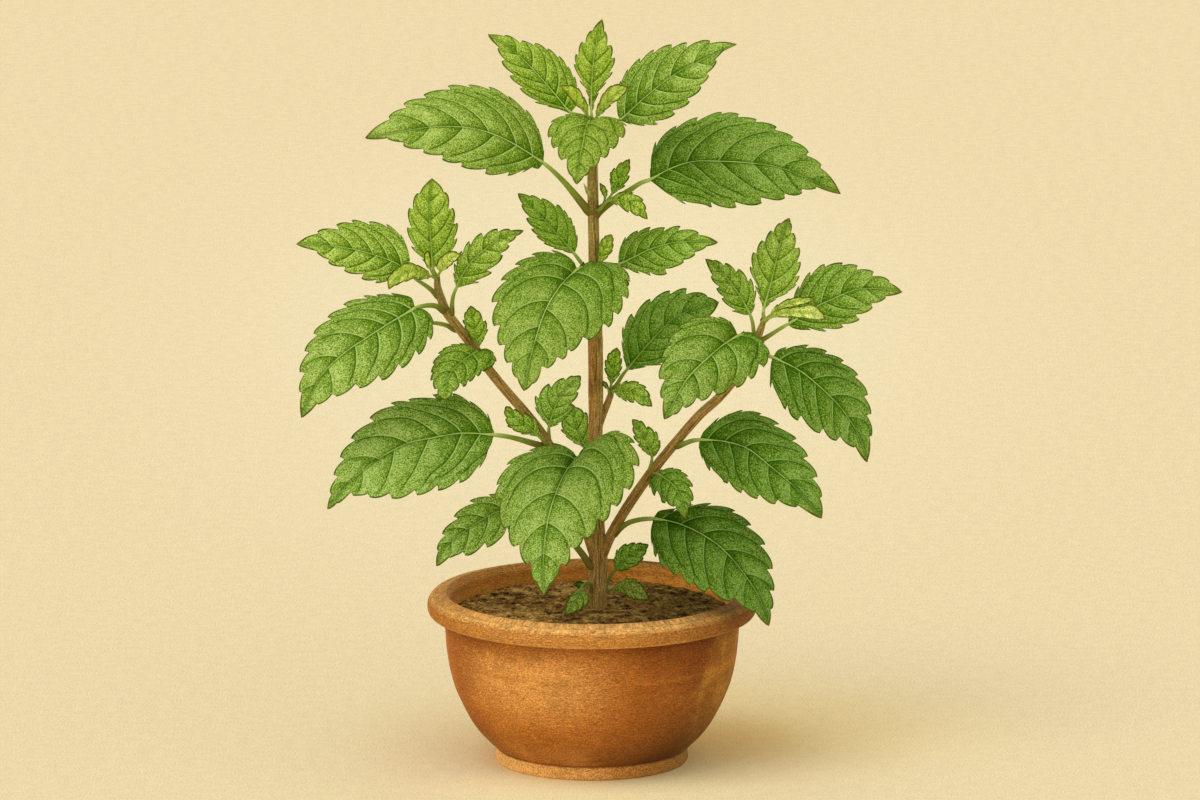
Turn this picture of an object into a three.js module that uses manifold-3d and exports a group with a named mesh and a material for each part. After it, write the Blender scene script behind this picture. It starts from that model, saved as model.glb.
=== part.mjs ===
// Potted holy basil: terracotta bowl, potting soil, woody main stem, two side
// branches, one short shoot and the leaves. Units mm, +Z up, foot of the pot at
// z = 0, pot axis on the Z axis, the plant is seen from -Y.
import * as THREE from 'three';
import Module from 'manifold-3d';

const wasm = await Module();
wasm.setup();
const { Manifold, Mesh } = wasm;

const GAP = 0.3;          // clearance between neighbouring pieces
const HALF = 0.3;         // half the thickness of a blade

// Stems: axis point x, y, z and radius, from the root end to the tip.
const STEMS = {
  main_stem: [[2.52,0,53.49,3.09],[2.32,0,60.26,3.67],[2.13,0,67.03,3.59],[2.52,0,78.96,3.67],[2.13,0,90.88,2.9],[1.74,0,104.77,2.71],[1.55,0,120.62,2.61],[1.44,0,142.37,2.8],[1.29,0,166.05,2.9],[0.98,0,185.75,2.4],[0.71,0,205.4,2.13],[0.4,0,221.1,2.13],[0.25,0,233.65,2.01],[0.18,0,242.65,1.86],[0.18,0.5,249.6,1.26],[0.25,1,251.85,0.58]],
  left_branch: [[2.32,0,74.19,1.16],[0.77,-1,80.38,1.74],[-1.35,-2,88.15,1.93],[-5.41,-2.6,101.38,1.93],[-11.6,-1.5,115,1.93],[-18.17,0,127.34,1.84],[-26.29,1.2,137.77,1.84],[-31.12,2,143.13,1.84],[-39.42,3,153.19,1.84],[-44.82,3.8,161.32,1.89],[-48.3,4.2,165.77,1.89],[-52.27,4.6,170.82,1.86],[-56.2,5,176.1,1.84],[-58.51,5.5,181.87,1.64],[-59.7,6,186.3,1.35],[-59.77,6.4,189.97,1.06]],
  right_branch: [[3.1,0,76.57,1.35],[4.65,-1,82.37,1.93],[7.36,-2.4,89.43,2.01],[13.93,-4.2,101.34,1.97],[22.97,-5.8,114.96,1.93],[32.6,-6.8,127.43,1.89],[41.69,-7.4,138.18,1.82],[49.4,-7.6,145.37,1.78],[57.47,-7.8,155.85,1.74],[62.07,-7.8,164.52,1.7],[63.98,-7.8,169.04,1.58],[65.32,-7.9,172.8,1.31],[66.27,-8,175.77,0.97]],
  middle_shoot: [[1.75,0.8,127.96,0.97],[2.98,1.2,132.62,1.43],[4.45,1.6,136.69,1.39],[6.19,2,141.15,1.35],[7.2,2.3,144.06,1.24],[7.28,2.5,145.59,0.81]],
};

// Leaves. stalk: axis of the leaf stalk from the stem to the blade, r: its radii;
// rib: midrib from the base of the blade to its tip; roll, twist: turn of the blade
// about the midrib in degrees; fold: angle of the two halves at the base and tip;
// curl: bending of each half across; up: 1 where the blade is set against +Z
// instead of the view direction; left, right: tooth tips as [along the midrib, out].
const LEAVES = [
  { name: 'top_leaf_left', tone: 0.45, young: 0, stalk: [[-0.36,0.5,252.73],[-3.05,1,253.61],[-5.75,2,254.21],[-8.25,3,254.61]], r: [0.9,0.6], rib: [[-8.25,3,254.61],[-16.15,8,263.47],[-23.48,12,270.95],[-30.82,16,277.27],[-40.1,21,282.24]], roll: 40.2, twist: 0, fold: [0.12,0.12], curl: 0.027, up: 0, left: [[2.9,3.4],[6.8,7.2],[10.9,10.7],[19.4,11.5],[25.8,11],[33.1,8.4],[38.6,4.5]], right: [[2.3,5.8],[7.5,11],[12.8,14.4],[17.3,15.8],[22.4,15.7],[27.3,14],[31.4,10.3],[35,6.6],[40.9,3.8]] },
  { name: 'top_leaf_right', tone: 0.42, young: 0, stalk: [[1.18,-0.5,252.53],[4.25,-0.5,252.33],[7.33,-0.5,252.13],[10.79,-0.5,252.33]], r: [0.9,0.6], rib: [[10.79,-0.5,252.33],[20.37,-5,262.35],[31.85,-9,272.05],[43.31,-12,278.82],[55.52,-15,284.81]], roll: -37.6, twist: 0, fold: [0.12,0.12], curl: 0.0217, up: 0, left: [[1.3,5.2],[3.7,10],[7.7,14.5],[12.1,16.8],[18.5,17.5],[25.1,16.8],[32.3,13.8],[38.2,11],[47.4,6.8]], right: [[4.3,5.9],[9.7,10.9],[15,14],[24.1,15.7],[32.6,15.2],[39.7,12.5],[43.9,9],[48.5,4.5],[51.7,0.1]] },
  { name: 'top_leaf_centre', tone: 0.72, young: 0.35, stalk: [[0.22,1.5,250.59],[0.02,2.5,252.36],[-0.29,4,254.03]], r: [0.9,0.6], rib: [[-0.29,4,254.03],[-0.21,7.5,261.13],[0.21,11,269.49],[1.25,15,277.73],[3.91,21,288.2]], roll: -8, twist: 0, fold: [0.12,0.12], curl: 0.0444, up: 0, left: [[2.4,0.7],[6.4,1.2],[9.7,2.4],[13.4,5],[19.7,7.6],[23.4,7.3],[28.1,5.7],[33,3.3]], right: [[2.3,0.9],[3.9,1.2],[8.5,3],[12.9,5.8],[17.3,8],[23.5,8.2],[28.6,6],[33.8,2.6]] },
  { name: 'top_leaf_front', tone: 0.68, young: 0.2, stalk: [[0.22,-2,250.46],[-0.05,-4,252.59],[-0.74,-6.5,253.65]], r: [0.9,0.7], rib: [[-0.74,-6.5,253.65],[-2.31,-11,251.72],[-3.45,-18,246.64],[-5.01,-24,240.65],[-6,-29,232.77]], roll: 0, twist: 0, fold: [0.5,-0.1], curl: 0.0422, up: 1, left: [[-0.4,2.3],[0.6,5.4],[0.8,9.3],[1.9,13.8],[3.6,16.6],[9.2,15.2],[14.3,12.3],[19.1,9.8],[24.3,6.3],[28.2,3.4]], right: [[-1.4,3.4],[-0.3,6],[1.4,10],[4.3,14.7],[10,14.4],[15.2,12.2],[21.4,7.8],[28.6,2.6]] },
  { name: 'young_leaf_left', tone: 0.95, young: 1, stalk: [[-0.36,-3,252.6],[-0.66,-4.2,253.41],[-1.2,-5.5,254.44]], r: [0.7,0.5], rib: [[-1.2,-5.5,254.44],[-4.27,-7,258.5],[-7.64,-8.5,262.99],[-12.47,-9,267.65]], roll: -10, twist: 0, fold: [0.45,0.45], curl: 0.0368, up: 0, left: [[3.8,0.1],[8.7,1.2],[13.7,0.8]], right: [[5.6,3.7],[9.1,4.2],[12.6,4.8],[15.3,3.4]] },
  { name: 'young_leaf_right', tone: 0.92, young: 1, stalk: [[0.87,-3,252.6],[1.03,-4.2,253.41],[1.41,-5.5,254.44]], r: [0.7,0.5], rib: [[1.41,-5.5,254.44],[5.13,-7.5,259.42],[9.24,-9.5,264.15],[14.14,-10,267.25]], roll: 10, twist: 0, fold: [0.45,0.45], curl: 0.0313, up: 0, left: [[3.1,2.1],[6.3,3.3],[11.1,4.5],[14.2,4.5],[16.7,3.1]], right: [[1.9,1],[4.7,1.4],[8.5,1.8],[13.9,2.4],[17.5,1.3]] },
  { name: 'crown_leaf_left', tone: 0.45, young: 0, stalk: [[-0.37,0,216],[-4.29,-2,220.86],[-10.17,-5,228.61],[-15.34,-7.5,234.3],[-18.79,-9,237.52]], r: [1.65,0.8], rib: [[-18.79,-9,237.52],[-28.36,-12,244.53],[-38.66,-16,250.36],[-48.95,-20,253.45],[-61.91,-24,254.2],[-86.66,-30,251.05]], roll: 40.1, twist: 0, fold: [0.12,0.12], curl: 0.0166, up: 0, left: [[1.4,4.5],[3.5,5.5],[7.4,10.6],[14.5,15.9],[28.2,20.3],[41,20],[48.9,17],[55.9,13],[62.6,8],[67.3,3.4]], right: [[1.6,5.1],[6.7,13.4],[12.2,18.8],[18.6,22.2],[25,23.5],[31.3,23.4],[39,21.6],[48.6,17.6],[57.1,13.5],[64.2,8.6]] },
  { name: 'crown_leaf_right', tone: 0.28, young: 0, stalk: [[1.17,0,215.61],[5.41,-1,219.14],[10.03,-2,222.47],[14.64,-2.5,225.51],[19.26,-2.5,228.56],[22.34,-2,229.33]], r: [1.65,0.8], rib: [[22.34,-2,229.33],[29.65,0,233.25],[38.53,3,235.62],[48.95,6,235.24],[61.73,10,233.7],[73.35,13,231.16],[96.28,18,219.97]], roll: -34.4, twist: 0, fold: [0.12,0.12], curl: 0.0155, up: 0, left: [[2.9,4.5],[6.6,10.1],[10.1,14.5],[18.1,18.7],[24.3,21.5],[34.9,25],[40.6,23.9],[46.7,22],[52.5,18.8],[57.8,15.8],[64.1,11.5],[70.3,8.4]], right: [[0.6,3],[1.6,7.5],[3.1,12.7],[6,18.2],[22.6,21.8],[33.2,21.3],[45.1,18.6],[58,13.6],[65,8.3],[70.3,3.1]] },
  { name: 'crown_axil_leaf_up', tone: 0.4, young: 0, stalk: [[2.33,-2.2,217.22],[4.83,-3.2,220.35],[7.49,-4.2,223.68]], r: [0.8,0.6], rib: [[7.49,-4.2,223.68],[9.83,-4.6,229.05],[11.75,-5,233.43],[14.55,-5,238.2]], roll: -12, twist: 0, fold: [0.12,0.12], curl: 0.0924, up: 0, left: [[2.8,1.7],[5.8,3.5],[8.3,4.2],[10.3,3.5],[13.5,2.1]], right: [[2.6,1.6],[6.2,3.5],[10.5,3.4],[14.2,1.6]] },
  { name: 'crown_axil_leaf_tiny', tone: 0.4, young: 0, stalk: [[2.91,1.2,217.34],[4.26,1,219.14],[5.14,0.6,221.14]], r: [0.6,0.45], rib: [[5.14,0.6,221.14],[4.18,0.2,224.4],[3.02,-0.5,227.94]], roll: 0, twist: 0, fold: [0.12,0.12], curl: 0.1, up: 0, left: [[2.8,0.7],[5.2,0.7]], right: [[1.9,1.5],[3.7,1.9],[5.8,1.2]] },
  { name: 'crown_axil_leaf_low', tone: 0.55, young: 0, stalk: [[2.91,-4.5,217.86],[4.64,-5.8,220.47],[6.71,-7.5,222.72]], r: [0.7,0.55], rib: [[6.71,-7.5,222.72],[10.02,-9,223.16],[13.85,-11,222.46],[17.31,-12.5,220.48],[21.41,-14,216.2]], roll: 12, twist: 0, fold: [0.12,0.12], curl: 0.0869, up: 0, left: [[2.2,1.5],[4.8,3.2],[8.7,4.3],[12.6,3.9],[15.2,2.2]], right: [[1.2,1.6],[3.5,2.6],[10.4,3.7],[15.1,2.1]] },
  { name: 'upper_leaf_left', tone: 0.4, young: 0, stalk: [[0.02,0.5,193.12],[-2.3,1,194.4],[-3.88,1.5,195.79],[-6.93,3,199.7]], r: [1,0.65], rib: [[-6.93,3,199.7],[-11.56,5,204.61],[-16.2,7.5,209.43],[-22,11,215.23],[-28.58,15,220.94]], roll: 36.2, twist: 0, fold: [0.12,0.12], curl: 0.0382, up: 0, left: [[1.5,2.1],[3.1,3.5],[6.3,6],[10,7.8],[13.8,8],[17.2,7.7],[22.1,6],[27.8,3.3]], right: [[1.7,3.7],[5.4,7.3],[9.5,9.4],[13.3,10.9],[17.2,11],[20.6,10.2],[25.5,6.3],[28.9,3.5]] },
  { name: 'upper_leaf_right', tone: 0.42, young: 0, stalk: [[1.56,-0.5,193.32],[4.26,-1,194.8],[6.95,-1.2,195.5],[10.23,-1.5,196.08]], r: [1,0.65], rib: [[10.23,-1.5,196.08],[15.43,-3,198.93],[21.39,-5,202.47],[27.33,-8,205.03],[33.47,-11,206.99],[48.39,-17,207.99]], roll: -36.1, twist: 0, fold: [0.12,0.12], curl: 0.0286, up: 0, left: [[1.4,4.2],[2.7,7.9],[5.3,10.7],[10.9,10.9],[14.9,10],[20.8,8.1],[27.2,7.2],[34.9,4.3]], right: [[1.7,2.4],[3.9,4.8],[7.8,8.4],[13.8,11.9],[22.8,13.4],[32.2,10.4],[36.1,6.7],[39.7,3.2]] },
  { name: 'upper_axil_leaf', tone: 0.55, young: 0.3, stalk: [[1.56,-2.6,194.33],[2.06,-3,195.79],[2.64,-3.4,197.24]], r: [0.7,0.5], rib: [[2.64,-3.4,197.24],[4.26,-4,201.68],[5.79,-4.4,205.1],[7.53,-4.6,208.55]], roll: 0, twist: 0, fold: [0.12,0.12], curl: 0.1173, up: 0, left: [[1.9,1.2],[4.4,2.2],[6.9,2.7],[9.5,2.4],[11.2,1.6]], right: [[1,1.4],[3.7,2.7],[7,3.3],[9.5,2.4],[11.5,1.4]] },
  { name: 'upper_leaf_front', tone: 0.58, young: 0, stalk: [[1.17,-2,192.84],[-0.17,-5,194.42],[-2.67,-8,195.89],[-5.75,-11,196.02]], r: [1.3,0.9], rib: [[-5.75,-11,196.02],[-11.1,-22,193.14],[-17.55,-38,186.03],[-21.7,-50,176.01],[-24.34,-57,166.96],[-25.85,-62,159.05]], roll: -24, twist: 0, fold: [0.6,-0.2], curl: 0.02, up: 1, left: [[-6.9,0.1],[-6.4,5.2],[-7.5,9.4],[-7.2,14.3],[1.4,23.5],[8.2,26.2],[16.4,25.7],[23.6,24.9],[35.4,20.3],[44.7,15.4],[50.3,12.8],[56.8,7.9],[64.9,3.6]], right: [[-0.9,4.6],[0.9,8.6],[4,12.1],[10.3,16.7],[17.2,19.5],[24.8,21.4],[34.4,21.1],[43.7,17.6],[51.9,13.3],[58.4,8.8],[63.9,4.2]] },
  { name: 'upper_leaf_back', tone: 0.35, young: 0, stalk: [[1.17,2,191.64],[1.94,6,191.62],[2.33,12,191.01],[2.33,18,189.8]], r: [1.2,0.8], rib: [[2.33,18,189.8],[1.55,30,186.01],[-0.8,44,180.41],[-3.93,56,174.01],[-7.08,66,167.19]], roll: 0, twist: 0, fold: [0.2,-0.1], curl: 0.0323, up: 1, left: [[3,5],[8.3,10.5],[13.7,13.3],[19.1,14.6],[24.5,14.6],[29.9,13.6],[35.2,11.8],[40.6,9.2],[46,6],[51.4,1.8]], right: [[1.9,3],[7.3,9.7],[12.7,12.9],[18,14.4],[23.4,14.7],[28.8,13.9],[34.2,12.2],[39.5,9.8],[44.9,6.7],[50.3,2.8]] },
  { name: 'shoot_leaf_back', tone: 0.2, young: 0, stalk: [[7.55,4,145.08],[9.83,6,147.5],[11.58,8,150.21],[13.55,10,152.32]], r: [1,0.65], rib: [[13.55,10,152.32],[17.04,11.5,156.35],[22.46,13.5,162.47],[32.92,16,172.23],[49.21,19,177.15]], roll: -15, twist: 0, fold: [0.12,0.12], curl: 0.0267, up: 0, left: [[3.7,5.3],[7.8,9.2],[12,12.6],[17.8,13.5],[25.2,12.5],[30.7,10.6],[35.7,8.9],[42.2,4]], right: [[1.6,2.2],[5.6,5.6],[10.3,9.9],[16.2,12.2],[24.1,13],[35.6,10.5],[41,5.4]] },
  { name: 'shoot_leaf_up', tone: 0.36, young: 0, stalk: [[7.28,3,144.9],[7.31,3,146.08],[7.35,2.8,147.27]], r: [0.8,0.55], rib: [[7.35,2.8,147.27],[7.93,2.2,152.97],[8.7,1.6,157.83],[9.59,1,162.89]], roll: 8, twist: 0, fold: [0.12,0.12], curl: 0.1001, up: 0, left: [[3.8,2.1],[7.1,3.5],[10.4,3.6],[13.4,2.6]], right: [[2.6,1.7],[5.6,3.2],[8.6,3.5],[11.9,2.7],[14.7,1.5]] },
  { name: 'shoot_leaf_tiny', tone: 0.4, young: 0, stalk: [[6.89,0.8,144.97],[6.73,0,145.61],[6.35,-1,146.61]], r: [0.55,0.4], rib: [[6.35,-1,146.61],[5.03,-2.5,148.82],[3.95,-4,150.88]], roll: 0, twist: 0, fold: [0.12,0.12], curl: 0.1, up: 0, left: [[1.9,0.8],[3.9,0.7]], right: [[1.4,1],[4.2,1]] },
  { name: 'shoot_leaf_low', tone: 0.42, young: 0, stalk: [[7.66,0.8,145.16],[7.81,-0.8,145.94],[8.31,-2.5,146.77]], r: [0.7,0.55], rib: [[8.31,-2.5,146.77],[11.21,-5,147.65],[15.25,-8.5,147.65],[20.14,-12,145.35],[23.21,-14.5,142.89]], roll: 14, twist: 0, fold: [0.12,0.12], curl: 0.0759, up: 0, left: [[2.2,1.3],[4.2,2.4],[7.3,3.9],[11.1,4.5],[14.2,4.2],[17.2,2.4]], right: [[0.8,1.9],[2.2,3.6],[6.9,4.8],[12.5,3.8],[17.7,2.2]] },
  { name: 'left_tip_leaf_top', tone: 0.66, young: 0.3, stalk: [[-60.12,6.5,189.35],[-60.83,7.5,190.73],[-61.53,8.6,192.48]], r: [0.9,0.6], rib: [[-61.53,8.6,192.48],[-62.35,11.5,203.52],[-62.59,15,216.46],[-61.83,18,226.19]], roll: 6, twist: 0, fold: [0.12,0.12], curl: 0.0352, up: 0, left: [[1.7,2.3],[4.1,4],[9.3,7.9],[16.4,9.1],[23.5,8.2],[28.9,5.3]], right: [[1.4,2.2],[3.5,4.3],[6.6,8.7],[11.5,10.6],[17.7,10.9],[23.9,9.2],[30.3,6]] },
  { name: 'left_tip_leaf_left', tone: 0.48, young: 0, stalk: [[-59.25,6,181.38],[-61.43,5,184.26],[-64.61,4,186.98],[-68.02,3,189.51],[-70.59,2.4,192.15]], r: [1,0.65], rib: [[-70.59,2.4,192.15],[-74.84,1.5,195.67],[-85.91,-1.5,200.59],[-96.04,-4.5,203.55],[-104.62,-7.5,204.93],[-113.76,-11,206.01]], roll: 30.7, twist: 0, fold: [0.12,0.12], curl: 0.026, up: 0, left: [[1.7,4.2],[6.1,8.5],[13.7,11.8],[20.3,12],[28.7,10.5],[36.1,8],[40.2,3.9]], right: [[2.3,3.5],[4.1,6.8],[5.4,9.2],[7.5,13.2],[12.7,15.7],[19.1,14.6],[25.5,13.1],[31,10],[38.8,6.1]] },
  { name: 'left_tip_leaf_right', tone: 0.42, young: 0, stalk: [[-54.27,4.5,174.59],[-54.01,4,180.17],[-53.26,3.4,183.88],[-52.25,3,185.93]], r: [1,0.65], rib: [[-52.25,3,185.93],[-50.05,1.5,191.35],[-46.04,-1,197.59],[-39.36,-4.5,204.02],[-32.71,-8,208.79],[-26.22,-11,211.22]], roll: 8, twist: 0, fold: [0.12,0.12], curl: 0.0454, up: 0, left: [[2.9,2.2],[5.7,3.6],[8.9,5.1],[14.2,5.9],[18.6,6.5],[24.8,6],[30.8,4.1],[35,2]], right: [[1.4,1.8],[3.7,4.6],[6.6,7.3],[15.5,9],[25.8,6.4],[31.5,4.3],[36.3,2]] },
  { name: 'left_tip_young_left', tone: 0.9, young: 1, stalk: [[-60.12,3.6,189.55],[-60.95,2.4,190.14],[-62.08,1,190.89]], r: [0.7,0.5], rib: [[-62.08,1,190.89],[-64.51,-1.5,193.09],[-69.34,-5,194.5],[-74.22,-8.5,192.49],[-78.23,-11,188.21]], roll: 0, twist: 0, fold: [0.2,0.2], curl: 0.0832, up: 0, left: [[0.9,1.9],[6.6,3.6],[16,3.1],[20.3,1.4]], right: [[3.3,1.3],[8.3,2.2],[11.2,3.5],[14.2,3.6],[17.5,3.4],[20.7,2.9]] },
  { name: 'left_tip_young_up', tone: 0.9, young: 1, stalk: [[-60.44,4.6,189.93],[-61.28,4.2,190.96],[-62.12,3.9,192.2]], r: [0.6,0.45], rib: [[-62.12,3.9,192.2],[-63.02,3.2,196.51],[-63.54,2.2,200.88]], roll: 0, twist: 0, fold: [0.25,0.25], curl: 0.05, up: 0, left: [[2.8,1.5],[6.1,1.8],[8.1,1.2]], right: [[3.1,0.9],[6.1,1.1],[8.1,0.8]] },
  { name: 'left_tip_young_right', tone: 0.95, young: 1, stalk: [[-59.41,3,190.45],[-59.16,1.6,191.56],[-58.59,0,192.87]], r: [0.65,0.5], rib: [[-58.59,0,192.87],[-55.85,-2.2,197],[-52.93,-4.2,199.76],[-49.86,-6,200.86]], roll: 10, twist: 0, fold: [0.3,0.3], curl: 0.0356, up: 0, left: [[1.2,2.1],[2.8,3.2],[6.4,3.7],[10,3],[11.9,1.5]], right: [[1.5,1],[4,1.8],[7.4,2.1],[11.3,1.6]] },
  { name: 'left_big_leaf', tone: 0.42, young: 0, stalk: [[-57.14,3.6,176.55],[-59.64,0.5,179.15],[-62.55,-3.5,180.44],[-65.65,-7.5,180.86],[-68.11,-10.5,180.8]], r: [1.2,0.8], rib: [[-68.11,-10.5,180.8],[-77.24,-17,176.64],[-86.75,-23,171.6],[-95.69,-28,166.36],[-103.88,-32,158.58],[-111.48,-38,143.4]], roll: 24.3, twist: 0, fold: [0.12,0.12], curl: 0.019, up: 0, left: [[-2,2.4],[-2.9,5.6],[-1.3,10.1],[4.1,15.1],[12.4,18],[21.6,19],[30.9,18.7],[41.5,15.9],[53.2,10.5],[58.9,5]], right: [[-1.5,4.4],[0.4,7.6],[3.7,10.4],[8.7,13.4],[13,16],[21.4,18.1],[30.3,16.9],[37.8,15.2],[44.2,12.2],[50.2,8.7],[56.7,5]] },
  { name: 'left_big_leaf_back', tone: 0.3, young: 0, stalk: [[-52.56,5.5,168.46],[-55.69,6,170.41],[-58.82,6.6,171.16],[-61.66,7.6,171.23],[-64.97,9,170.7]], r: [1,0.7], rib: [[-64.97,9,170.7],[-72.82,15,165.71],[-81.1,21,158.93],[-94.15,30,147.13]], roll: 0, twist: 0, fold: [0.12,0.12], curl: 0.0364, up: 1, left: [[2.5,3.8],[7.3,7.9],[12.1,9.8],[16.8,10.5],[21.6,10.1],[26.3,8.9],[31.1,7.1],[35.9,4.6],[40.6,1.4]], right: [[1.6,2.3],[6.3,7.3],[11.1,9.5],[15.9,10.4],[20.6,10.2],[25.4,9.2],[30.2,7.5],[34.9,5.1],[39.7,2.1]] },
  { name: 'left_small_leaf_front', tone: 0.4, young: 0, stalk: [[-42.87,1.5,161.01],[-43.43,0,161.71],[-44.57,-2.2,162.05]], r: [0.8,0.6], rib: [[-44.57,-2.2,162.05],[-49.34,-7,159.78],[-53.53,-12,156.81],[-55.75,-16,153.88],[-56.5,-22,146.85]], roll: -8, twist: 0, fold: [0.5,-0.1], curl: 0.0574, up: 0, left: [[-2.2,0.1],[-4.7,1.6],[-5.6,4.7],[-4.2,7.8],[-0.2,8.4],[2.5,8.3],[5.8,8.7],[11,8.4],[15.9,7.9],[24.4,3.9],[27.5,1.8]], right: [[1.6,2.7],[3.1,4.8],[5.7,6.5],[8.4,7.9],[11.4,8.6],[13.3,8.6],[16.9,7.9],[19.2,6.8],[21.3,6.2],[24.4,4.2],[27.7,2.4]] },
  { name: 'left_small_leaf_up', tone: 0.42, young: 0, stalk: [[-42.7,4.2,160.25],[-43.09,4,160.88],[-44.05,3.6,162.07]], r: [0.8,0.6], rib: [[-44.05,3.6,162.07],[-45.25,2.2,169.54],[-46.08,1.2,174.87],[-46.83,0.4,179.52]], roll: 6, twist: 0, fold: [0.12,0.12], curl: 0.076, up: 0, left: [[2.7,1.3],[6.7,2.9],[10.2,3.9],[12.9,4],[16,2.4]], right: [[1.3,1.4],[3.9,3.4],[6.9,5.3],[10.8,4.8],[15.6,2.5]] },
  { name: 'left_lower_leaf', tone: 0.34, young: 0, stalk: [[-17.99,1,123.96],[-21.96,-1,125.19],[-27.12,-3.5,127.31],[-32.28,-6,129.15],[-37.81,-8.5,130.44]], r: [1.3,0.85], rib: [[-37.81,-8.5,130.44],[-50.11,-13,132.13],[-61.99,-18,131.23],[-70.8,-21.5,130.02],[-82.28,-26,124.7],[-92.61,-30,116.92],[-101.79,-34,106.78]], roll: 29.4, twist: 0, fold: [0.12,0.12], curl: 0.0162, up: 0, left: [[1.8,3.9],[3.3,7.1],[8,15.6],[22.1,21.8],[30.5,22.9],[45.7,22.4],[56.1,17.8],[62.9,11.5],[66.9,5.5],[73,2.5]], right: [[0.8,4.5],[2.1,9.2],[8.6,14.3],[13.3,18.3],[18.9,19.2],[29.4,19.2],[34.6,19.8],[42.5,17.9],[51.9,14.8],[59.2,11.1],[65.3,7.4],[71.4,3.5]] },
  { name: 'left_axil_leaf_left', tone: 0.38, young: 0, stalk: [[-17.58,-2.2,125.45],[-18.62,-3.4,126.81],[-20.08,-4.6,128.5]], r: [0.8,0.6], rib: [[-20.08,-4.6,128.5],[-24,-6.6,132.72],[-27.08,-8,135.43],[-31.73,-9.4,139.4],[-33.34,-10,141.93]], roll: 0, twist: 0, fold: [0.12,0.12], curl: 0.0766, up: 0, left: [[2.7,1.4],[4,2.1],[7.7,4.1],[11.8,4.6],[14.3,4.6],[16.3,3],[18.6,1.4]], right: [[1.6,2],[3,2.4],[5.1,3.6],[7.6,4.5],[11.9,3.4],[16.5,2.4],[19.2,1.2]] },
  { name: 'left_axil_leaf_up', tone: 0.4, young: 0, stalk: [[-16.4,0.5,124.07],[-16.55,0,126.95],[-16.7,-0.6,129.45],[-16.77,-1.2,131.76]], r: [0.9,0.65], rib: [[-16.77,-1.2,131.76],[-14.51,-3.5,139.8],[-11.76,-5.5,146.02],[-4.38,-9,153.82]], roll: 8, twist: 0, fold: [0.12,0.12], curl: 0.0446, up: 0, left: [[2.1,2],[3.4,3.9],[7.1,7.5],[11.2,8.7],[16.4,6.4],[21.5,3.8],[24.9,2.1]], right: [[0.8,1.3],[2.5,3.5],[7,6.2],[13,7],[21.5,4.6],[25.1,2.2]] },
  { name: 'axil_leaf_behind', tone: 0.22, young: 0, stalk: [[0.39,2.8,118.42],[-0.77,4.2,119.7],[-2.09,5.6,121.38]], r: [0.8,0.6], rib: [[-2.09,5.6,121.38],[-4.26,8,125.62],[-6.2,10.5,131.02],[-8.15,14,138.2]], roll: 0, twist: 0, fold: [0.12,0.12], curl: 0.0586, up: 0, left: [[2.6,1.6],[5.2,3.8],[8.3,5.5],[11.1,6.5],[14.8,4.6],[18,2.8]], right: [[1.6,2.1],[5.2,4.5],[10.4,5.5],[15.1,4.9],[17.7,1.9]] },
  { name: 'lower_leaf_front', tone: 0.6, young: 0, stalk: [[0.78,-2.5,117.99],[-0.38,-5,119.92],[-3.08,-8.5,121.67],[-5.77,-12,122.04]], r: [1.4,0.95], rib: [[-5.77,-12,122.04],[-9.23,-20,119.84],[-12.66,-31,115.56],[-16.45,-44,106.65],[-18.33,-54,96.14],[-18.69,-61,86.94],[-18.29,-66,79.86]], roll: 0, twist: 0, fold: [0.9,-0.2], curl: 0.0212, up: 1, left: [[0.1,4.4],[0.4,9.6],[-1.6,12.1],[-0.7,16.9],[1.4,25.1],[6,31.1],[14,32],[22.2,29.3],[29.4,25.6],[36.7,21.9],[45.6,16.8],[50.8,12.7],[58.9,9.4],[67.2,3.5]], right: [[-0.6,4.4],[1.2,7.9],[3.6,11.2],[10.1,16.9],[17,22.7],[24.4,24.8],[30.5,23.9],[42.6,18.2],[51,12.8],[58.7,7.2],[66.3,3.6]] },
  { name: 'lower_leaf_back', tone: 0.33, young: 0, stalk: [[1.55,2.6,114.9],[2.32,7,114.73],[2.71,13,114.21],[2.71,19,113.3]], r: [1.3,0.85], rib: [[2.71,19,113.3],[2.32,31,109.48],[0.75,45,103.62],[-1.61,57,96.57],[-3.98,67,88.73]], roll: 0, twist: 0, fold: [0.2,-0.1], curl: 0.0312, up: 1, left: [[3,5.1],[8.4,10.8],[13.9,13.8],[19.3,15.1],[24.7,15.1],[30.2,14],[35.6,12.2],[41,9.5],[46.5,6.2],[51.9,1.8]], right: [[1.9,3.1],[7.3,10],[12.8,13.3],[18.2,14.9],[23.7,15.2],[29.1,14.3],[34.5,12.6],[40,10.1],[45.4,6.9],[50.8,2.9]] },
  { name: 'low_leaf_left', tone: 0.3, young: 0, stalk: [[0,-2,76.43],[-3.48,-3,81.63],[-7.74,-3,86.79],[-13.94,-2,92.12],[-21.68,-1,96.66],[-29.43,0,100.01]], r: [1.4,0.65], rib: [[-29.43,0,100.01],[-37.39,-2,98.35],[-43.14,-4.5,95.62],[-50.51,-7.5,91.37],[-56.9,-10.5,86.46],[-60.24,-14,79.68]], roll: 33.5, twist: 0, fold: [0.12,0.12], curl: 0.0303, up: 0, left: [[1.5,5.1],[3.6,8.7],[6.9,10.5],[20.3,12.2],[30.1,9.6],[36.9,5.1]], right: [[0.7,4.4],[4.2,7.7],[7.6,9],[13.2,10.8],[22.2,8.7],[29.9,5.2],[35.1,2.5]] },
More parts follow.
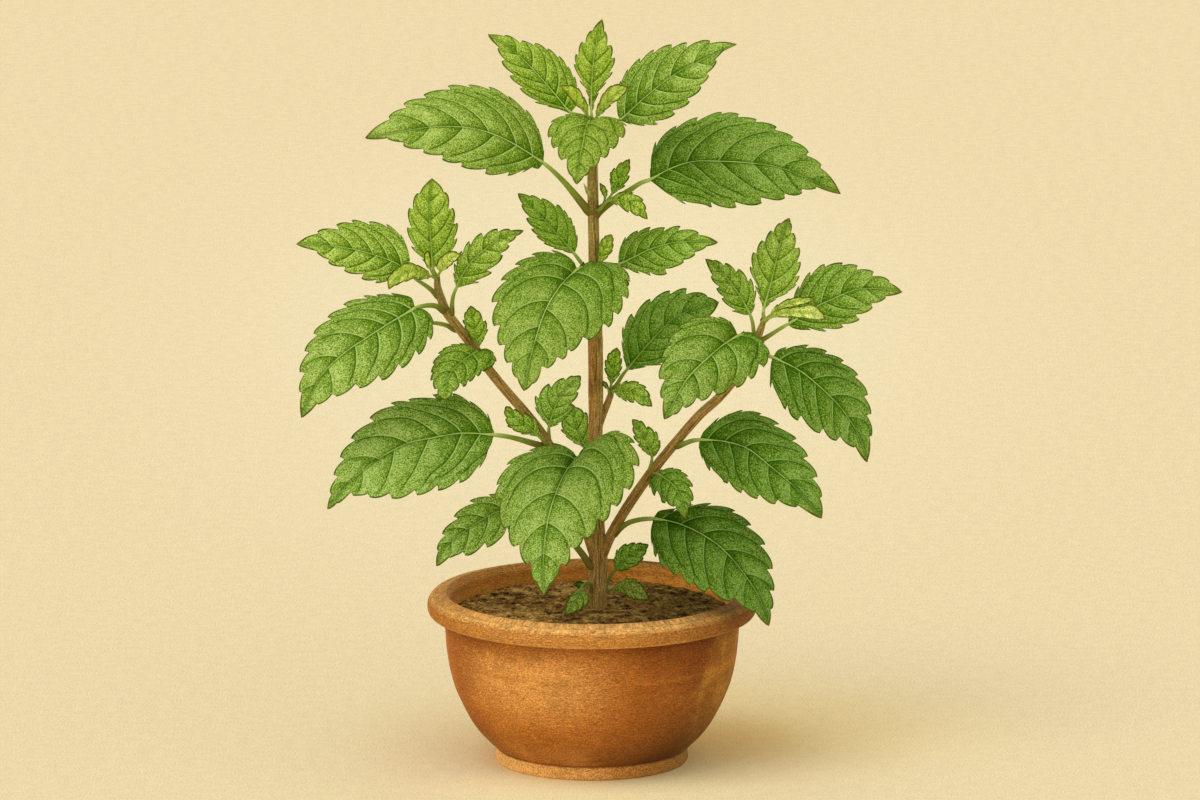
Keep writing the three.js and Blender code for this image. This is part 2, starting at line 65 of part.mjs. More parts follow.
  { name: 'low_leaf_right', tone: 0.16, young: 0, stalk: [[8.13,-2.5,89.06],[10.45,-4,91.97],[13.93,-5.5,94.89],[18.57,-7,96.61],[23.97,-9,97.45]], r: [1.2,0.85], rib: [[23.97,-9,97.45],[30.14,-12,97.13],[37.07,-16,95.66],[49.15,-24,89.95],[59.68,-32,79.33],[65.41,-37,70.41],[68.07,-41,62.26]], roll: -29.3, twist: -4, fold: [0.12,0.12], curl: 0.0182, up: 0, left: [[0.8,3],[4.1,4.5],[6.9,6],[11.9,10],[16.4,14.4],[24.6,17.2],[31.4,17.2],[39.7,16],[49.1,12.1],[56.6,7.3],[62.5,3.6]], right: [[1,6.3],[3.4,12.2],[9.1,17.2],[18.3,20.9],[27.7,21.5],[38.1,21.5],[45.2,19],[54.1,13.1],[62.9,5.8]] },
  { name: 'right_small_leaf_up', tone: 0.36, young: 0, stalk: [[21,-5.8,112.78],[21.96,-6.4,115.48],[22.8,-7,118.38],[23.42,-7.6,121.44]], r: [0.8,0.6], rib: [[23.42,-7.6,121.44],[21.01,-9,128.42],[17.91,-10.2,133.89],[15.48,-11,137.14]], roll: 0, twist: 0, fold: [0.12,0.12], curl: 0.0795, up: 0, left: [[2.3,2],[4.8,3.2],[7.5,3.9],[12,3.7],[15.4,2]], right: [[0.5,1.8],[3.6,4.6],[5.6,4.9],[8.9,5],[12.1,3.3],[15.6,2.2]] },
  { name: 'right_small_leaf_low', tone: 0.32, young: 0, stalk: [[23.01,-5.8,114.16],[24.15,-8,115.16],[25.5,-10,115.44]], r: [0.7,0.55], rib: [[25.5,-10,115.44],[27.8,-13,114.56],[31.67,-17.5,112.31],[35.07,-23,106.82],[35.82,-26.5,101.44]], roll: 0, twist: 0, fold: [0.2,-0.1], curl: 0.069, up: 0, left: [[-0.1,1.4],[1,2.4],[4.9,5.4],[7.9,6.4],[10.2,6.7],[14,6.3],[19,4],[21.2,2.2]], right: [[-1.5,1.7],[-1.7,3.4],[0.3,6.6],[4.3,8.2],[14.2,7.4],[18.8,4.3],[22.3,2.5]] },
  { name: 'right_lower_leaf', tone: 0.2, young: 0, stalk: [[32.26,-7.2,125.54],[34.75,-9,126.72],[38.21,-11,128.54],[41.66,-13,129.56]], r: [1.2,0.8], rib: [[41.66,-13,129.56],[50.49,-17,129.83],[59.69,-21,127.94],[68.1,-26,122.34],[78.82,-31,113.99],[88.37,-36,103.49]], roll: -24.9, twist: -4, fold: [0.12,0.12], curl: 0.0206, up: 0, left: [[1,3.6],[3.4,6.6],[6,9.6],[12.7,15.3],[17.9,16.3],[22.4,17],[30.9,17],[39.6,14.3],[47.1,10.2],[54,6]], right: [[0.7,4.2],[3.3,8.8],[8,13.5],[25.8,17.7],[31.6,16.8],[37.6,14.7],[44.8,11.6],[51.7,6.1]] },
  { name: 'right_leaf_front', tone: 0.52, young: 0, stalk: [[63.39,-9,168.9],[61.23,-12,170.11],[58.49,-15,171.12],[55.77,-18,171.35]], r: [1.2,0.8], rib: [[55.77,-18,171.35],[51.09,-24,169.65],[45.66,-31,166.6],[36.38,-42,159.51],[29.45,-52,149.13],[27.53,-54.5,146.34]], roll: 0, twist: 0, fold: [0.6,-0.15], curl: 0.0323, up: 0, left: [[-5.2,0.1],[-6.9,3.7],[-7.1,8.9],[-4.5,13.9],[1.2,16.6],[9.7,17.5],[17.6,16.5],[27.3,13.4],[37.1,9.8],[44.4,5.4],[49.2,2.8]], right: [[1.2,5],[2.5,7.3],[5.9,10.6],[10,13.8],[14.4,16.1],[18.9,16.9],[25.8,15.6],[31.3,13.6],[38.3,9.5],[45.4,5.3]] },
  { name: 'right_leaf_back', tone: 0.3, young: 0, stalk: [[62.12,-4,164.91],[61.82,2,162.68],[60.37,9,160.24],[58.14,16,157.99]], r: [1,0.75], rib: [[58.14,16,157.99],[54.39,26,153.92],[49.07,37,148.84],[42.92,46,143.77]], roll: 0, twist: 0, fold: [0.12,0.12], curl: 0.0364, up: 1, left: [[2.3,4],[6.9,8.3],[11.5,10.1],[16.1,10.4],[20.7,9.5],[25.3,7.7],[29.9,5.1],[34.4,1.5]], right: [[1.4,2.5],[6,7.7],[10.6,9.9],[15.2,10.5],[19.8,9.8],[24.4,8.1],[28.9,5.6],[33.5,2.3]] },
  { name: 'right_outer_leaf', tone: 0.26, young: 0, stalk: [[61.88,-7.5,164.06],[64,-8,162.79],[66.7,-8,161.8],[69.79,-7.5,160.91]], r: [1.1,0.75], rib: [[69.79,-7.5,160.91],[79.88,-5,155.27],[86.89,-3,149.32],[96.63,-1,139.03],[103.66,0,127.54],[106.59,-1,117.86]], roll: -27.3, twist: 0, fold: [0.12,0.12], curl: 0.0211, up: 0, left: [[1.1,3.6],[4.3,6.4],[8.3,9.1],[11.8,11.6],[18.6,14.4],[25.5,15.9],[32.5,16],[39,12.9],[44.6,9.4],[50.6,5]], right: [[0.1,4.6],[1.2,8.9],[2.7,12.5],[14,17.6],[23.3,17.3],[35.8,14.5],[44.3,10.3],[51.9,4.7]] },
  { name: 'right_tip_leaf_top', tone: 0.58, young: 0.25, stalk: [[66.29,-7,174.98],[66.11,-5.8,176.3],[65.93,-4.4,178.18]], r: [0.9,0.65], rib: [[65.93,-4.4,178.18],[67.1,-2.5,182.32],[69.09,0,188.78],[71.35,3.5,197.87],[73.96,7.5,207.22],[76.19,10,212.2]], roll: -8, twist: 0, fold: [0.12,0.12], curl: 0.0351, up: 0, left: [[3.1,1.4],[5.4,3.2],[9.2,5.9],[16.6,9.8],[22.2,9.6],[27.4,7.3],[31.6,4.9],[35.2,2.6]], right: [[3.5,1.9],[6.1,3.9],[10,7.7],[13.5,9.9],[16.8,10.2],[22.5,9.5],[27.7,7.7],[33.2,4.1],[36.7,1.6]] },
  { name: 'right_tip_leaf_left', tone: 0.36, young: 0, stalk: [[63.17,-5.5,167.98],[62.4,-5.2,169.65],[62.09,-4.4,173.26],[61.09,-3.5,176.82]], r: [0.9,0.65], rib: [[61.09,-3.5,176.82],[57.01,-1,183.78],[52.83,2,189.16],[47.49,5,194.26],[43.64,7,196.62]], roll: -6, twist: 0, fold: [0.12,0.12], curl: 0.0503, up: 0, left: [[0.7,1.7],[2.8,3.9],[4.9,5.8],[12,6.7],[17,5.9],[22.3,4.2]], right: [[0.9,1.9],[3,3.8],[7.3,6.6],[11.7,7.2],[17,5.8],[21.8,3.7],[25.6,1.7]] },
  { name: 'right_tip_leaf_right', tone: 0.34, young: 0, stalk: [[64.57,-7.5,167.21],[67.47,-6.5,168.58],[71.73,-5,171.02],[75.59,-4,173.18]], r: [1,0.7], rib: [[75.59,-4,173.18],[81.4,-2,176.31],[87.59,0,179.84],[94.18,2,182.39],[101.16,4,184.94],[110.47,6,185.12],[120,8,183.34]], roll: -20.5, twist: 0, fold: [0.12,0.12], curl: 0.0256, up: 0, left: [[2.8,3.6],[7,7.9],[12.5,11.4],[17.7,14.4],[24.8,15.2],[29,12.4],[32.6,9.8],[37.7,6.9],[43.4,3.7]], right: [[0.4,2.2],[2.6,4.6],[6,7.1],[10.6,11],[19.2,12.5],[25.9,12.3],[36.2,8.4],[42.2,3.9]] },
  { name: 'right_tip_young_upper', tone: 0.92, young: 1, stalk: [[66.64,-9,175.58],[67.4,-10,176.77],[68.61,-11,178.23]], r: [0.65,0.5], rib: [[68.61,-11,178.23],[73.12,-12.2,181.54],[78.87,-13.2,184.1],[85.93,-14,184.66]], roll: 8, twist: 0, fold: [0.3,0.3], curl: 0.047, up: 0, left: [[2,1.4],[5.1,2],[9.9,2.1],[14.2,1.6],[17.6,1.3]], right: [[2.3,0.9],[7.2,1.6],[12.5,2.2],[16.9,1.3]] },
  { name: 'right_tip_young_lower', tone: 1, young: 1, stalk: [[66.43,-10.4,175.09],[67.18,-12,176.2],[68.3,-13.6,177.67]], r: [0.65,0.5], rib: [[68.3,-13.6,177.67],[74.23,-15.5,179.67],[80.34,-17.5,180.47],[85.31,-19,180.19],[90.09,-20.5,178.57]], roll: 0, twist: 0, fold: [0.3,0.3], curl: 0.0322, up: 0, left: [[2.1,1.5],[4.7,2.4],[8.7,2.4],[13.1,2.7],[16.8,3.7],[20.3,2.5]], right: [[1.8,0.6],[8.3,2],[13.6,2.6],[18.3,2.7],[21.4,1.8]] },
  { name: 'base_leaf_left', tone: 0.45, young: 0, stalk: [[-0.19,-2.6,69.61],[-2.32,-5.2,70.81],[-4.26,-8,70.06]], r: [0.8,0.6], rib: [[-4.26,-8,70.06],[-5.6,-12,67.01],[-7.53,-16,64.36],[-9.84,-20.5,61.84]], roll: 0, twist: 0, fold: [0.12,0.12], curl: 0.0719, up: 0, left: [[1.9,2.5],[3.4,4.3],[4.9,5.1],[7.6,4.6],[11.3,3.1],[14,1.6]], right: [[1.8,1],[3.8,2.5],[8.2,3.3],[12.4,2.5],[14.9,1.4]] },
  { name: 'base_leaf_back', tone: 0.1, young: 0, stalk: [[0.19,3.5,66.02],[-1.17,6,67.04],[-2.34,8.5,67.07]], r: [0.6,0.5], rib: [[-2.34,8.5,67.07],[-4.68,11,66.89],[-7.41,14,66]], roll: 0, twist: 0, fold: [0.12,0.12], curl: 0.1, up: 0, left: [[1.3,1.4],[5.4,1.5]], right: [[1.9,1.1],[4.4,1.2]] },
  { name: 'base_leaf_up', tone: 0.18, young: 0, stalk: [[3.88,2.5,65.66],[5.43,3.6,67.79],[6.98,4.6,71.15],[8.92,5.2,74.19]], r: [0.9,0.6], rib: [[8.92,5.2,74.19],[12.03,5.8,77.24],[16.69,6.4,80.69],[22,6.8,83.58]], roll: 0, twist: 0, fold: [0.12,0.12], curl: 0.0715, up: 0, left: [[1.3,2.1],[3.3,3.6],[5.7,5.1],[9.4,4.7],[12.1,3.2],[14.3,1.9]], right: [[0.5,1.6],[1.9,3.1],[4.4,4.3],[9.1,4.8],[12.1,3.9],[14.6,1.8]] },
  { name: 'base_leaf_right', tone: 0.25, young: 0, stalk: [[3.88,-0.5,65.55],[5.81,-1,66.86],[8.33,-1.5,67.81]], r: [0.7,0.55], rib: [[8.33,-1.5,67.81],[12.4,-2.5,68.4],[17.05,-4,67.35],[22.28,-6,64.31]], roll: 0, twist: 0, fold: [0.12,0.12], curl: 0.0901, up: 0, left: [[1.3,1.6],[3.2,2.8],[5.3,4.2],[8.1,4.4],[11.4,2.8],[13.6,1.8]], right: [[1.4,1.4],[3.8,2.4],[8.2,3.5],[11.9,2.7]] },
];

const v3 = (a) => new THREE.Vector3(a[0], a[1], a[2]);

// ---- solids from indexed triangles ------------------------------------------
function solid(points, tris) {
  const vp = new Float32Array(points.length * 3);
  points.forEach((p, i) => { vp[3 * i] = p.x; vp[3 * i + 1] = p.y; vp[3 * i + 2] = p.z; });
  return new Manifold(new Mesh({ numProp: 3, vertProperties: vp, triVerts: new Uint32Array(tris.flat()) }));
}

function largest(m) {
  const parts = m.decompose();
  parts.sort((a, b) => b.volume() - a.volume());
  return parts[0];
}

function geometry(m) {
  const g = m.simplify(0.02).getMesh();
  const geo = new THREE.BufferGeometry();
  const n = g.numProp;
  const pos = new Float32Array(g.numVert * 3);
  for (let i = 0; i < g.numVert; i++) {
    for (let k = 0; k < 3; k++) pos[3 * i + k] = g.vertProperties[n * i + k];
  }
  geo.setAttribute('position', new THREE.BufferAttribute(pos, 3));
  geo.setIndex(new THREE.BufferAttribute(new Uint32Array(g.triVerts), 1));
  geo.computeVertexNormals();
  return geo;
}

// ---- a curve looked up by length --------------------------------------------
class Axis {
  constructor(points) {
    const c = new THREE.CatmullRomCurve3(points.map(v3), false, 'centripetal');
    this.q = [];
    for (let i = 0; i <= 240; i++) this.q.push(c.getPoint(i / 240));
    this.l = [0];
    for (let i = 1; i <= 240; i++) this.l.push(this.l[i - 1] + this.q[i].distanceTo(this.q[i - 1]));
    this.length = this.l[240];
    this.t = this.q.map((p, i) => this.q[Math.min(i + 1, 240)].clone().sub(this.q[Math.max(i - 1, 0)]).normalize());
  }
  find(u) {
    let a = 0, b = 240;
    while (b - a > 1) { const m = (a + b) >> 1; if (this.l[m] <= u) a = m; else b = m; }
    return [a, (u - this.l[a]) / Math.max(this.l[a + 1] - this.l[a], 1e-9)];
  }
  at(u) {
    if (u <= 0) return this.q[0].clone().addScaledVector(this.t[0], u);
    if (u >= this.length) return this.q[240].clone().addScaledVector(this.t[240], u - this.length);
    const [i, w] = this.find(u);
    return this.q[i].clone().lerp(this.q[i + 1], w);
  }
  dir(u) {
    const [i, w] = this.find(Math.min(Math.max(u, 0), this.length - 1e-6));
    return this.t[i].clone().lerp(this.t[i + 1], w).normalize();
  }
}

// ---- round rod of changing radius along a row of points ----------------------
function rod(points, radii, sides, turn = 0) {
  const n = points.length;
  const tan = points.map((p, i) => points[Math.min(i + 1, n - 1)].clone().sub(points[Math.max(i - 1, 0)]).normalize());
  let side = new THREE.Vector3(0, 1, 0);
  if (Math.abs(tan[0].y) > 0.8) side.set(1, 0, 0);
  const P = [], T = [];
  for (let i = 0; i < n; i++) {
    side = side.clone().addScaledVector(tan[i], -side.dot(tan[i])).normalize();
    const up = tan[i].clone().cross(side);
    for (let k = 0; k < sides; k++) {
      const a = turn + 2 * Math.PI * k / sides;
      P.push(points[i].clone().addScaledVector(side, radii[i] * Math.cos(a)).addScaledVector(up, radii[i] * Math.sin(a)));
    }
  }
  for (let i = 0; i + 1 < n; i++) {
    for (let k = 0; k < sides; k++) {
      const a = i * sides + k, b = i * sides + (k + 1) % sides, c = a + sides, d = b + sides;
      T.push([a, b, d], [a, d, c]);
    }
  }
  const e0 = P.length; P.push(points[0].clone());
  const e1 = P.length; P.push(points[n - 1].clone().addScaledVector(tan[n - 1], radii[n - 1] * 0.35));
  for (let k = 0; k < sides; k++) {
    T.push([e0, (k + 1) % sides, k]);
    T.push([e1, (n - 1) * sides + k, (n - 1) * sides + (k + 1) % sides]);
  }
  return solid(P, T);
}

// ---- stems -------------------------------------------------------------------
function stemRod(name, grow) {
  const rows = STEMS[name];
  return rod(rows.map(v3), rows.map((r) => r[3] + grow), name === 'main_stem' ? 10 : 8);
}
const stemAxis = {};
for (const name of Object.keys(STEMS)) {
  const rows = STEMS[name];
  const ax = new Axis(rows);
  stemAxis[name] = { ax, rows };
}
function stemRadius(rows, p) {
  let best = [1e9, 0];
  for (const r of rows) { const d = p.distanceTo(v3(r)); if (d < best[0]) best = [d, r[3]]; }
  return best[1];
}
// nearest stem to a point: [distance, point on its axis, radius there]
function nearestStem(p) {
  let best = null;
  for (const name of Object.keys(STEMS)) {
    const { ax, rows } = stemAxis[name];
    for (const q of ax.q) {
      const d = p.distanceTo(q);
      if (!best || d < best[0]) best = [d, q.clone(), stemRadius(rows, q), name];
    }
  }
  return best;
}

// ---- leaves ------------------------------------------------------------------
const VIEW = new THREE.Vector3(0, -Math.cos(12 * Math.PI / 180), Math.sin(12 * Math.PI / 180));

class Leaf {
  constructor(d) {
    this.d = d;
    this.rib = new Axis(d.rib);
    this.L = this.rib.length;
    this.ref = d.up ? new THREE.Vector3(0, 0, 1) : VIEW;
  }
  // point of the blade: u along the midrib, v out along the half 'left' or 'right'
  point(u, v, side) {
    const { d } = this;
    const t = this.rib.dir(u);
    const e1 = this.ref.clone().cross(t).normalize();
    const e2 = t.clone().cross(e1);
    const x = Math.min(Math.max(u / this.L, 0), 1);
    const roll = (d.roll + d.twist * x) * Math.PI / 180;
    const fold = d.fold[1] + (d.fold[0] - d.fold[1]) * (1 - x) * (1 - x);
    const s = side === 'left' ? 1 : -1;
    const a = s * roll + fold;
    const out = e1.clone().multiplyScalar(s * Math.cos(a)).addScaledVector(e2, Math.sin(a));
    const nor = e1.clone().multiplyScalar(-s * Math.sin(a)).addScaledVector(e2, Math.cos(a));
    const k = d.curl;
    const p = this.rib.at(u);
    if (Math.abs(k) < 1e-6) return p.addScaledVector(out, v);
    return p.addScaledVector(out, Math.sin(k * v) / k).addScaledVector(nor, -(1 - Math.cos(k * v)) / k);
  }
  // smooth line through the tooth tips of one half, cut into n equal lengths
  outline(side, n, grow) {
    const tips = [[0, 0, 0], ...this.d[side].map((t) => [t[0], t[1], 0]), [this.L, 0, 0]];
    const ax = new Axis(tips);
    const o = [];
    for (let j = 0; j <= n; j++) {
      const p = ax.at(ax.length * j / n);
      o.push([p.x, j === 0 || j === n ? 0 : Math.max(p.y, 0.35) + grow]);
    }
    return o;
  }
  blade(n, grow) {
    const l = this.outline('left', n, grow), r = this.outline('right', n, grow);
    const um = [0];
    for (let j = 1; j < n; j++) {
      let u = (l[j][0] + r[j][0]) / 2 - 0.42 * (l[j][1] + r[j][1]) / 2;
      u = Math.max(u, um[j - 1] + 0.035 * this.L);
      um.push(Math.min(u, this.L * (1 - 0.05 * (n - j))));
    }
    const P = [], row = [];
    const add = (u, v, s) => { P.push(this.point(u, v, s)); return P.length - 1; };
    row.push([add(-grow, 0, 'left')]);
    for (let j = 1; j < n; j++) {
      const m = (o, f) => um[j] + (o[j][0] - um[j]) * f;
      row.push([
        add(l[j][0], l[j][1], 'left'), add(m(l, 0.5), l[j][1] * 0.5, 'left'), add(um[j], 0, 'left'),
        add(m(r, 0.5), r[j][1] * 0.5, 'right'), add(r[j][0], r[j][1], 'right'),
      ]);
    }
    row.push([add(this.L + grow, 0, 'left')]);
    const F = [];
    for (let j = 0; j < n; j++) {
      const a = row[j], b = row[j + 1];
      for (let k = 0; k < 4; k++) {
        if (a.length === 1) F.push([a[0], b[k], b[k + 1]]);
        else if (b.length === 1) F.push([a[k], b[0], a[k + 1]]);
        else if (k < 2) F.push([a[k], b[k], b[k + 1]], [a[k], b[k + 1], a[k + 1]]);
        else F.push([a[k], b[k], a[k + 1]], [a[k + 1], b[k], b[k + 1]]);
      }
    }
    // thicken along the mean normal of the faces round each point
    const N = P.map(() => new THREE.Vector3());
    for (const f of F) {
      const e = P[f[1]].clone().sub(P[f[0]]).cross(P[f[2]].clone().sub(P[f[0]]));
      f.forEach((i) => N[i].add(e));
    }
    N.forEach((v) => v.normalize());
    const h = HALF + grow;
    const m = P.length;
    const Q = [...P.map((p, i) => p.clone().addScaledVector(N[i], h)), ...P.map((p, i) => p.clone().addScaledVector(N[i], -h))];
    const T = [];
    for (const f of F) T.push([f[0], f[1], f[2]], [f[0] + m, f[2] + m, f[1] + m]);
    const first = (a) => a[0], last = (a) => a[a.length - 1];
    for (let j = 0; j < n; j++) {
      let a = first(row[j]), b = first(row[j + 1]);
      T.push([a, a + m, b + m], [a, b + m, b]);
      a = last(row[j + 1]); b = last(row[j]);
      T.push([a, a + m, b + m], [a, b + m, b]);
    }
    let s = solid(Q, T);
    return s;
  }
  stalk(grow) {
    const pts = this.d.stalk.map((p) => p.slice());
    const near = nearestStem(v3(pts[0]));
    const all = pts.map(v3);
    const step = all[1].clone().sub(all[0]).normalize();
    // start inside the stem the stalk grows from
    if (near[0] < 9 && !this.d.name.startsWith('base_')) {
      const root = near[1].clone().addScaledVector(step, Math.min(0.4, near[2] * 0.3));
      if (root.distanceTo(all[0]) > 0.4) all.unshift(root);
    } else if (this.d.name.startsWith('base_')) {
      all.unshift(all[0].clone().add(new THREE.Vector3(0, 0, -3)));
    }
    // end inside the blade, along the midrib
    const inside = Math.min(2.2, this.L * 0.12);
    all.push(this.rib.at(inside));
    const ax = new Axis(all.map((p) => [p.x, p.y, p.z]));
    const n = Math.max(3, Math.min(5, Math.round(ax.length / 5)));
    const P = [], R = [];
    for (let i = 0; i <= n; i++) {
      const x = i / n;
      P.push(ax.at(ax.length * x));
      R.push(this.d.r[0] + (this.d.r[1] - this.d.r[0]) * x + grow);
    }
    R[n] = Math.max(this.d.r[1] * 0.62, 0.4) + grow;
    return rod(P, R, 5);
  }
  whole(grow) {
    const n = this.L > 45 ? 9 : this.L > 24 ? 7 : this.L > 12 ? 6 : 5;
    return this.blade(n, grow).add(this.stalk(grow));
  }
}

// ---- pot and soil --------------------------------------------------------------
function turned(profile, seg) {
  const P = [], T = [];
  const ring = profile.map(([r, z]) => {
    if (r === 0) { P.push(new THREE.Vector3(0, 0, z)); return [P.length - 1]; }
    const a = [];
    for (let k = 0; k < seg; k++) {
      const f = 2 * Math.PI * k / seg;
      P.push(new THREE.Vector3(r * Math.cos(f), r * Math.sin(f), z));
      a.push(P.length - 1);
    }
    return a;
  });
  for (let i = 0; i + 1 < ring.length; i++) {
    const a = ring[i], b = ring[i + 1];
    for (let k = 0; k < seg; k++) {
      const k2 = (k + 1) % seg;
      if (a.length === 1) T.push([a[0], b[k2], b[k]]);
      else if (b.length === 1) T.push([a[k], a[k2], b[0]]);
      else T.push([a[k], a[k2], b[k2]], [a[k], b[k2], b[k]]);
    }
  }
  return solid(P, T);
}

const potOuter = [
  [0, 0], [36.6, 0], [37.3, 0.7], [37.0, 3.6], [36.6, 4.7], [37.5, 5.8],
  [42.5, 10.6], [46.5, 15.6], [50.9, 23.9], [53.3, 29.7], [55.0, 35.7], [56.4, 44.2], [57.1, 55.1], [57.6, 57.6],
  [62.3, 58.0], [63.6, 59.2], [64.0, 61.6], [63.8, 63.7], [62.9, 64.8], [60.2, 65.5], [57.8, 66.5], [56.7, 66.7],
];
const potInner = [
  [55.9, 66.0], [55.2, 64.0], [54.4, 61.4], [53.4, 58.0], [52.8, 49], [50.9, 36.2], [47.0, 25.2], [42.6, 16.9], [37.2, 10.6], [32.6, 7.4], [0, 6.4],
];
let pot = turned([...potOuter, ...potInner], 48);
for (let k = 0; k < 3; k++) {
  const a = (90 + 120 * k) * Math.PI / 180;
  const c = new THREE.Vector3(16 * Math.cos(a), 16 * Math.sin(a), 0);
  pot = pot.subtract(rod([c.clone().setZ(-3), c.clone().setZ(11)], [4, 4], 14));
}

// height of the soil above the pot foot
function soilTop(x, y) {
  const r = Math.hypot(x, y);
  const mound = 1.7 * Math.exp(-(r * r) / (16 * 16));
  return 58.7 + mound + 0.45 * Math.sin(0.31 * x + 1.1) * Math.cos(0.27 * y - 0.6) + 0.3 * Math.sin(0.63 * y + 0.23 * x);
}
function soilBody() {
  const seg = 32, P = [], T = [];
  const rings = [];
  P.push(new THREE.Vector3(0, 0, 6.8)); rings.push([0]);
  const wall = [[31.9, 7.8], [36.8, 11.1], [42.2, 17.2], [46.6, 25.4], [50.5, 36.3], [52.4, 49], [52.9, 56.8]];
  const put = (r, z) => {
    const a = [];
    for (let k = 0; k < seg; k++) {
      const f = 2 * Math.PI * (k + 0.5) / seg;
      const x = r * Math.cos(f), y = r * Math.sin(f);
      P.push(new THREE.Vector3(x, y, z === null ? soilTop(x, y) : z));
      a.push(P.length - 1);
    }
    rings.push(a);
  };
  wall.forEach(([r, z]) => put(r * 0.995, z));
  [52.3, 44, 35, 26, 17, 9].forEach((r) => put(r, null));
  P.push(new THREE.Vector3(0, 0, soilTop(0, 0))); rings.push([P.length - 1]);
  for (let i = 0; i + 1 < rings.length; i++) {
    const a = rings[i], b = rings[i + 1];
    for (let k = 0; k < seg; k++) {
      const k2 = (k + 1) % seg;
      if (a.length === 1) T.push([a[0], b[k2], b[k]]);
      else if (b.length === 1) T.push([a[k], a[k2], b[0]]);
      else T.push([a[k], a[k2], b[k2]], [a[k], b[k2], b[k]]);
    }
  }
  return solid(P, T);
}

// ---- assembly ------------------------------------------------------------------
const pieces = {};
const bigger = {};
pieces.pot = pot;

STEMS.main_stem.unshift([2.2, 0.3, 45.5, 1.1], [2.45, 0.1, 49, 2.2]);
pieces.main_stem = stemRod('main_stem', 0);
bigger.main_stem = stemRod('main_stem', GAP);
for (const name of ['right_branch', 'left_branch', 'middle_shoot']) {
  let s = stemRod(name, 0).subtract(bigger.main_stem);
  for (const other of ['right_branch', 'left_branch']) if (bigger[other]) s = s.subtract(bigger[other]);
  pieces[name] = largest(s);
  bigger[name] = stemRod(name, GAP);
}
const stems = Object.keys(STEMS);

const soil0 = soilBody();
let soil = soil0.subtract(bigger.main_stem);
const soilGrown = soil0.add(soil0.translate([0, 0, GAP]));

const touch = (a, b) => {
  const p = a.boundingBox(), q = b.boundingBox();
  for (let k = 0; k < 3; k++) if (p.min[k] > q.max[k] || q.min[k] > p.max[k]) return false;
  return true;
};

const ORDER = LEAVES.map((d) => new Leaf(d));
const done = [];
for (const leaf of ORDER) {
  const name = leaf.d.name;
  let s = leaf.whole(0);
  const v0 = s.volume();
  for (const st of stems) if (touch(s, bigger[st])) s = s.subtract(bigger[st]);
  s = s.subtract(soilGrown);
  s = largest(s);
  const v1 = s.volume();
  for (const other of done) {
    if (!touch(s, other.big)) continue;
    const before = s.volume();
    s = largest(s.subtract(other.big));
    const lost = 1 - s.volume() / before;
    if (lost > 0.004) console.log(`${name} cut by ${other.name}: ${(100 * lost).toFixed(1)} %`);
  }
  pieces[name] = s;
  done.push({ name, big: leaf.whole(GAP) });
  if (v1 / v0 < 0.9) console.log(`${name} lost ${(100 * (1 - v1 / v0)).toFixed(1)} % at the stems`);
}
pieces.soil = soil;

const colour = (name) => {
  if (name === 'pot') return 0xb5693f;
  if (name === 'soil') return 0x3d2a1e;
  if (stems.includes(name)) return 0x6f6a35;
  return 0x4f7a2c;
};
const group = new THREE.Group();
group.name = 'potted_holy_basil';
for (const [name, m] of Object.entries(pieces)) {
  const mesh = new THREE.Mesh(geometry(m), new THREE.MeshStandardMaterial({ color: colour(name), roughness: 0.7 }));
  mesh.name = name;
  group.add(mesh);
}

export default group;
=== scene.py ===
import math
import bpy
import numpy as np
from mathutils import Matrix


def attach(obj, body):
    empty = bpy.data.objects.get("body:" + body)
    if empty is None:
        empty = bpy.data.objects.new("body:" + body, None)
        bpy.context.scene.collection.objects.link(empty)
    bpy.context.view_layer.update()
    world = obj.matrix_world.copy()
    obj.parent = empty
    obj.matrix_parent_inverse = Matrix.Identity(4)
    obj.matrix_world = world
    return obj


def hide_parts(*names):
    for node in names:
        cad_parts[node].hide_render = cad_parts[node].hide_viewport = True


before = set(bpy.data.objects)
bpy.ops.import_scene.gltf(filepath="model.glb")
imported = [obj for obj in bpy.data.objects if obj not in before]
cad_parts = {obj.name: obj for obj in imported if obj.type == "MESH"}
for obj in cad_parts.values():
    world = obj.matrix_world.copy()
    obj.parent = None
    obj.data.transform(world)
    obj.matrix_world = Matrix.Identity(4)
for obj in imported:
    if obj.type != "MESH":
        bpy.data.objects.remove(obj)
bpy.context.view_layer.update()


MM = 0.001

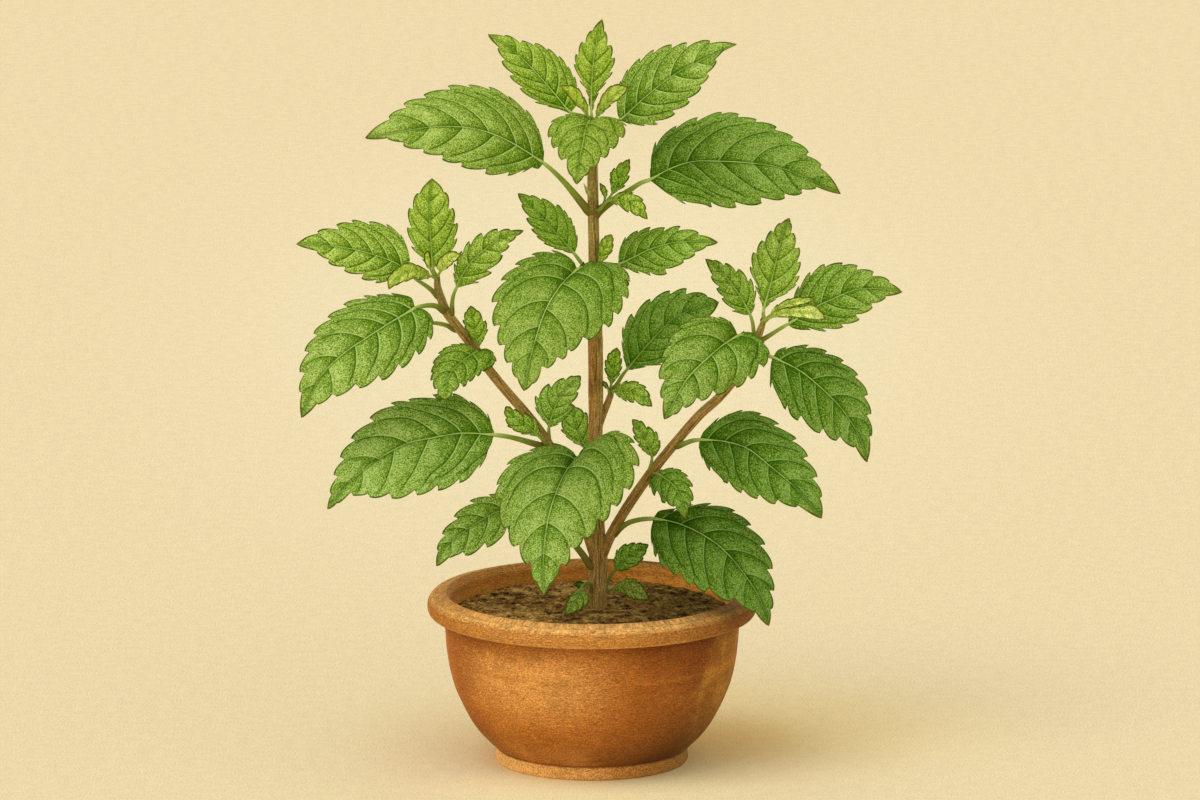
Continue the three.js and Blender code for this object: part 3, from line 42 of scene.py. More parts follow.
# ------------------------------------------------------------------ measurements
# Stems: axis point x, y, z and radius in mm, from the root end to the tip.
STEMS = {
    'main_stem': [[2.52,0,53.49,3.09],[2.32,0,60.26,3.67],[2.13,0,67.03,3.59],[2.52,0,78.96,3.67],[2.13,0,90.88,2.9],[1.74,0,104.77,2.71],[1.55,0,120.62,2.61],[1.44,0,142.37,2.8],[1.29,0,166.05,2.9],[0.98,0,185.75,2.4],[0.71,0,205.4,2.13],[0.4,0,221.1,2.13],[0.25,0,233.65,2.01],[0.18,0,242.65,1.86],[0.18,0.5,249.6,1.26],[0.25,1,251.85,0.58]],
    'left_branch': [[2.32,0,74.19,1.16],[0.77,-1,80.38,1.74],[-1.35,-2,88.15,1.93],[-5.41,-2.6,101.38,1.93],[-11.6,-1.5,115,1.93],[-18.17,0,127.34,1.84],[-26.29,1.2,137.77,1.84],[-31.12,2,143.13,1.84],[-39.42,3,153.19,1.84],[-44.82,3.8,161.32,1.89],[-48.3,4.2,165.77,1.89],[-52.27,4.6,170.82,1.86],[-56.2,5,176.1,1.84],[-58.51,5.5,181.87,1.64],[-59.7,6,186.3,1.35],[-59.77,6.4,189.97,1.06]],
    'right_branch': [[3.1,0,76.57,1.35],[4.65,-1,82.37,1.93],[7.36,-2.4,89.43,2.01],[13.93,-4.2,101.34,1.97],[22.97,-5.8,114.96,1.93],[32.6,-6.8,127.43,1.89],[41.69,-7.4,138.18,1.82],[49.4,-7.6,145.37,1.78],[57.47,-7.8,155.85,1.74],[62.07,-7.8,164.52,1.7],[63.98,-7.8,169.04,1.58],[65.32,-7.9,172.8,1.31],[66.27,-8,175.77,0.97]],
    'middle_shoot': [[1.75,0.8,127.96,0.97],[2.98,1.2,132.62,1.43],[4.45,1.6,136.69,1.39],[6.19,2,141.15,1.35],[7.2,2.3,144.06,1.24],[7.28,2.5,145.59,0.81]],
}

# Leaves, in mm. stalk: axis of the leaf stalk; r: its radii; rib: midrib from the
# base of the blade to the tip; roll, twist: turn of the blade about the midrib in
# degrees; fold: angle of the halves at base and tip; curl: bending of each half;
# up: 1 where the blade is set against +Z; left, right: tooth tips as
# [along the midrib, out]. tone: 0.1 deep green to 1 pale; young: 0 to 1.
LEAVES = [
    dict(name='top_leaf_left', tone=0.45, young=0, stalk=[[-0.36,0.5,252.73],[-3.05,1,253.61],[-5.75,2,254.21],[-8.25,3,254.61]], r=[0.9,0.6], rib=[[-8.25,3,254.61],[-16.15,8,263.47],[-23.48,12,270.95],[-30.82,16,277.27],[-40.1,21,282.24]], roll=40.2, twist=0, fold=[0.12,0.12], curl=0.027, up=0, left=[[2.9,3.4],[6.8,7.2],[10.9,10.7],[19.4,11.5],[25.8,11],[33.1,8.4],[38.6,4.5]], right=[[2.3,5.8],[7.5,11],[12.8,14.4],[17.3,15.8],[22.4,15.7],[27.3,14],[31.4,10.3],[35,6.6],[40.9,3.8]]),
    dict(name='top_leaf_right', tone=0.42, young=0, stalk=[[1.18,-0.5,252.53],[4.25,-0.5,252.33],[7.33,-0.5,252.13],[10.79,-0.5,252.33]], r=[0.9,0.6], rib=[[10.79,-0.5,252.33],[20.37,-5,262.35],[31.85,-9,272.05],[43.31,-12,278.82],[55.52,-15,284.81]], roll=-37.6, twist=0, fold=[0.12,0.12], curl=0.0217, up=0, left=[[1.3,5.2],[3.7,10],[7.7,14.5],[12.1,16.8],[18.5,17.5],[25.1,16.8],[32.3,13.8],[38.2,11],[47.4,6.8]], right=[[4.3,5.9],[9.7,10.9],[15,14],[24.1,15.7],[32.6,15.2],[39.7,12.5],[43.9,9],[48.5,4.5],[51.7,0.1]]),
    dict(name='top_leaf_centre', tone=0.72, young=0.35, stalk=[[0.22,1.5,250.59],[0.02,2.5,252.36],[-0.29,4,254.03]], r=[0.9,0.6], rib=[[-0.29,4,254.03],[-0.21,7.5,261.13],[0.21,11,269.49],[1.25,15,277.73],[3.91,21,288.2]], roll=-8, twist=0, fold=[0.12,0.12], curl=0.0444, up=0, left=[[2.4,0.7],[6.4,1.2],[9.7,2.4],[13.4,5],[19.7,7.6],[23.4,7.3],[28.1,5.7],[33,3.3]], right=[[2.3,0.9],[3.9,1.2],[8.5,3],[12.9,5.8],[17.3,8],[23.5,8.2],[28.6,6],[33.8,2.6]]),
    dict(name='top_leaf_front', tone=0.68, young=0.2, stalk=[[0.22,-2,250.46],[-0.05,-4,252.59],[-0.74,-6.5,253.65]], r=[0.9,0.7], rib=[[-0.74,-6.5,253.65],[-2.31,-11,251.72],[-3.45,-18,246.64],[-5.01,-24,240.65],[-6,-29,232.77]], roll=0, twist=0, fold=[0.5,-0.1], curl=0.0422, up=1, left=[[-0.4,2.3],[0.6,5.4],[0.8,9.3],[1.9,13.8],[3.6,16.6],[9.2,15.2],[14.3,12.3],[19.1,9.8],[24.3,6.3],[28.2,3.4]], right=[[-1.4,3.4],[-0.3,6],[1.4,10],[4.3,14.7],[10,14.4],[15.2,12.2],[21.4,7.8],[28.6,2.6]]),
    dict(name='young_leaf_left', tone=0.95, young=1, stalk=[[-0.36,-3,252.6],[-0.66,-4.2,253.41],[-1.2,-5.5,254.44]], r=[0.7,0.5], rib=[[-1.2,-5.5,254.44],[-4.27,-7,258.5],[-7.64,-8.5,262.99],[-12.47,-9,267.65]], roll=-10, twist=0, fold=[0.45,0.45], curl=0.0368, up=0, left=[[3.8,0.1],[8.7,1.2],[13.7,0.8]], right=[[5.6,3.7],[9.1,4.2],[12.6,4.8],[15.3,3.4]]),
    dict(name='young_leaf_right', tone=0.92, young=1, stalk=[[0.87,-3,252.6],[1.03,-4.2,253.41],[1.41,-5.5,254.44]], r=[0.7,0.5], rib=[[1.41,-5.5,254.44],[5.13,-7.5,259.42],[9.24,-9.5,264.15],[14.14,-10,267.25]], roll=10, twist=0, fold=[0.45,0.45], curl=0.0313, up=0, left=[[3.1,2.1],[6.3,3.3],[11.1,4.5],[14.2,4.5],[16.7,3.1]], right=[[1.9,1],[4.7,1.4],[8.5,1.8],[13.9,2.4],[17.5,1.3]]),
    dict(name='crown_leaf_left', tone=0.45, young=0, stalk=[[-0.37,0,216],[-4.29,-2,220.86],[-10.17,-5,228.61],[-15.34,-7.5,234.3],[-18.79,-9,237.52]], r=[1.65,0.8], rib=[[-18.79,-9,237.52],[-28.36,-12,244.53],[-38.66,-16,250.36],[-48.95,-20,253.45],[-61.91,-24,254.2],[-86.66,-30,251.05]], roll=40.1, twist=0, fold=[0.12,0.12], curl=0.0166, up=0, left=[[1.4,4.5],[3.5,5.5],[7.4,10.6],[14.5,15.9],[28.2,20.3],[41,20],[48.9,17],[55.9,13],[62.6,8],[67.3,3.4]], right=[[1.6,5.1],[6.7,13.4],[12.2,18.8],[18.6,22.2],[25,23.5],[31.3,23.4],[39,21.6],[48.6,17.6],[57.1,13.5],[64.2,8.6]]),
    dict(name='crown_leaf_right', tone=0.28, young=0, stalk=[[1.17,0,215.61],[5.41,-1,219.14],[10.03,-2,222.47],[14.64,-2.5,225.51],[19.26,-2.5,228.56],[22.34,-2,229.33]], r=[1.65,0.8], rib=[[22.34,-2,229.33],[29.65,0,233.25],[38.53,3,235.62],[48.95,6,235.24],[61.73,10,233.7],[73.35,13,231.16],[96.28,18,219.97]], roll=-34.4, twist=0, fold=[0.12,0.12], curl=0.0155, up=0, left=[[2.9,4.5],[6.6,10.1],[10.1,14.5],[18.1,18.7],[24.3,21.5],[34.9,25],[40.6,23.9],[46.7,22],[52.5,18.8],[57.8,15.8],[64.1,11.5],[70.3,8.4]], right=[[0.6,3],[1.6,7.5],[3.1,12.7],[6,18.2],[22.6,21.8],[33.2,21.3],[45.1,18.6],[58,13.6],[65,8.3],[70.3,3.1]]),
    dict(name='crown_axil_leaf_up', tone=0.4, young=0, stalk=[[2.33,-2.2,217.22],[4.83,-3.2,220.35],[7.49,-4.2,223.68]], r=[0.8,0.6], rib=[[7.49,-4.2,223.68],[9.83,-4.6,229.05],[11.75,-5,233.43],[14.55,-5,238.2]], roll=-12, twist=0, fold=[0.12,0.12], curl=0.0924, up=0, left=[[2.8,1.7],[5.8,3.5],[8.3,4.2],[10.3,3.5],[13.5,2.1]], right=[[2.6,1.6],[6.2,3.5],[10.5,3.4],[14.2,1.6]]),
    dict(name='crown_axil_leaf_tiny', tone=0.4, young=0, stalk=[[2.91,1.2,217.34],[4.26,1,219.14],[5.14,0.6,221.14]], r=[0.6,0.45], rib=[[5.14,0.6,221.14],[4.18,0.2,224.4],[3.02,-0.5,227.94]], roll=0, twist=0, fold=[0.12,0.12], curl=0.1, up=0, left=[[2.8,0.7],[5.2,0.7]], right=[[1.9,1.5],[3.7,1.9],[5.8,1.2]]),
    dict(name='crown_axil_leaf_low', tone=0.55, young=0, stalk=[[2.91,-4.5,217.86],[4.64,-5.8,220.47],[6.71,-7.5,222.72]], r=[0.7,0.55], rib=[[6.71,-7.5,222.72],[10.02,-9,223.16],[13.85,-11,222.46],[17.31,-12.5,220.48],[21.41,-14,216.2]], roll=12, twist=0, fold=[0.12,0.12], curl=0.0869, up=0, left=[[2.2,1.5],[4.8,3.2],[8.7,4.3],[12.6,3.9],[15.2,2.2]], right=[[1.2,1.6],[3.5,2.6],[10.4,3.7],[15.1,2.1]]),
    dict(name='upper_leaf_left', tone=0.4, young=0, stalk=[[0.02,0.5,193.12],[-2.3,1,194.4],[-3.88,1.5,195.79],[-6.93,3,199.7]], r=[1,0.65], rib=[[-6.93,3,199.7],[-11.56,5,204.61],[-16.2,7.5,209.43],[-22,11,215.23],[-28.58,15,220.94]], roll=36.2, twist=0, fold=[0.12,0.12], curl=0.0382, up=0, left=[[1.5,2.1],[3.1,3.5],[6.3,6],[10,7.8],[13.8,8],[17.2,7.7],[22.1,6],[27.8,3.3]], right=[[1.7,3.7],[5.4,7.3],[9.5,9.4],[13.3,10.9],[17.2,11],[20.6,10.2],[25.5,6.3],[28.9,3.5]]),
    dict(name='upper_leaf_right', tone=0.42, young=0, stalk=[[1.56,-0.5,193.32],[4.26,-1,194.8],[6.95,-1.2,195.5],[10.23,-1.5,196.08]], r=[1,0.65], rib=[[10.23,-1.5,196.08],[15.43,-3,198.93],[21.39,-5,202.47],[27.33,-8,205.03],[33.47,-11,206.99],[48.39,-17,207.99]], roll=-36.1, twist=0, fold=[0.12,0.12], curl=0.0286, up=0, left=[[1.4,4.2],[2.7,7.9],[5.3,10.7],[10.9,10.9],[14.9,10],[20.8,8.1],[27.2,7.2],[34.9,4.3]], right=[[1.7,2.4],[3.9,4.8],[7.8,8.4],[13.8,11.9],[22.8,13.4],[32.2,10.4],[36.1,6.7],[39.7,3.2]]),
    dict(name='upper_axil_leaf', tone=0.55, young=0.3, stalk=[[1.56,-2.6,194.33],[2.06,-3,195.79],[2.64,-3.4,197.24]], r=[0.7,0.5], rib=[[2.64,-3.4,197.24],[4.26,-4,201.68],[5.79,-4.4,205.1],[7.53,-4.6,208.55]], roll=0, twist=0, fold=[0.12,0.12], curl=0.1173, up=0, left=[[1.9,1.2],[4.4,2.2],[6.9,2.7],[9.5,2.4],[11.2,1.6]], right=[[1,1.4],[3.7,2.7],[7,3.3],[9.5,2.4],[11.5,1.4]]),
    dict(name='upper_leaf_front', tone=0.58, young=0, stalk=[[1.17,-2,192.84],[-0.17,-5,194.42],[-2.67,-8,195.89],[-5.75,-11,196.02]], r=[1.3,0.9], rib=[[-5.75,-11,196.02],[-11.1,-22,193.14],[-17.55,-38,186.03],[-21.7,-50,176.01],[-24.34,-57,166.96],[-25.85,-62,159.05]], roll=-24, twist=0, fold=[0.6,-0.2], curl=0.02, up=1, left=[[-6.9,0.1],[-6.4,5.2],[-7.5,9.4],[-7.2,14.3],[1.4,23.5],[8.2,26.2],[16.4,25.7],[23.6,24.9],[35.4,20.3],[44.7,15.4],[50.3,12.8],[56.8,7.9],[64.9,3.6]], right=[[-0.9,4.6],[0.9,8.6],[4,12.1],[10.3,16.7],[17.2,19.5],[24.8,21.4],[34.4,21.1],[43.7,17.6],[51.9,13.3],[58.4,8.8],[63.9,4.2]]),
    dict(name='upper_leaf_back', tone=0.35, young=0, stalk=[[1.17,2,191.64],[1.94,6,191.62],[2.33,12,191.01],[2.33,18,189.8]], r=[1.2,0.8], rib=[[2.33,18,189.8],[1.55,30,186.01],[-0.8,44,180.41],[-3.93,56,174.01],[-7.08,66,167.19]], roll=0, twist=0, fold=[0.2,-0.1], curl=0.0323, up=1, left=[[3,5],[8.3,10.5],[13.7,13.3],[19.1,14.6],[24.5,14.6],[29.9,13.6],[35.2,11.8],[40.6,9.2],[46,6],[51.4,1.8]], right=[[1.9,3],[7.3,9.7],[12.7,12.9],[18,14.4],[23.4,14.7],[28.8,13.9],[34.2,12.2],[39.5,9.8],[44.9,6.7],[50.3,2.8]]),
    dict(name='shoot_leaf_back', tone=0.2, young=0, stalk=[[7.55,4,145.08],[9.83,6,147.5],[11.58,8,150.21],[13.55,10,152.32]], r=[1,0.65], rib=[[13.55,10,152.32],[17.04,11.5,156.35],[22.46,13.5,162.47],[32.92,16,172.23],[49.21,19,177.15]], roll=-15, twist=0, fold=[0.12,0.12], curl=0.0267, up=0, left=[[3.7,5.3],[7.8,9.2],[12,12.6],[17.8,13.5],[25.2,12.5],[30.7,10.6],[35.7,8.9],[42.2,4]], right=[[1.6,2.2],[5.6,5.6],[10.3,9.9],[16.2,12.2],[24.1,13],[35.6,10.5],[41,5.4]]),
    dict(name='shoot_leaf_up', tone=0.36, young=0, stalk=[[7.28,3,144.9],[7.31,3,146.08],[7.35,2.8,147.27]], r=[0.8,0.55], rib=[[7.35,2.8,147.27],[7.93,2.2,152.97],[8.7,1.6,157.83],[9.59,1,162.89]], roll=8, twist=0, fold=[0.12,0.12], curl=0.1001, up=0, left=[[3.8,2.1],[7.1,3.5],[10.4,3.6],[13.4,2.6]], right=[[2.6,1.7],[5.6,3.2],[8.6,3.5],[11.9,2.7],[14.7,1.5]]),
    dict(name='shoot_leaf_tiny', tone=0.4, young=0, stalk=[[6.89,0.8,144.97],[6.73,0,145.61],[6.35,-1,146.61]], r=[0.55,0.4], rib=[[6.35,-1,146.61],[5.03,-2.5,148.82],[3.95,-4,150.88]], roll=0, twist=0, fold=[0.12,0.12], curl=0.1, up=0, left=[[1.9,0.8],[3.9,0.7]], right=[[1.4,1],[4.2,1]]),
    dict(name='shoot_leaf_low', tone=0.42, young=0, stalk=[[7.66,0.8,145.16],[7.81,-0.8,145.94],[8.31,-2.5,146.77]], r=[0.7,0.55], rib=[[8.31,-2.5,146.77],[11.21,-5,147.65],[15.25,-8.5,147.65],[20.14,-12,145.35],[23.21,-14.5,142.89]], roll=14, twist=0, fold=[0.12,0.12], curl=0.0759, up=0, left=[[2.2,1.3],[4.2,2.4],[7.3,3.9],[11.1,4.5],[14.2,4.2],[17.2,2.4]], right=[[0.8,1.9],[2.2,3.6],[6.9,4.8],[12.5,3.8],[17.7,2.2]]),
    dict(name='left_tip_leaf_top', tone=0.66, young=0.3, stalk=[[-60.12,6.5,189.35],[-60.83,7.5,190.73],[-61.53,8.6,192.48]], r=[0.9,0.6], rib=[[-61.53,8.6,192.48],[-62.35,11.5,203.52],[-62.59,15,216.46],[-61.83,18,226.19]], roll=6, twist=0, fold=[0.12,0.12], curl=0.0352, up=0, left=[[1.7,2.3],[4.1,4],[9.3,7.9],[16.4,9.1],[23.5,8.2],[28.9,5.3]], right=[[1.4,2.2],[3.5,4.3],[6.6,8.7],[11.5,10.6],[17.7,10.9],[23.9,9.2],[30.3,6]]),
    dict(name='left_tip_leaf_left', tone=0.48, young=0, stalk=[[-59.25,6,181.38],[-61.43,5,184.26],[-64.61,4,186.98],[-68.02,3,189.51],[-70.59,2.4,192.15]], r=[1,0.65], rib=[[-70.59,2.4,192.15],[-74.84,1.5,195.67],[-85.91,-1.5,200.59],[-96.04,-4.5,203.55],[-104.62,-7.5,204.93],[-113.76,-11,206.01]], roll=30.7, twist=0, fold=[0.12,0.12], curl=0.026, up=0, left=[[1.7,4.2],[6.1,8.5],[13.7,11.8],[20.3,12],[28.7,10.5],[36.1,8],[40.2,3.9]], right=[[2.3,3.5],[4.1,6.8],[5.4,9.2],[7.5,13.2],[12.7,15.7],[19.1,14.6],[25.5,13.1],[31,10],[38.8,6.1]]),
    dict(name='left_tip_leaf_right', tone=0.42, young=0, stalk=[[-54.27,4.5,174.59],[-54.01,4,180.17],[-53.26,3.4,183.88],[-52.25,3,185.93]], r=[1,0.65], rib=[[-52.25,3,185.93],[-50.05,1.5,191.35],[-46.04,-1,197.59],[-39.36,-4.5,204.02],[-32.71,-8,208.79],[-26.22,-11,211.22]], roll=8, twist=0, fold=[0.12,0.12], curl=0.0454, up=0, left=[[2.9,2.2],[5.7,3.6],[8.9,5.1],[14.2,5.9],[18.6,6.5],[24.8,6],[30.8,4.1],[35,2]], right=[[1.4,1.8],[3.7,4.6],[6.6,7.3],[15.5,9],[25.8,6.4],[31.5,4.3],[36.3,2]]),
    dict(name='left_tip_young_left', tone=0.9, young=1, stalk=[[-60.12,3.6,189.55],[-60.95,2.4,190.14],[-62.08,1,190.89]], r=[0.7,0.5], rib=[[-62.08,1,190.89],[-64.51,-1.5,193.09],[-69.34,-5,194.5],[-74.22,-8.5,192.49],[-78.23,-11,188.21]], roll=0, twist=0, fold=[0.2,0.2], curl=0.0832, up=0, left=[[0.9,1.9],[6.6,3.6],[16,3.1],[20.3,1.4]], right=[[3.3,1.3],[8.3,2.2],[11.2,3.5],[14.2,3.6],[17.5,3.4],[20.7,2.9]]),
    dict(name='left_tip_young_up', tone=0.9, young=1, stalk=[[-60.44,4.6,189.93],[-61.28,4.2,190.96],[-62.12,3.9,192.2]], r=[0.6,0.45], rib=[[-62.12,3.9,192.2],[-63.02,3.2,196.51],[-63.54,2.2,200.88]], roll=0, twist=0, fold=[0.25,0.25], curl=0.05, up=0, left=[[2.8,1.5],[6.1,1.8],[8.1,1.2]], right=[[3.1,0.9],[6.1,1.1],[8.1,0.8]]),
    dict(name='left_tip_young_right', tone=0.95, young=1, stalk=[[-59.41,3,190.45],[-59.16,1.6,191.56],[-58.59,0,192.87]], r=[0.65,0.5], rib=[[-58.59,0,192.87],[-55.85,-2.2,197],[-52.93,-4.2,199.76],[-49.86,-6,200.86]], roll=10, twist=0, fold=[0.3,0.3], curl=0.0356, up=0, left=[[1.2,2.1],[2.8,3.2],[6.4,3.7],[10,3],[11.9,1.5]], right=[[1.5,1],[4,1.8],[7.4,2.1],[11.3,1.6]]),
    dict(name='left_big_leaf', tone=0.42, young=0, stalk=[[-57.14,3.6,176.55],[-59.64,0.5,179.15],[-62.55,-3.5,180.44],[-65.65,-7.5,180.86],[-68.11,-10.5,180.8]], r=[1.2,0.8], rib=[[-68.11,-10.5,180.8],[-77.24,-17,176.64],[-86.75,-23,171.6],[-95.69,-28,166.36],[-103.88,-32,158.58],[-111.48,-38,143.4]], roll=24.3, twist=0, fold=[0.12,0.12], curl=0.019, up=0, left=[[-2,2.4],[-2.9,5.6],[-1.3,10.1],[4.1,15.1],[12.4,18],[21.6,19],[30.9,18.7],[41.5,15.9],[53.2,10.5],[58.9,5]], right=[[-1.5,4.4],[0.4,7.6],[3.7,10.4],[8.7,13.4],[13,16],[21.4,18.1],[30.3,16.9],[37.8,15.2],[44.2,12.2],[50.2,8.7],[56.7,5]]),
    dict(name='left_big_leaf_back', tone=0.3, young=0, stalk=[[-52.56,5.5,168.46],[-55.69,6,170.41],[-58.82,6.6,171.16],[-61.66,7.6,171.23],[-64.97,9,170.7]], r=[1,0.7], rib=[[-64.97,9,170.7],[-72.82,15,165.71],[-81.1,21,158.93],[-94.15,30,147.13]], roll=0, twist=0, fold=[0.12,0.12], curl=0.0364, up=1, left=[[2.5,3.8],[7.3,7.9],[12.1,9.8],[16.8,10.5],[21.6,10.1],[26.3,8.9],[31.1,7.1],[35.9,4.6],[40.6,1.4]], right=[[1.6,2.3],[6.3,7.3],[11.1,9.5],[15.9,10.4],[20.6,10.2],[25.4,9.2],[30.2,7.5],[34.9,5.1],[39.7,2.1]]),
    dict(name='left_small_leaf_front', tone=0.4, young=0, stalk=[[-42.87,1.5,161.01],[-43.43,0,161.71],[-44.57,-2.2,162.05]], r=[0.8,0.6], rib=[[-44.57,-2.2,162.05],[-49.34,-7,159.78],[-53.53,-12,156.81],[-55.75,-16,153.88],[-56.5,-22,146.85]], roll=-8, twist=0, fold=[0.5,-0.1], curl=0.0574, up=0, left=[[-2.2,0.1],[-4.7,1.6],[-5.6,4.7],[-4.2,7.8],[-0.2,8.4],[2.5,8.3],[5.8,8.7],[11,8.4],[15.9,7.9],[24.4,3.9],[27.5,1.8]], right=[[1.6,2.7],[3.1,4.8],[5.7,6.5],[8.4,7.9],[11.4,8.6],[13.3,8.6],[16.9,7.9],[19.2,6.8],[21.3,6.2],[24.4,4.2],[27.7,2.4]]),
    dict(name='left_small_leaf_up', tone=0.42, young=0, stalk=[[-42.7,4.2,160.25],[-43.09,4,160.88],[-44.05,3.6,162.07]], r=[0.8,0.6], rib=[[-44.05,3.6,162.07],[-45.25,2.2,169.54],[-46.08,1.2,174.87],[-46.83,0.4,179.52]], roll=6, twist=0, fold=[0.12,0.12], curl=0.076, up=0, left=[[2.7,1.3],[6.7,2.9],[10.2,3.9],[12.9,4],[16,2.4]], right=[[1.3,1.4],[3.9,3.4],[6.9,5.3],[10.8,4.8],[15.6,2.5]]),
    dict(name='left_lower_leaf', tone=0.34, young=0, stalk=[[-17.99,1,123.96],[-21.96,-1,125.19],[-27.12,-3.5,127.31],[-32.28,-6,129.15],[-37.81,-8.5,130.44]], r=[1.3,0.85], rib=[[-37.81,-8.5,130.44],[-50.11,-13,132.13],[-61.99,-18,131.23],[-70.8,-21.5,130.02],[-82.28,-26,124.7],[-92.61,-30,116.92],[-101.79,-34,106.78]], roll=29.4, twist=0, fold=[0.12,0.12], curl=0.0162, up=0, left=[[1.8,3.9],[3.3,7.1],[8,15.6],[22.1,21.8],[30.5,22.9],[45.7,22.4],[56.1,17.8],[62.9,11.5],[66.9,5.5],[73,2.5]], right=[[0.8,4.5],[2.1,9.2],[8.6,14.3],[13.3,18.3],[18.9,19.2],[29.4,19.2],[34.6,19.8],[42.5,17.9],[51.9,14.8],[59.2,11.1],[65.3,7.4],[71.4,3.5]]),
    dict(name='left_axil_leaf_left', tone=0.38, young=0, stalk=[[-17.58,-2.2,125.45],[-18.62,-3.4,126.81],[-20.08,-4.6,128.5]], r=[0.8,0.6], rib=[[-20.08,-4.6,128.5],[-24,-6.6,132.72],[-27.08,-8,135.43],[-31.73,-9.4,139.4],[-33.34,-10,141.93]], roll=0, twist=0, fold=[0.12,0.12], curl=0.0766, up=0, left=[[2.7,1.4],[4,2.1],[7.7,4.1],[11.8,4.6],[14.3,4.6],[16.3,3],[18.6,1.4]], right=[[1.6,2],[3,2.4],[5.1,3.6],[7.6,4.5],[11.9,3.4],[16.5,2.4],[19.2,1.2]]),
    dict(name='left_axil_leaf_up', tone=0.4, young=0, stalk=[[-16.4,0.5,124.07],[-16.55,0,126.95],[-16.7,-0.6,129.45],[-16.77,-1.2,131.76]], r=[0.9,0.65], rib=[[-16.77,-1.2,131.76],[-14.51,-3.5,139.8],[-11.76,-5.5,146.02],[-4.38,-9,153.82]], roll=8, twist=0, fold=[0.12,0.12], curl=0.0446, up=0, left=[[2.1,2],[3.4,3.9],[7.1,7.5],[11.2,8.7],[16.4,6.4],[21.5,3.8],[24.9,2.1]], right=[[0.8,1.3],[2.5,3.5],[7,6.2],[13,7],[21.5,4.6],[25.1,2.2]]),
    dict(name='axil_leaf_behind', tone=0.22, young=0, stalk=[[0.39,2.8,118.42],[-0.77,4.2,119.7],[-2.09,5.6,121.38]], r=[0.8,0.6], rib=[[-2.09,5.6,121.38],[-4.26,8,125.62],[-6.2,10.5,131.02],[-8.15,14,138.2]], roll=0, twist=0, fold=[0.12,0.12], curl=0.0586, up=0, left=[[2.6,1.6],[5.2,3.8],[8.3,5.5],[11.1,6.5],[14.8,4.6],[18,2.8]], right=[[1.6,2.1],[5.2,4.5],[10.4,5.5],[15.1,4.9],[17.7,1.9]]),
    dict(name='lower_leaf_front', tone=0.6, young=0, stalk=[[0.78,-2.5,117.99],[-0.38,-5,119.92],[-3.08,-8.5,121.67],[-5.77,-12,122.04]], r=[1.4,0.95], rib=[[-5.77,-12,122.04],[-9.23,-20,119.84],[-12.66,-31,115.56],[-16.45,-44,106.65],[-18.33,-54,96.14],[-18.69,-61,86.94],[-18.29,-66,79.86]], roll=0, twist=0, fold=[0.9,-0.2], curl=0.0212, up=1, left=[[0.1,4.4],[0.4,9.6],[-1.6,12.1],[-0.7,16.9],[1.4,25.1],[6,31.1],[14,32],[22.2,29.3],[29.4,25.6],[36.7,21.9],[45.6,16.8],[50.8,12.7],[58.9,9.4],[67.2,3.5]], right=[[-0.6,4.4],[1.2,7.9],[3.6,11.2],[10.1,16.9],[17,22.7],[24.4,24.8],[30.5,23.9],[42.6,18.2],[51,12.8],[58.7,7.2],[66.3,3.6]]),
    dict(name='lower_leaf_back', tone=0.33, young=0, stalk=[[1.55,2.6,114.9],[2.32,7,114.73],[2.71,13,114.21],[2.71,19,113.3]], r=[1.3,0.85], rib=[[2.71,19,113.3],[2.32,31,109.48],[0.75,45,103.62],[-1.61,57,96.57],[-3.98,67,88.73]], roll=0, twist=0, fold=[0.2,-0.1], curl=0.0312, up=1, left=[[3,5.1],[8.4,10.8],[13.9,13.8],[19.3,15.1],[24.7,15.1],[30.2,14],[35.6,12.2],[41,9.5],[46.5,6.2],[51.9,1.8]], right=[[1.9,3.1],[7.3,10],[12.8,13.3],[18.2,14.9],[23.7,15.2],[29.1,14.3],[34.5,12.6],[40,10.1],[45.4,6.9],[50.8,2.9]]),
    dict(name='low_leaf_left', tone=0.3, young=0, stalk=[[0,-2,76.43],[-3.48,-3,81.63],[-7.74,-3,86.79],[-13.94,-2,92.12],[-21.68,-1,96.66],[-29.43,0,100.01]], r=[1.4,0.65], rib=[[-29.43,0,100.01],[-37.39,-2,98.35],[-43.14,-4.5,95.62],[-50.51,-7.5,91.37],[-56.9,-10.5,86.46],[-60.24,-14,79.68]], roll=33.5, twist=0, fold=[0.12,0.12], curl=0.0303, up=0, left=[[1.5,5.1],[3.6,8.7],[6.9,10.5],[20.3,12.2],[30.1,9.6],[36.9,5.1]], right=[[0.7,4.4],[4.2,7.7],[7.6,9],[13.2,10.8],[22.2,8.7],[29.9,5.2],[35.1,2.5]]),
    dict(name='low_leaf_right', tone=0.16, young=0, stalk=[[8.13,-2.5,89.06],[10.45,-4,91.97],[13.93,-5.5,94.89],[18.57,-7,96.61],[23.97,-9,97.45]], r=[1.2,0.85], rib=[[23.97,-9,97.45],[30.14,-12,97.13],[37.07,-16,95.66],[49.15,-24,89.95],[59.68,-32,79.33],[65.41,-37,70.41],[68.07,-41,62.26]], roll=-29.3, twist=-4, fold=[0.12,0.12], curl=0.0182, up=0, left=[[0.8,3],[4.1,4.5],[6.9,6],[11.9,10],[16.4,14.4],[24.6,17.2],[31.4,17.2],[39.7,16],[49.1,12.1],[56.6,7.3],[62.5,3.6]], right=[[1,6.3],[3.4,12.2],[9.1,17.2],[18.3,20.9],[27.7,21.5],[38.1,21.5],[45.2,19],[54.1,13.1],[62.9,5.8]]),
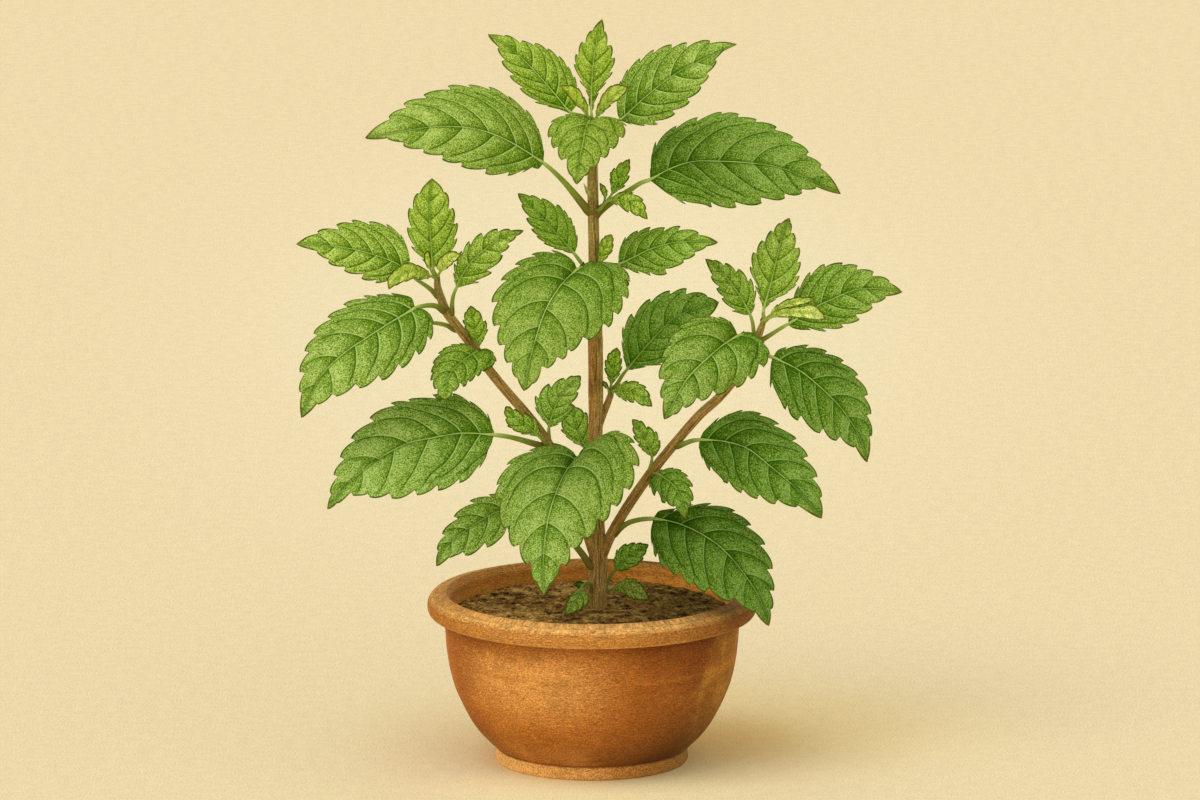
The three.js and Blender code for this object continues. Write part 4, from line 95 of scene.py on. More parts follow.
    dict(name='right_small_leaf_up', tone=0.36, young=0, stalk=[[21,-5.8,112.78],[21.96,-6.4,115.48],[22.8,-7,118.38],[23.42,-7.6,121.44]], r=[0.8,0.6], rib=[[23.42,-7.6,121.44],[21.01,-9,128.42],[17.91,-10.2,133.89],[15.48,-11,137.14]], roll=0, twist=0, fold=[0.12,0.12], curl=0.0795, up=0, left=[[2.3,2],[4.8,3.2],[7.5,3.9],[12,3.7],[15.4,2]], right=[[0.5,1.8],[3.6,4.6],[5.6,4.9],[8.9,5],[12.1,3.3],[15.6,2.2]]),
    dict(name='right_small_leaf_low', tone=0.32, young=0, stalk=[[23.01,-5.8,114.16],[24.15,-8,115.16],[25.5,-10,115.44]], r=[0.7,0.55], rib=[[25.5,-10,115.44],[27.8,-13,114.56],[31.67,-17.5,112.31],[35.07,-23,106.82],[35.82,-26.5,101.44]], roll=0, twist=0, fold=[0.2,-0.1], curl=0.069, up=0, left=[[-0.1,1.4],[1,2.4],[4.9,5.4],[7.9,6.4],[10.2,6.7],[14,6.3],[19,4],[21.2,2.2]], right=[[-1.5,1.7],[-1.7,3.4],[0.3,6.6],[4.3,8.2],[14.2,7.4],[18.8,4.3],[22.3,2.5]]),
    dict(name='right_lower_leaf', tone=0.2, young=0, stalk=[[32.26,-7.2,125.54],[34.75,-9,126.72],[38.21,-11,128.54],[41.66,-13,129.56]], r=[1.2,0.8], rib=[[41.66,-13,129.56],[50.49,-17,129.83],[59.69,-21,127.94],[68.1,-26,122.34],[78.82,-31,113.99],[88.37,-36,103.49]], roll=-24.9, twist=-4, fold=[0.12,0.12], curl=0.0206, up=0, left=[[1,3.6],[3.4,6.6],[6,9.6],[12.7,15.3],[17.9,16.3],[22.4,17],[30.9,17],[39.6,14.3],[47.1,10.2],[54,6]], right=[[0.7,4.2],[3.3,8.8],[8,13.5],[25.8,17.7],[31.6,16.8],[37.6,14.7],[44.8,11.6],[51.7,6.1]]),
    dict(name='right_leaf_front', tone=0.52, young=0, stalk=[[63.39,-9,168.9],[61.23,-12,170.11],[58.49,-15,171.12],[55.77,-18,171.35]], r=[1.2,0.8], rib=[[55.77,-18,171.35],[51.09,-24,169.65],[45.66,-31,166.6],[36.38,-42,159.51],[29.45,-52,149.13],[27.53,-54.5,146.34]], roll=0, twist=0, fold=[0.6,-0.15], curl=0.0323, up=0, left=[[-5.2,0.1],[-6.9,3.7],[-7.1,8.9],[-4.5,13.9],[1.2,16.6],[9.7,17.5],[17.6,16.5],[27.3,13.4],[37.1,9.8],[44.4,5.4],[49.2,2.8]], right=[[1.2,5],[2.5,7.3],[5.9,10.6],[10,13.8],[14.4,16.1],[18.9,16.9],[25.8,15.6],[31.3,13.6],[38.3,9.5],[45.4,5.3]]),
    dict(name='right_leaf_back', tone=0.3, young=0, stalk=[[62.12,-4,164.91],[61.82,2,162.68],[60.37,9,160.24],[58.14,16,157.99]], r=[1,0.75], rib=[[58.14,16,157.99],[54.39,26,153.92],[49.07,37,148.84],[42.92,46,143.77]], roll=0, twist=0, fold=[0.12,0.12], curl=0.0364, up=1, left=[[2.3,4],[6.9,8.3],[11.5,10.1],[16.1,10.4],[20.7,9.5],[25.3,7.7],[29.9,5.1],[34.4,1.5]], right=[[1.4,2.5],[6,7.7],[10.6,9.9],[15.2,10.5],[19.8,9.8],[24.4,8.1],[28.9,5.6],[33.5,2.3]]),
    dict(name='right_outer_leaf', tone=0.26, young=0, stalk=[[61.88,-7.5,164.06],[64,-8,162.79],[66.7,-8,161.8],[69.79,-7.5,160.91]], r=[1.1,0.75], rib=[[69.79,-7.5,160.91],[79.88,-5,155.27],[86.89,-3,149.32],[96.63,-1,139.03],[103.66,0,127.54],[106.59,-1,117.86]], roll=-27.3, twist=0, fold=[0.12,0.12], curl=0.0211, up=0, left=[[1.1,3.6],[4.3,6.4],[8.3,9.1],[11.8,11.6],[18.6,14.4],[25.5,15.9],[32.5,16],[39,12.9],[44.6,9.4],[50.6,5]], right=[[0.1,4.6],[1.2,8.9],[2.7,12.5],[14,17.6],[23.3,17.3],[35.8,14.5],[44.3,10.3],[51.9,4.7]]),
    dict(name='right_tip_leaf_top', tone=0.58, young=0.25, stalk=[[66.29,-7,174.98],[66.11,-5.8,176.3],[65.93,-4.4,178.18]], r=[0.9,0.65], rib=[[65.93,-4.4,178.18],[67.1,-2.5,182.32],[69.09,0,188.78],[71.35,3.5,197.87],[73.96,7.5,207.22],[76.19,10,212.2]], roll=-8, twist=0, fold=[0.12,0.12], curl=0.0351, up=0, left=[[3.1,1.4],[5.4,3.2],[9.2,5.9],[16.6,9.8],[22.2,9.6],[27.4,7.3],[31.6,4.9],[35.2,2.6]], right=[[3.5,1.9],[6.1,3.9],[10,7.7],[13.5,9.9],[16.8,10.2],[22.5,9.5],[27.7,7.7],[33.2,4.1],[36.7,1.6]]),
    dict(name='right_tip_leaf_left', tone=0.36, young=0, stalk=[[63.17,-5.5,167.98],[62.4,-5.2,169.65],[62.09,-4.4,173.26],[61.09,-3.5,176.82]], r=[0.9,0.65], rib=[[61.09,-3.5,176.82],[57.01,-1,183.78],[52.83,2,189.16],[47.49,5,194.26],[43.64,7,196.62]], roll=-6, twist=0, fold=[0.12,0.12], curl=0.0503, up=0, left=[[0.7,1.7],[2.8,3.9],[4.9,5.8],[12,6.7],[17,5.9],[22.3,4.2]], right=[[0.9,1.9],[3,3.8],[7.3,6.6],[11.7,7.2],[17,5.8],[21.8,3.7],[25.6,1.7]]),
    dict(name='right_tip_leaf_right', tone=0.34, young=0, stalk=[[64.57,-7.5,167.21],[67.47,-6.5,168.58],[71.73,-5,171.02],[75.59,-4,173.18]], r=[1,0.7], rib=[[75.59,-4,173.18],[81.4,-2,176.31],[87.59,0,179.84],[94.18,2,182.39],[101.16,4,184.94],[110.47,6,185.12],[120,8,183.34]], roll=-20.5, twist=0, fold=[0.12,0.12], curl=0.0256, up=0, left=[[2.8,3.6],[7,7.9],[12.5,11.4],[17.7,14.4],[24.8,15.2],[29,12.4],[32.6,9.8],[37.7,6.9],[43.4,3.7]], right=[[0.4,2.2],[2.6,4.6],[6,7.1],[10.6,11],[19.2,12.5],[25.9,12.3],[36.2,8.4],[42.2,3.9]]),
    dict(name='right_tip_young_upper', tone=0.92, young=1, stalk=[[66.64,-9,175.58],[67.4,-10,176.77],[68.61,-11,178.23]], r=[0.65,0.5], rib=[[68.61,-11,178.23],[73.12,-12.2,181.54],[78.87,-13.2,184.1],[85.93,-14,184.66]], roll=8, twist=0, fold=[0.3,0.3], curl=0.047, up=0, left=[[2,1.4],[5.1,2],[9.9,2.1],[14.2,1.6],[17.6,1.3]], right=[[2.3,0.9],[7.2,1.6],[12.5,2.2],[16.9,1.3]]),
    dict(name='right_tip_young_lower', tone=1, young=1, stalk=[[66.43,-10.4,175.09],[67.18,-12,176.2],[68.3,-13.6,177.67]], r=[0.65,0.5], rib=[[68.3,-13.6,177.67],[74.23,-15.5,179.67],[80.34,-17.5,180.47],[85.31,-19,180.19],[90.09,-20.5,178.57]], roll=0, twist=0, fold=[0.3,0.3], curl=0.0322, up=0, left=[[2.1,1.5],[4.7,2.4],[8.7,2.4],[13.1,2.7],[16.8,3.7],[20.3,2.5]], right=[[1.8,0.6],[8.3,2],[13.6,2.6],[18.3,2.7],[21.4,1.8]]),
    dict(name='base_leaf_left', tone=0.45, young=0, stalk=[[-0.19,-2.6,69.61],[-2.32,-5.2,70.81],[-4.26,-8,70.06]], r=[0.8,0.6], rib=[[-4.26,-8,70.06],[-5.6,-12,67.01],[-7.53,-16,64.36],[-9.84,-20.5,61.84]], roll=0, twist=0, fold=[0.12,0.12], curl=0.0719, up=0, left=[[1.9,2.5],[3.4,4.3],[4.9,5.1],[7.6,4.6],[11.3,3.1],[14,1.6]], right=[[1.8,1],[3.8,2.5],[8.2,3.3],[12.4,2.5],[14.9,1.4]]),
    dict(name='base_leaf_back', tone=0.1, young=0, stalk=[[0.19,3.5,66.02],[-1.17,6,67.04],[-2.34,8.5,67.07]], r=[0.6,0.5], rib=[[-2.34,8.5,67.07],[-4.68,11,66.89],[-7.41,14,66]], roll=0, twist=0, fold=[0.12,0.12], curl=0.1, up=0, left=[[1.3,1.4],[5.4,1.5]], right=[[1.9,1.1],[4.4,1.2]]),
    dict(name='base_leaf_up', tone=0.18, young=0, stalk=[[3.88,2.5,65.66],[5.43,3.6,67.79],[6.98,4.6,71.15],[8.92,5.2,74.19]], r=[0.9,0.6], rib=[[8.92,5.2,74.19],[12.03,5.8,77.24],[16.69,6.4,80.69],[22,6.8,83.58]], roll=0, twist=0, fold=[0.12,0.12], curl=0.0715, up=0, left=[[1.3,2.1],[3.3,3.6],[5.7,5.1],[9.4,4.7],[12.1,3.2],[14.3,1.9]], right=[[0.5,1.6],[1.9,3.1],[4.4,4.3],[9.1,4.8],[12.1,3.9],[14.6,1.8]]),
    dict(name='base_leaf_right', tone=0.25, young=0, stalk=[[3.88,-0.5,65.55],[5.81,-1,66.86],[8.33,-1.5,67.81]], r=[0.7,0.55], rib=[[8.33,-1.5,67.81],[12.4,-2.5,68.4],[17.05,-4,67.35],[22.28,-6,64.31]], roll=0, twist=0, fold=[0.12,0.12], curl=0.0901, up=0, left=[[1.3,1.6],[3.2,2.8],[5.3,4.2],[8.1,4.4],[11.4,2.8],[13.6,1.8]], right=[[1.4,1.4],[3.8,2.4],[8.2,3.5],[11.9,2.7]]),
]

# Tint of each leaf against the common green: how bright, how warm and how blue it is. The brightness is partly the
# leaf's own tone and partly painted light and shade, lifting leaves that face away from the lamp and darkening leaves
# that sit in shade.
LEAF_TONE_AND_PAINTED_LIGHT = {
    "top_leaf_left": (1.26, 1.07, 0.89),
    "top_leaf_right": (1.20, 1.03, 1.24),
    "top_leaf_centre": (1.19, 1.02, 0.72),
    "top_leaf_front": (1.07, 1.01, 0.93),
    "young_leaf_left": (1.45, 0.97, 0.79),
    "young_leaf_right": (1.54, 0.99, 0.98),
    "crown_leaf_left": (1.21, 1.06, 1.23),
    "crown_leaf_right": (0.98, 0.93, 1.10),
    "crown_axil_leaf_up": (1.40, 0.89, 0.72),
    "crown_axil_leaf_tiny": (2.20, 1.02, 0.77),
    "crown_axil_leaf_low": (1.57, 1.06, 0.99),
    "upper_leaf_left": (1.43, 0.96, 0.82),
    "upper_leaf_right": (1.18, 0.97, 1.02),
    "upper_axil_leaf": (1.44, 1.01, 0.73),
    "upper_leaf_front": (1.07, 1.00, 1.15),
    "shoot_leaf_back": (1.23, 0.86, 1.12),
    "shoot_leaf_up": (1.56, 0.88, 0.76),
    "shoot_leaf_low": (1.59, 0.98, 1.03),
    "left_tip_leaf_top": (1.52, 1.01, 0.89),
    "left_tip_leaf_left": (1.55, 1.09, 1.21),
    "left_tip_leaf_right": (1.87, 1.04, 1.36),
    "left_tip_young_left": (1.45, 1.03, 0.91),
    "left_tip_young_up": (2.20, 0.98, 0.70),
    "left_tip_young_right": (2.01, 1.06, 1.35),
    "left_big_leaf": (1.27, 1.04, 1.37),
    "left_small_leaf_front": (1.39, 0.97, 1.11),
    "left_small_leaf_up": (1.63, 0.95, 0.89),
    "left_lower_leaf": (1.26, 1.00, 1.42),
    "left_axil_leaf_left": (1.45, 0.95, 1.00),
    "left_axil_leaf_up": (1.66, 0.94, 1.37),
    "axil_leaf_behind": (1.57, 0.92, 0.96),
    "lower_leaf_front": (1.12, 1.01, 1.33),
    "low_leaf_left": (1.62, 1.00, 1.42),
    "low_leaf_right": (0.69, 0.84, 1.02),
    "right_small_leaf_up": (1.50, 0.93, 1.05),
    "right_small_leaf_low": (1.06, 0.88, 1.00),
    "right_lower_leaf": (0.80, 0.86, 1.02),
    "right_leaf_front": (1.09, 0.98, 1.27),
    "right_outer_leaf": (0.96, 0.87, 1.19),
    "right_tip_leaf_top": (1.25, 0.98, 1.00),
    "right_tip_leaf_left": (1.33, 0.98, 1.03),
    "right_tip_leaf_right": (1.13, 0.98, 1.13),
    "right_tip_young_upper": (1.90, 1.08, 1.19),
    "right_tip_young_lower": (1.78, 1.10, 1.57),
    "base_leaf_left": (1.22, 1.10, 1.11),
    "base_leaf_back": (0.35, 0.95, 0.50),
    "base_leaf_up": (1.67, 0.80, 0.95),
    "base_leaf_right": (1.27, 1.19, 1.29),
}

# ------------------------------------------------------------------ small maths
ELEV = math.radians(12.0)
VIEW = np.array([0.0, -math.cos(ELEV), math.sin(ELEV)])


def unit(a):
    return a / np.maximum(np.linalg.norm(a, axis=-1, keepdims=True), 1e-12)


def smooth(x, a=0.0, b=1.0):
    x = np.clip((x - a) / (b - a), 0, 1)
    return x * x * (3 - 2 * x)


def gauss(x, width):
    """x smoothed along its length."""
    r = max(int(3 * width), 1)
    k = np.exp(-0.5 * (np.arange(-r, r + 1) / max(width, 0.5)) ** 2)
    return np.convolve(np.pad(x, r, mode="edge"), k / k.sum(), "valid")


def noise3(p, seed=0):
    """Smooth value noise in 0..1 at points p (..., 3)."""
    p = np.asarray(p, float)
    i = np.floor(p).astype(np.int64)
    f = p - i
    f = f * f * f * (f * (f * 6 - 15) + 10)

    def corner(a, b, c):
        h = ((i[..., 0] + a) * 73856093) ^ ((i[..., 1] + b) * 19349663) ^ ((i[..., 2] + c) * 83492791) ^ (seed * 2654435 + 97)
        h &= 0xFFFFFFFF
        h = ((h ^ (h >> 15)) * 2246822519) & 0xFFFFFFFF
        h = ((h ^ (h >> 13)) * 3266489917) & 0xFFFFFFFF
        return (h ^ (h >> 16)) / 4294967295.0

    out = 0
    for a in (0, 1):
        wa = f[..., 0] if a else 1 - f[..., 0]
        for b in (0, 1):
            wb = f[..., 1] if b else 1 - f[..., 1]
            for c in (0, 1):
                wc = f[..., 2] if c else 1 - f[..., 2]
                out = out + wa * wb * wc * corner(a, b, c)
    return out


def fbm(p, octaves=4, seed=0, gain=0.5):
    p = np.asarray(p, float)
    s, a, t = 0.0, 1.0, 0.0
    for k in range(octaves):
        s = s + a * (noise3(p * 2.0 ** k + 7.3 * k, seed + k) - 0.5)
        t += a
        a *= gain
    return s / t


def spline(points, i, w):
    """Centripetal Catmull-Rom through points: the stretch after point i, at w in 0..1."""
    p = np.asarray(points, float)
    n = len(p)
    w = np.asarray(w, float)[..., None]
    if n == 2:
        return p[0] + (p[1] - p[0]) * w
    p0 = p[i - 1] if i > 0 else 2 * p[0] - p[1]
    p1, p2 = p[i], p[i + 1]
    p3 = p[i + 2] if i + 2 < n else 2 * p[n - 1] - p[n - 2]
    d0 = max(float(np.dot(p0 - p1, p0 - p1)) ** 0.25, 1e-4)
    d1 = max(float(np.dot(p1 - p2, p1 - p2)) ** 0.25, 1e-4)
    d2 = max(float(np.dot(p2 - p3, p2 - p3)) ** 0.25, 1e-4)
    t1 = ((p1 - p0) / d0 - (p2 - p0) / (d0 + d1) + (p2 - p1) / d1) * d1
    t2 = ((p2 - p1) / d1 - (p3 - p1) / (d1 + d2) + (p3 - p2) / d2) * d1
    return p1 + t1 * w + (-3 * p1 + 3 * p2 - 2 * t1 - t2) * w ** 2 + (2 * p1 - 2 * p2 + t1 + t2) * w ** 3


class Axis:
    """A smooth curve through points, looked up by length."""

    def __init__(self, points, n=240):
        p = np.asarray(points, float)
        t = np.linspace(0, 1, n + 1) * (len(p) - 1)
        q = []
        for x in t:
            i = min(int(x), len(p) - 2)
            q.append(spline(p, i, x - i))
        self.q = np.array(q)
        d = np.linalg.norm(np.diff(self.q, axis=0), axis=1)
        self.l = np.concatenate([[0], np.cumsum(d)])
        self.L = float(self.l[-1])
        self.t = unit(np.gradient(self.q, axis=0))

    def at(self, u):
        u = np.asarray(u, float)
        c = np.clip(u, 0, self.L)
        out = np.stack([np.interp(c, self.l, self.q[:, k]) for k in range(3)], -1)
        out = out + self.t[0] * np.minimum(u, 0)[..., None] + self.t[-1] * np.maximum(u - self.L, 0)[..., None]
        return out

    def dir(self, u):
        c = np.clip(np.asarray(u, float), 0, self.L)
        return unit(np.stack([np.interp(c, self.l, self.t[:, k]) for k in range(3)], -1))


# ------------------------------------------------------------------ meshes
def mesh_object(name, verts_mm, quads, tris, mats, quad_mat, tri_mat, uvs, flat=False):
    quads = np.asarray(quads, np.int32).reshape(-1, 4)
    tris = np.asarray(tris, np.int32).reshape(-1, 3)
    me = bpy.data.meshes.new(name)
    me.vertices.add(len(verts_mm))
    me.vertices.foreach_set("co", (np.asarray(verts_mm, float) * MM).astype(np.float32).ravel())
    loops = np.concatenate([quads.ravel(), tris.ravel()]).astype(np.int32)
    me.loops.add(len(loops))
    me.loops.foreach_set("vertex_index", loops)
    nq, nt = len(quads), len(tris)
    me.polygons.add(nq + nt)
    start = np.concatenate([np.arange(nq) * 4, nq * 4 + np.arange(nt) * 3]).astype(np.int32)
    me.polygons.foreach_set("loop_start", start)
    mi = np.concatenate([np.broadcast_to(quad_mat, nq), np.broadcast_to(tri_mat, nt)]).astype(np.int32)
    me.polygons.foreach_set("material_index", mi)
    me.polygons.foreach_set("use_smooth", np.full(nq + nt, not flat))
    for key, val in uvs.items():
        layer = me.uv_layers.new(name=key)
        layer.data.foreach_set("uv", np.asarray(val, np.float32)[loops].ravel())
    me.update(calc_edges=True)
    me.validate()
    for m in mats:
        me.materials.append(m)
    ob = bpy.data.objects.new(name, me)
    bpy.context.scene.collection.objects.link(ob)
    return ob


def grid_quads(a, flip=False):
    """Quads of a grid of vertex numbers a (rows, columns)."""
    q = np.stack([a[:-1, :-1], a[1:, :-1], a[1:, 1:], a[:-1, 1:]], -1).reshape(-1, 4)
    return q[:, ::-1] if flip else q


def tube(points, radii, sides, twist=0.0, squash=1.0):
    """Rings round a row of points. Returns points (rows, sides, 3) and the ring angles."""
    p = np.asarray(points, float)
    t = unit(np.gradient(p, axis=0))
    side = np.array([0.0, 1.0, 0.0]) if abs(t[0][1]) < 0.8 else np.array([1.0, 0, 0])
    S = []
    for k in range(len(p)):
        side = unit(side - t[k] * np.dot(side, t[k]))
        S.append(side)
    S = np.array(S)
    U = np.cross(t, S)
    a = np.linspace(0, 2 * np.pi, sides, endpoint=False) + twist
    r = np.asarray(radii, float)
    if r.ndim == 1:
        r = np.repeat(r[:, None], sides, 1)
    ring = p[:, None] + r[..., None] * (S[:, None] * np.cos(a)[None, :, None] + U[:, None] * np.sin(a)[None, :, None] * squash)
    return ring, a


def tube_mesh(ring, base):
    """Vertices and faces of a closed tube, numbered from base. The last column repeats the first for the maps."""
    n, s = ring.shape[:2]
    wrap = np.concatenate([ring, ring[:, :1]], 1)
    v = wrap.reshape(-1, 3)
    ids = base + np.arange(n * (s + 1)).reshape(n, s + 1)
    quads = grid_quads(ids, flip=True)
    ends = np.stack([ring[0].mean(0), ring[-1].mean(0)])
    v = np.concatenate([v, ends])
    e0, e1 = base + n * (s + 1), base + n * (s + 1) + 1
    tris = [[e0, ids[0, k], ids[0, k + 1]] for k in range(s)] + [[e1, ids[-1, k + 1], ids[-1, k]] for k in range(s)]
    return v, quads, np.array(tris), ids


# ------------------------------------------------------------------ materials
def srgb(r, g, b):
    def f(c):
        c /= 255.0
        return c / 12.92 if c <= 0.04045 else ((c + 0.055) / 1.055) ** 2.4
    return (f(r), f(g), f(b), 1.0)


class Look:
    """A small helper for building a node material."""

    def __init__(self, name, rough=0.6, spec=0.3):
        self.mat = bpy.data.materials.new(name)
        self.mat.use_nodes = True
        self.nt = self.mat.node_tree
        self.nt.nodes.clear()
        self.out = self.nt.nodes.new("ShaderNodeOutputMaterial")
        self.bsdf = self.nt.nodes.new("ShaderNodeBsdfPrincipled")
        self.nt.links.new(self.bsdf.outputs[0], self.out.inputs[0])
        self.bsdf.inputs["Roughness"].default_value = rough
        self.bsdf.inputs["Specular IOR Level"].default_value = spec

    def put(self, socket, value):
        if isinstance(value, bpy.types.NodeSocket):
            self.nt.links.new(value, socket)
        else:
            socket.default_value = value

    def math(self, op, a, b=0.0, c=0.0, clamp=False):
        n = self.nt.nodes.new("ShaderNodeMath")
        n.operation = op
        n.use_clamp = clamp
        for s, v in zip(n.inputs, (a, b, c)):
            self.put(s, v)
        return n.outputs[0]

    def add(self, a, b): return self.math("ADD", a, b)
    def sub(self, a, b): return self.math("SUBTRACT", a, b)
    def mul(self, a, b): return self.math("MULTIPLY", a, b)

    def vmul(self, v, k):
        n = self.nt.nodes.new("ShaderNodeVectorMath")
        n.operation = "MULTIPLY"
        self.put(n.inputs[0], v)
        self.put(n.inputs[1], k)
        return n.outputs[0]

    def vec(self, x, y, z=0.0):
        n = self.nt.nodes.new("ShaderNodeCombineXYZ")
        for s, v in zip(n.inputs, (x, y, z)):
            self.put(s, v)
        return n.outputs[0]

    def split(self, v):
        n = self.nt.nodes.new("ShaderNodeSeparateXYZ")
        self.put(n.inputs[0], v)
        return n.outputs[0], n.outputs[1], n.outputs[2]

    def uv(self, name):
        n = self.nt.nodes.new("ShaderNodeUVMap")
        n.uv_map = name
        return self.split(n.outputs[0])

    def coord(self):
        return self.nt.nodes.new("ShaderNodeTexCoord").outputs["Object"]

    def noise(self, v, scale=1.0, detail=2.0, rough=0.5, lacunarity=2.0):
        n = self.nt.nodes.new("ShaderNodeTexNoise")
        self.put(n.inputs["Vector"], v)
        n.inputs["Scale"].default_value = scale
        n.inputs["Detail"].default_value = detail
        n.inputs["Roughness"].default_value = rough
        n.inputs["Lacunarity"].default_value = lacunarity
        return n.outputs["Fac"]

    def cells(self, v, scale=1.0, feature="DISTANCE_TO_EDGE", out="Distance", jitter=1.0):
        n = self.nt.nodes.new("ShaderNodeTexVoronoi")
        n.feature = feature
        self.put(n.inputs["Vector"], v)
        n.inputs["Scale"].default_value = scale
        n.inputs["Randomness"].default_value = jitter
        return n.outputs[out]

    def ramp(self, x, a, b, lo=0.0, hi=1.0, kind="SMOOTHSTEP"):
        n = self.nt.nodes.new("ShaderNodeMapRange")
        n.interpolation_type = kind
        n.clamp = True
        for s, v in zip(n.inputs[:5], (x, a, b, lo, hi)):
            self.put(s, v)
        return n.outputs[0]

    def mix(self, f, a, b, blend="MIX"):
        n = self.nt.nodes.new("ShaderNodeMix")
        n.data_type = "RGBA"
        n.blend_type = blend
        self.put(n.inputs[0], f)
        self.put(n.inputs[6], a)
        self.put(n.inputs[7], b)
        return n.outputs[2]

    def shade(self, colour, k):
        """colour times the number k"""
        n = self.nt.nodes.new("ShaderNodeVectorMath")
        n.operation = "SCALE"
        self.put(n.inputs[0], colour[:3] if isinstance(colour, tuple) else colour)
        self.put(n.inputs[3], k)
        return n.outputs[0]

    def bump(self, height, distance, strength=1.0):
        n = self.nt.nodes.new("ShaderNodeBump")
        n.inputs["Strength"].default_value = strength
        n.inputs["Distance"].default_value = distance
        self.put(n.inputs["Height"], height)
        self.put(self.bsdf.inputs["Normal"], n.outputs[0])

    def colour(self, c):
        self.put(self.bsdf.inputs["Base Color"], c)


def leaf_look(name, under):
    m = Look(name, rough=0.70 if not under else 0.8, spec=0.0)
    xi, t, _ = m.uv("Vein")
    sp, out, _ = m.uv("Scale")
    edge, along, _ = m.uv("Edge")
    tone, young, _ = m.uv("Tone")
    warm, blue, _ = m.uv("Hue")
    pos = m.coord()
    # f: how far past a side vein towards the tip of the blade (+) or short of it (-), as a
    # share of the gap between two veins; dist: the same in mm; p: 0 just past a vein, 1 at the next
    f = m.sub(m.math("FRACT", m.add(xi, 100.5)), 0.5)
    p = m.math("FRACT", m.add(xi, 100.0))
    dist = m.mul(f, sp)
    near = m.math("ABSOLUTE", dist)
    # grain in three sizes, and pencil strokes running out across the panels
    g1 = m.noise(pos, 1950.0, 2.0, 0.75)
    g2 = m.noise(pos, 640.0, 3.0, 0.6)
    g3 = m.noise(pos, 120.0, 3.0, 0.55)
    strokes = m.noise(m.vec(m.mul(xi, 1.7), m.mul(out, 0.95), m.mul(along, 2.0)), 1.0, 3.0, 0.62)
    quiet, size, _z = m.uv("Quiet")   # 0 on a grown blade, 1 on a tiny one; size: vein spacing, 1 on a grown blade
    loud = m.sub(1.0, quiet)
    blade = m.mul(m.sub(1.0, m.mul(quiet, 0.60)), m.ramp(sp, 1.8, 6.0, 0.50, 1.0))
    # painted shade and light of the quilted panels: each panel darker just past its vein and lighter towards the next,
    # darker in the corner by the midrib, near the base and right beside the midrib, and lighter towards the tip
    past = m.math("DIVIDE", m.mul(p, sp), size)
    outr = m.math("DIVIDE", out, size)
    tips = m.ramp(along, 0.55, 0.86)
    corner = m.mul(m.math("POWER", 2.718, m.mul(outr, -0.14)), m.math("POWER", 2.718, m.mul(past, -0.20)))
    corner = m.mul(corner, m.sub(1.0, m.mul(tips, 0.75)))
    slope = m.mul(m.sub(m.ramp(past, 0.0, 9.0, 0.0, 1.0, "LINEAR"), 0.5), m.mul(m.ramp(t, 0.1, 0.95, 0.20, 0.08, "LINEAR"), m.add(0.45, m.mul(loud, 0.55))))
    base = m.mul(m.ramp(along, -0.10, 0.34, 1.0, 0.0), m.ramp(outr, 0.0, 13.0, 1.0, 0.25))
    side = m.ramp(outr, 0.2, 3.2, 1.0, 0.0)
    tipward = m.ramp(along, 0.0, 0.9, -0.07, 0.10, "LINEAR")
    L = m.add(0.60, slope)
    L = m.sub(L, m.mul(m.mul(corner, m.add(0.42, m.mul(loud, 0.58))), 0.42))
    L = m.sub(L, m.mul(base, 0.22))
    L = m.sub(L, m.mul(side, 0.16))
    L = m.add(L, tipward)
    calm = m.add(0.20, m.mul(loud, 0.80))
    L = m.add(L, m.mul(m.ramp(g3, 0.3, 0.7, -0.09, 0.09, "LINEAR"), calm))
    L = m.add(L, m.mul(m.ramp(strokes, 0.3, 0.7, -0.10, 0.10, "LINEAR"), calm))
    L = m.add(L, m.ramp(g2, 0.3, 0.7, -0.08, 0.08, "LINEAR"))
    hatch = m.noise(m.vec(m.mul(xi, 5.5), m.mul(out, 0.22), m.mul(along, 1.0)), 1.0, 2.0, 0.6)
    L = m.add(L, m.mul(m.ramp(hatch, 0.34, 0.66, -0.11, 0.11, "LINEAR"), calm))
    L = m.add(L, m.ramp(g1, 0.28, 0.72, -0.76, 0.76, "LINEAR"))
    # shade that hugs the far side of each side vein
    fade = m.mul(m.ramp(t, 0.74, 0.93, 1.0, 0.0), m.ramp(along, 0.78, 0.93, 1.0, 0.0))
    hug = m.mul(m.ramp(dist, 0.10, 0.95, 1.0, 0.0), m.ramp(dist, -0.10, 0.12))
    wide = m.mul(m.ramp(past, 0.2, 4.2, 1.0, 0.0), m.ramp(t, 0.45, 0.85, 1.0, 0.0))
    crisp = m.sub(1.0, m.mul(quiet, 0.30))
    L = m.sub(L, m.mul(m.add(m.mul(m.mul(m.mul(hug, 0.42), fade), crisp), m.mul(m.mul(wide, 0.13), blade)), m.sub(1.0, m.mul(tips, 0.50))))
    if under:
        L = m.add(m.mul(L, 0.5), 0.30)
    if not under:
        deep, mid, light = srgb(60, 98, 6), srgb(116, 148, 36), srgb(176, 200, 98)
        ydeep, ymid, ylight = srgb(108, 134, 28), srgb(154, 178, 62), srgb(200, 212, 118)
    else:
        deep, mid, light = srgb(84, 116, 44), srgb(132, 158, 78), srgb(176, 192, 120)
        ydeep, ymid, ylight = srgb(126, 140, 48), srgb(168, 180, 84), srgb(200, 206, 124)
    a = m.mix(m.ramp(L, 0.0, 0.5, kind="LINEAR"), deep, mid)
    a = m.mix(m.ramp(L, 0.5, 1.0, kind="LINEAR"), a, light)
    b = m.mix(m.ramp(L, 0.0, 0.5, kind="LINEAR"), ydeep, ymid)
    b = m.mix(m.ramp(L, 0.5, 1.0, kind="LINEAR"), b, ylight)
    c = m.mix(young, a, b)
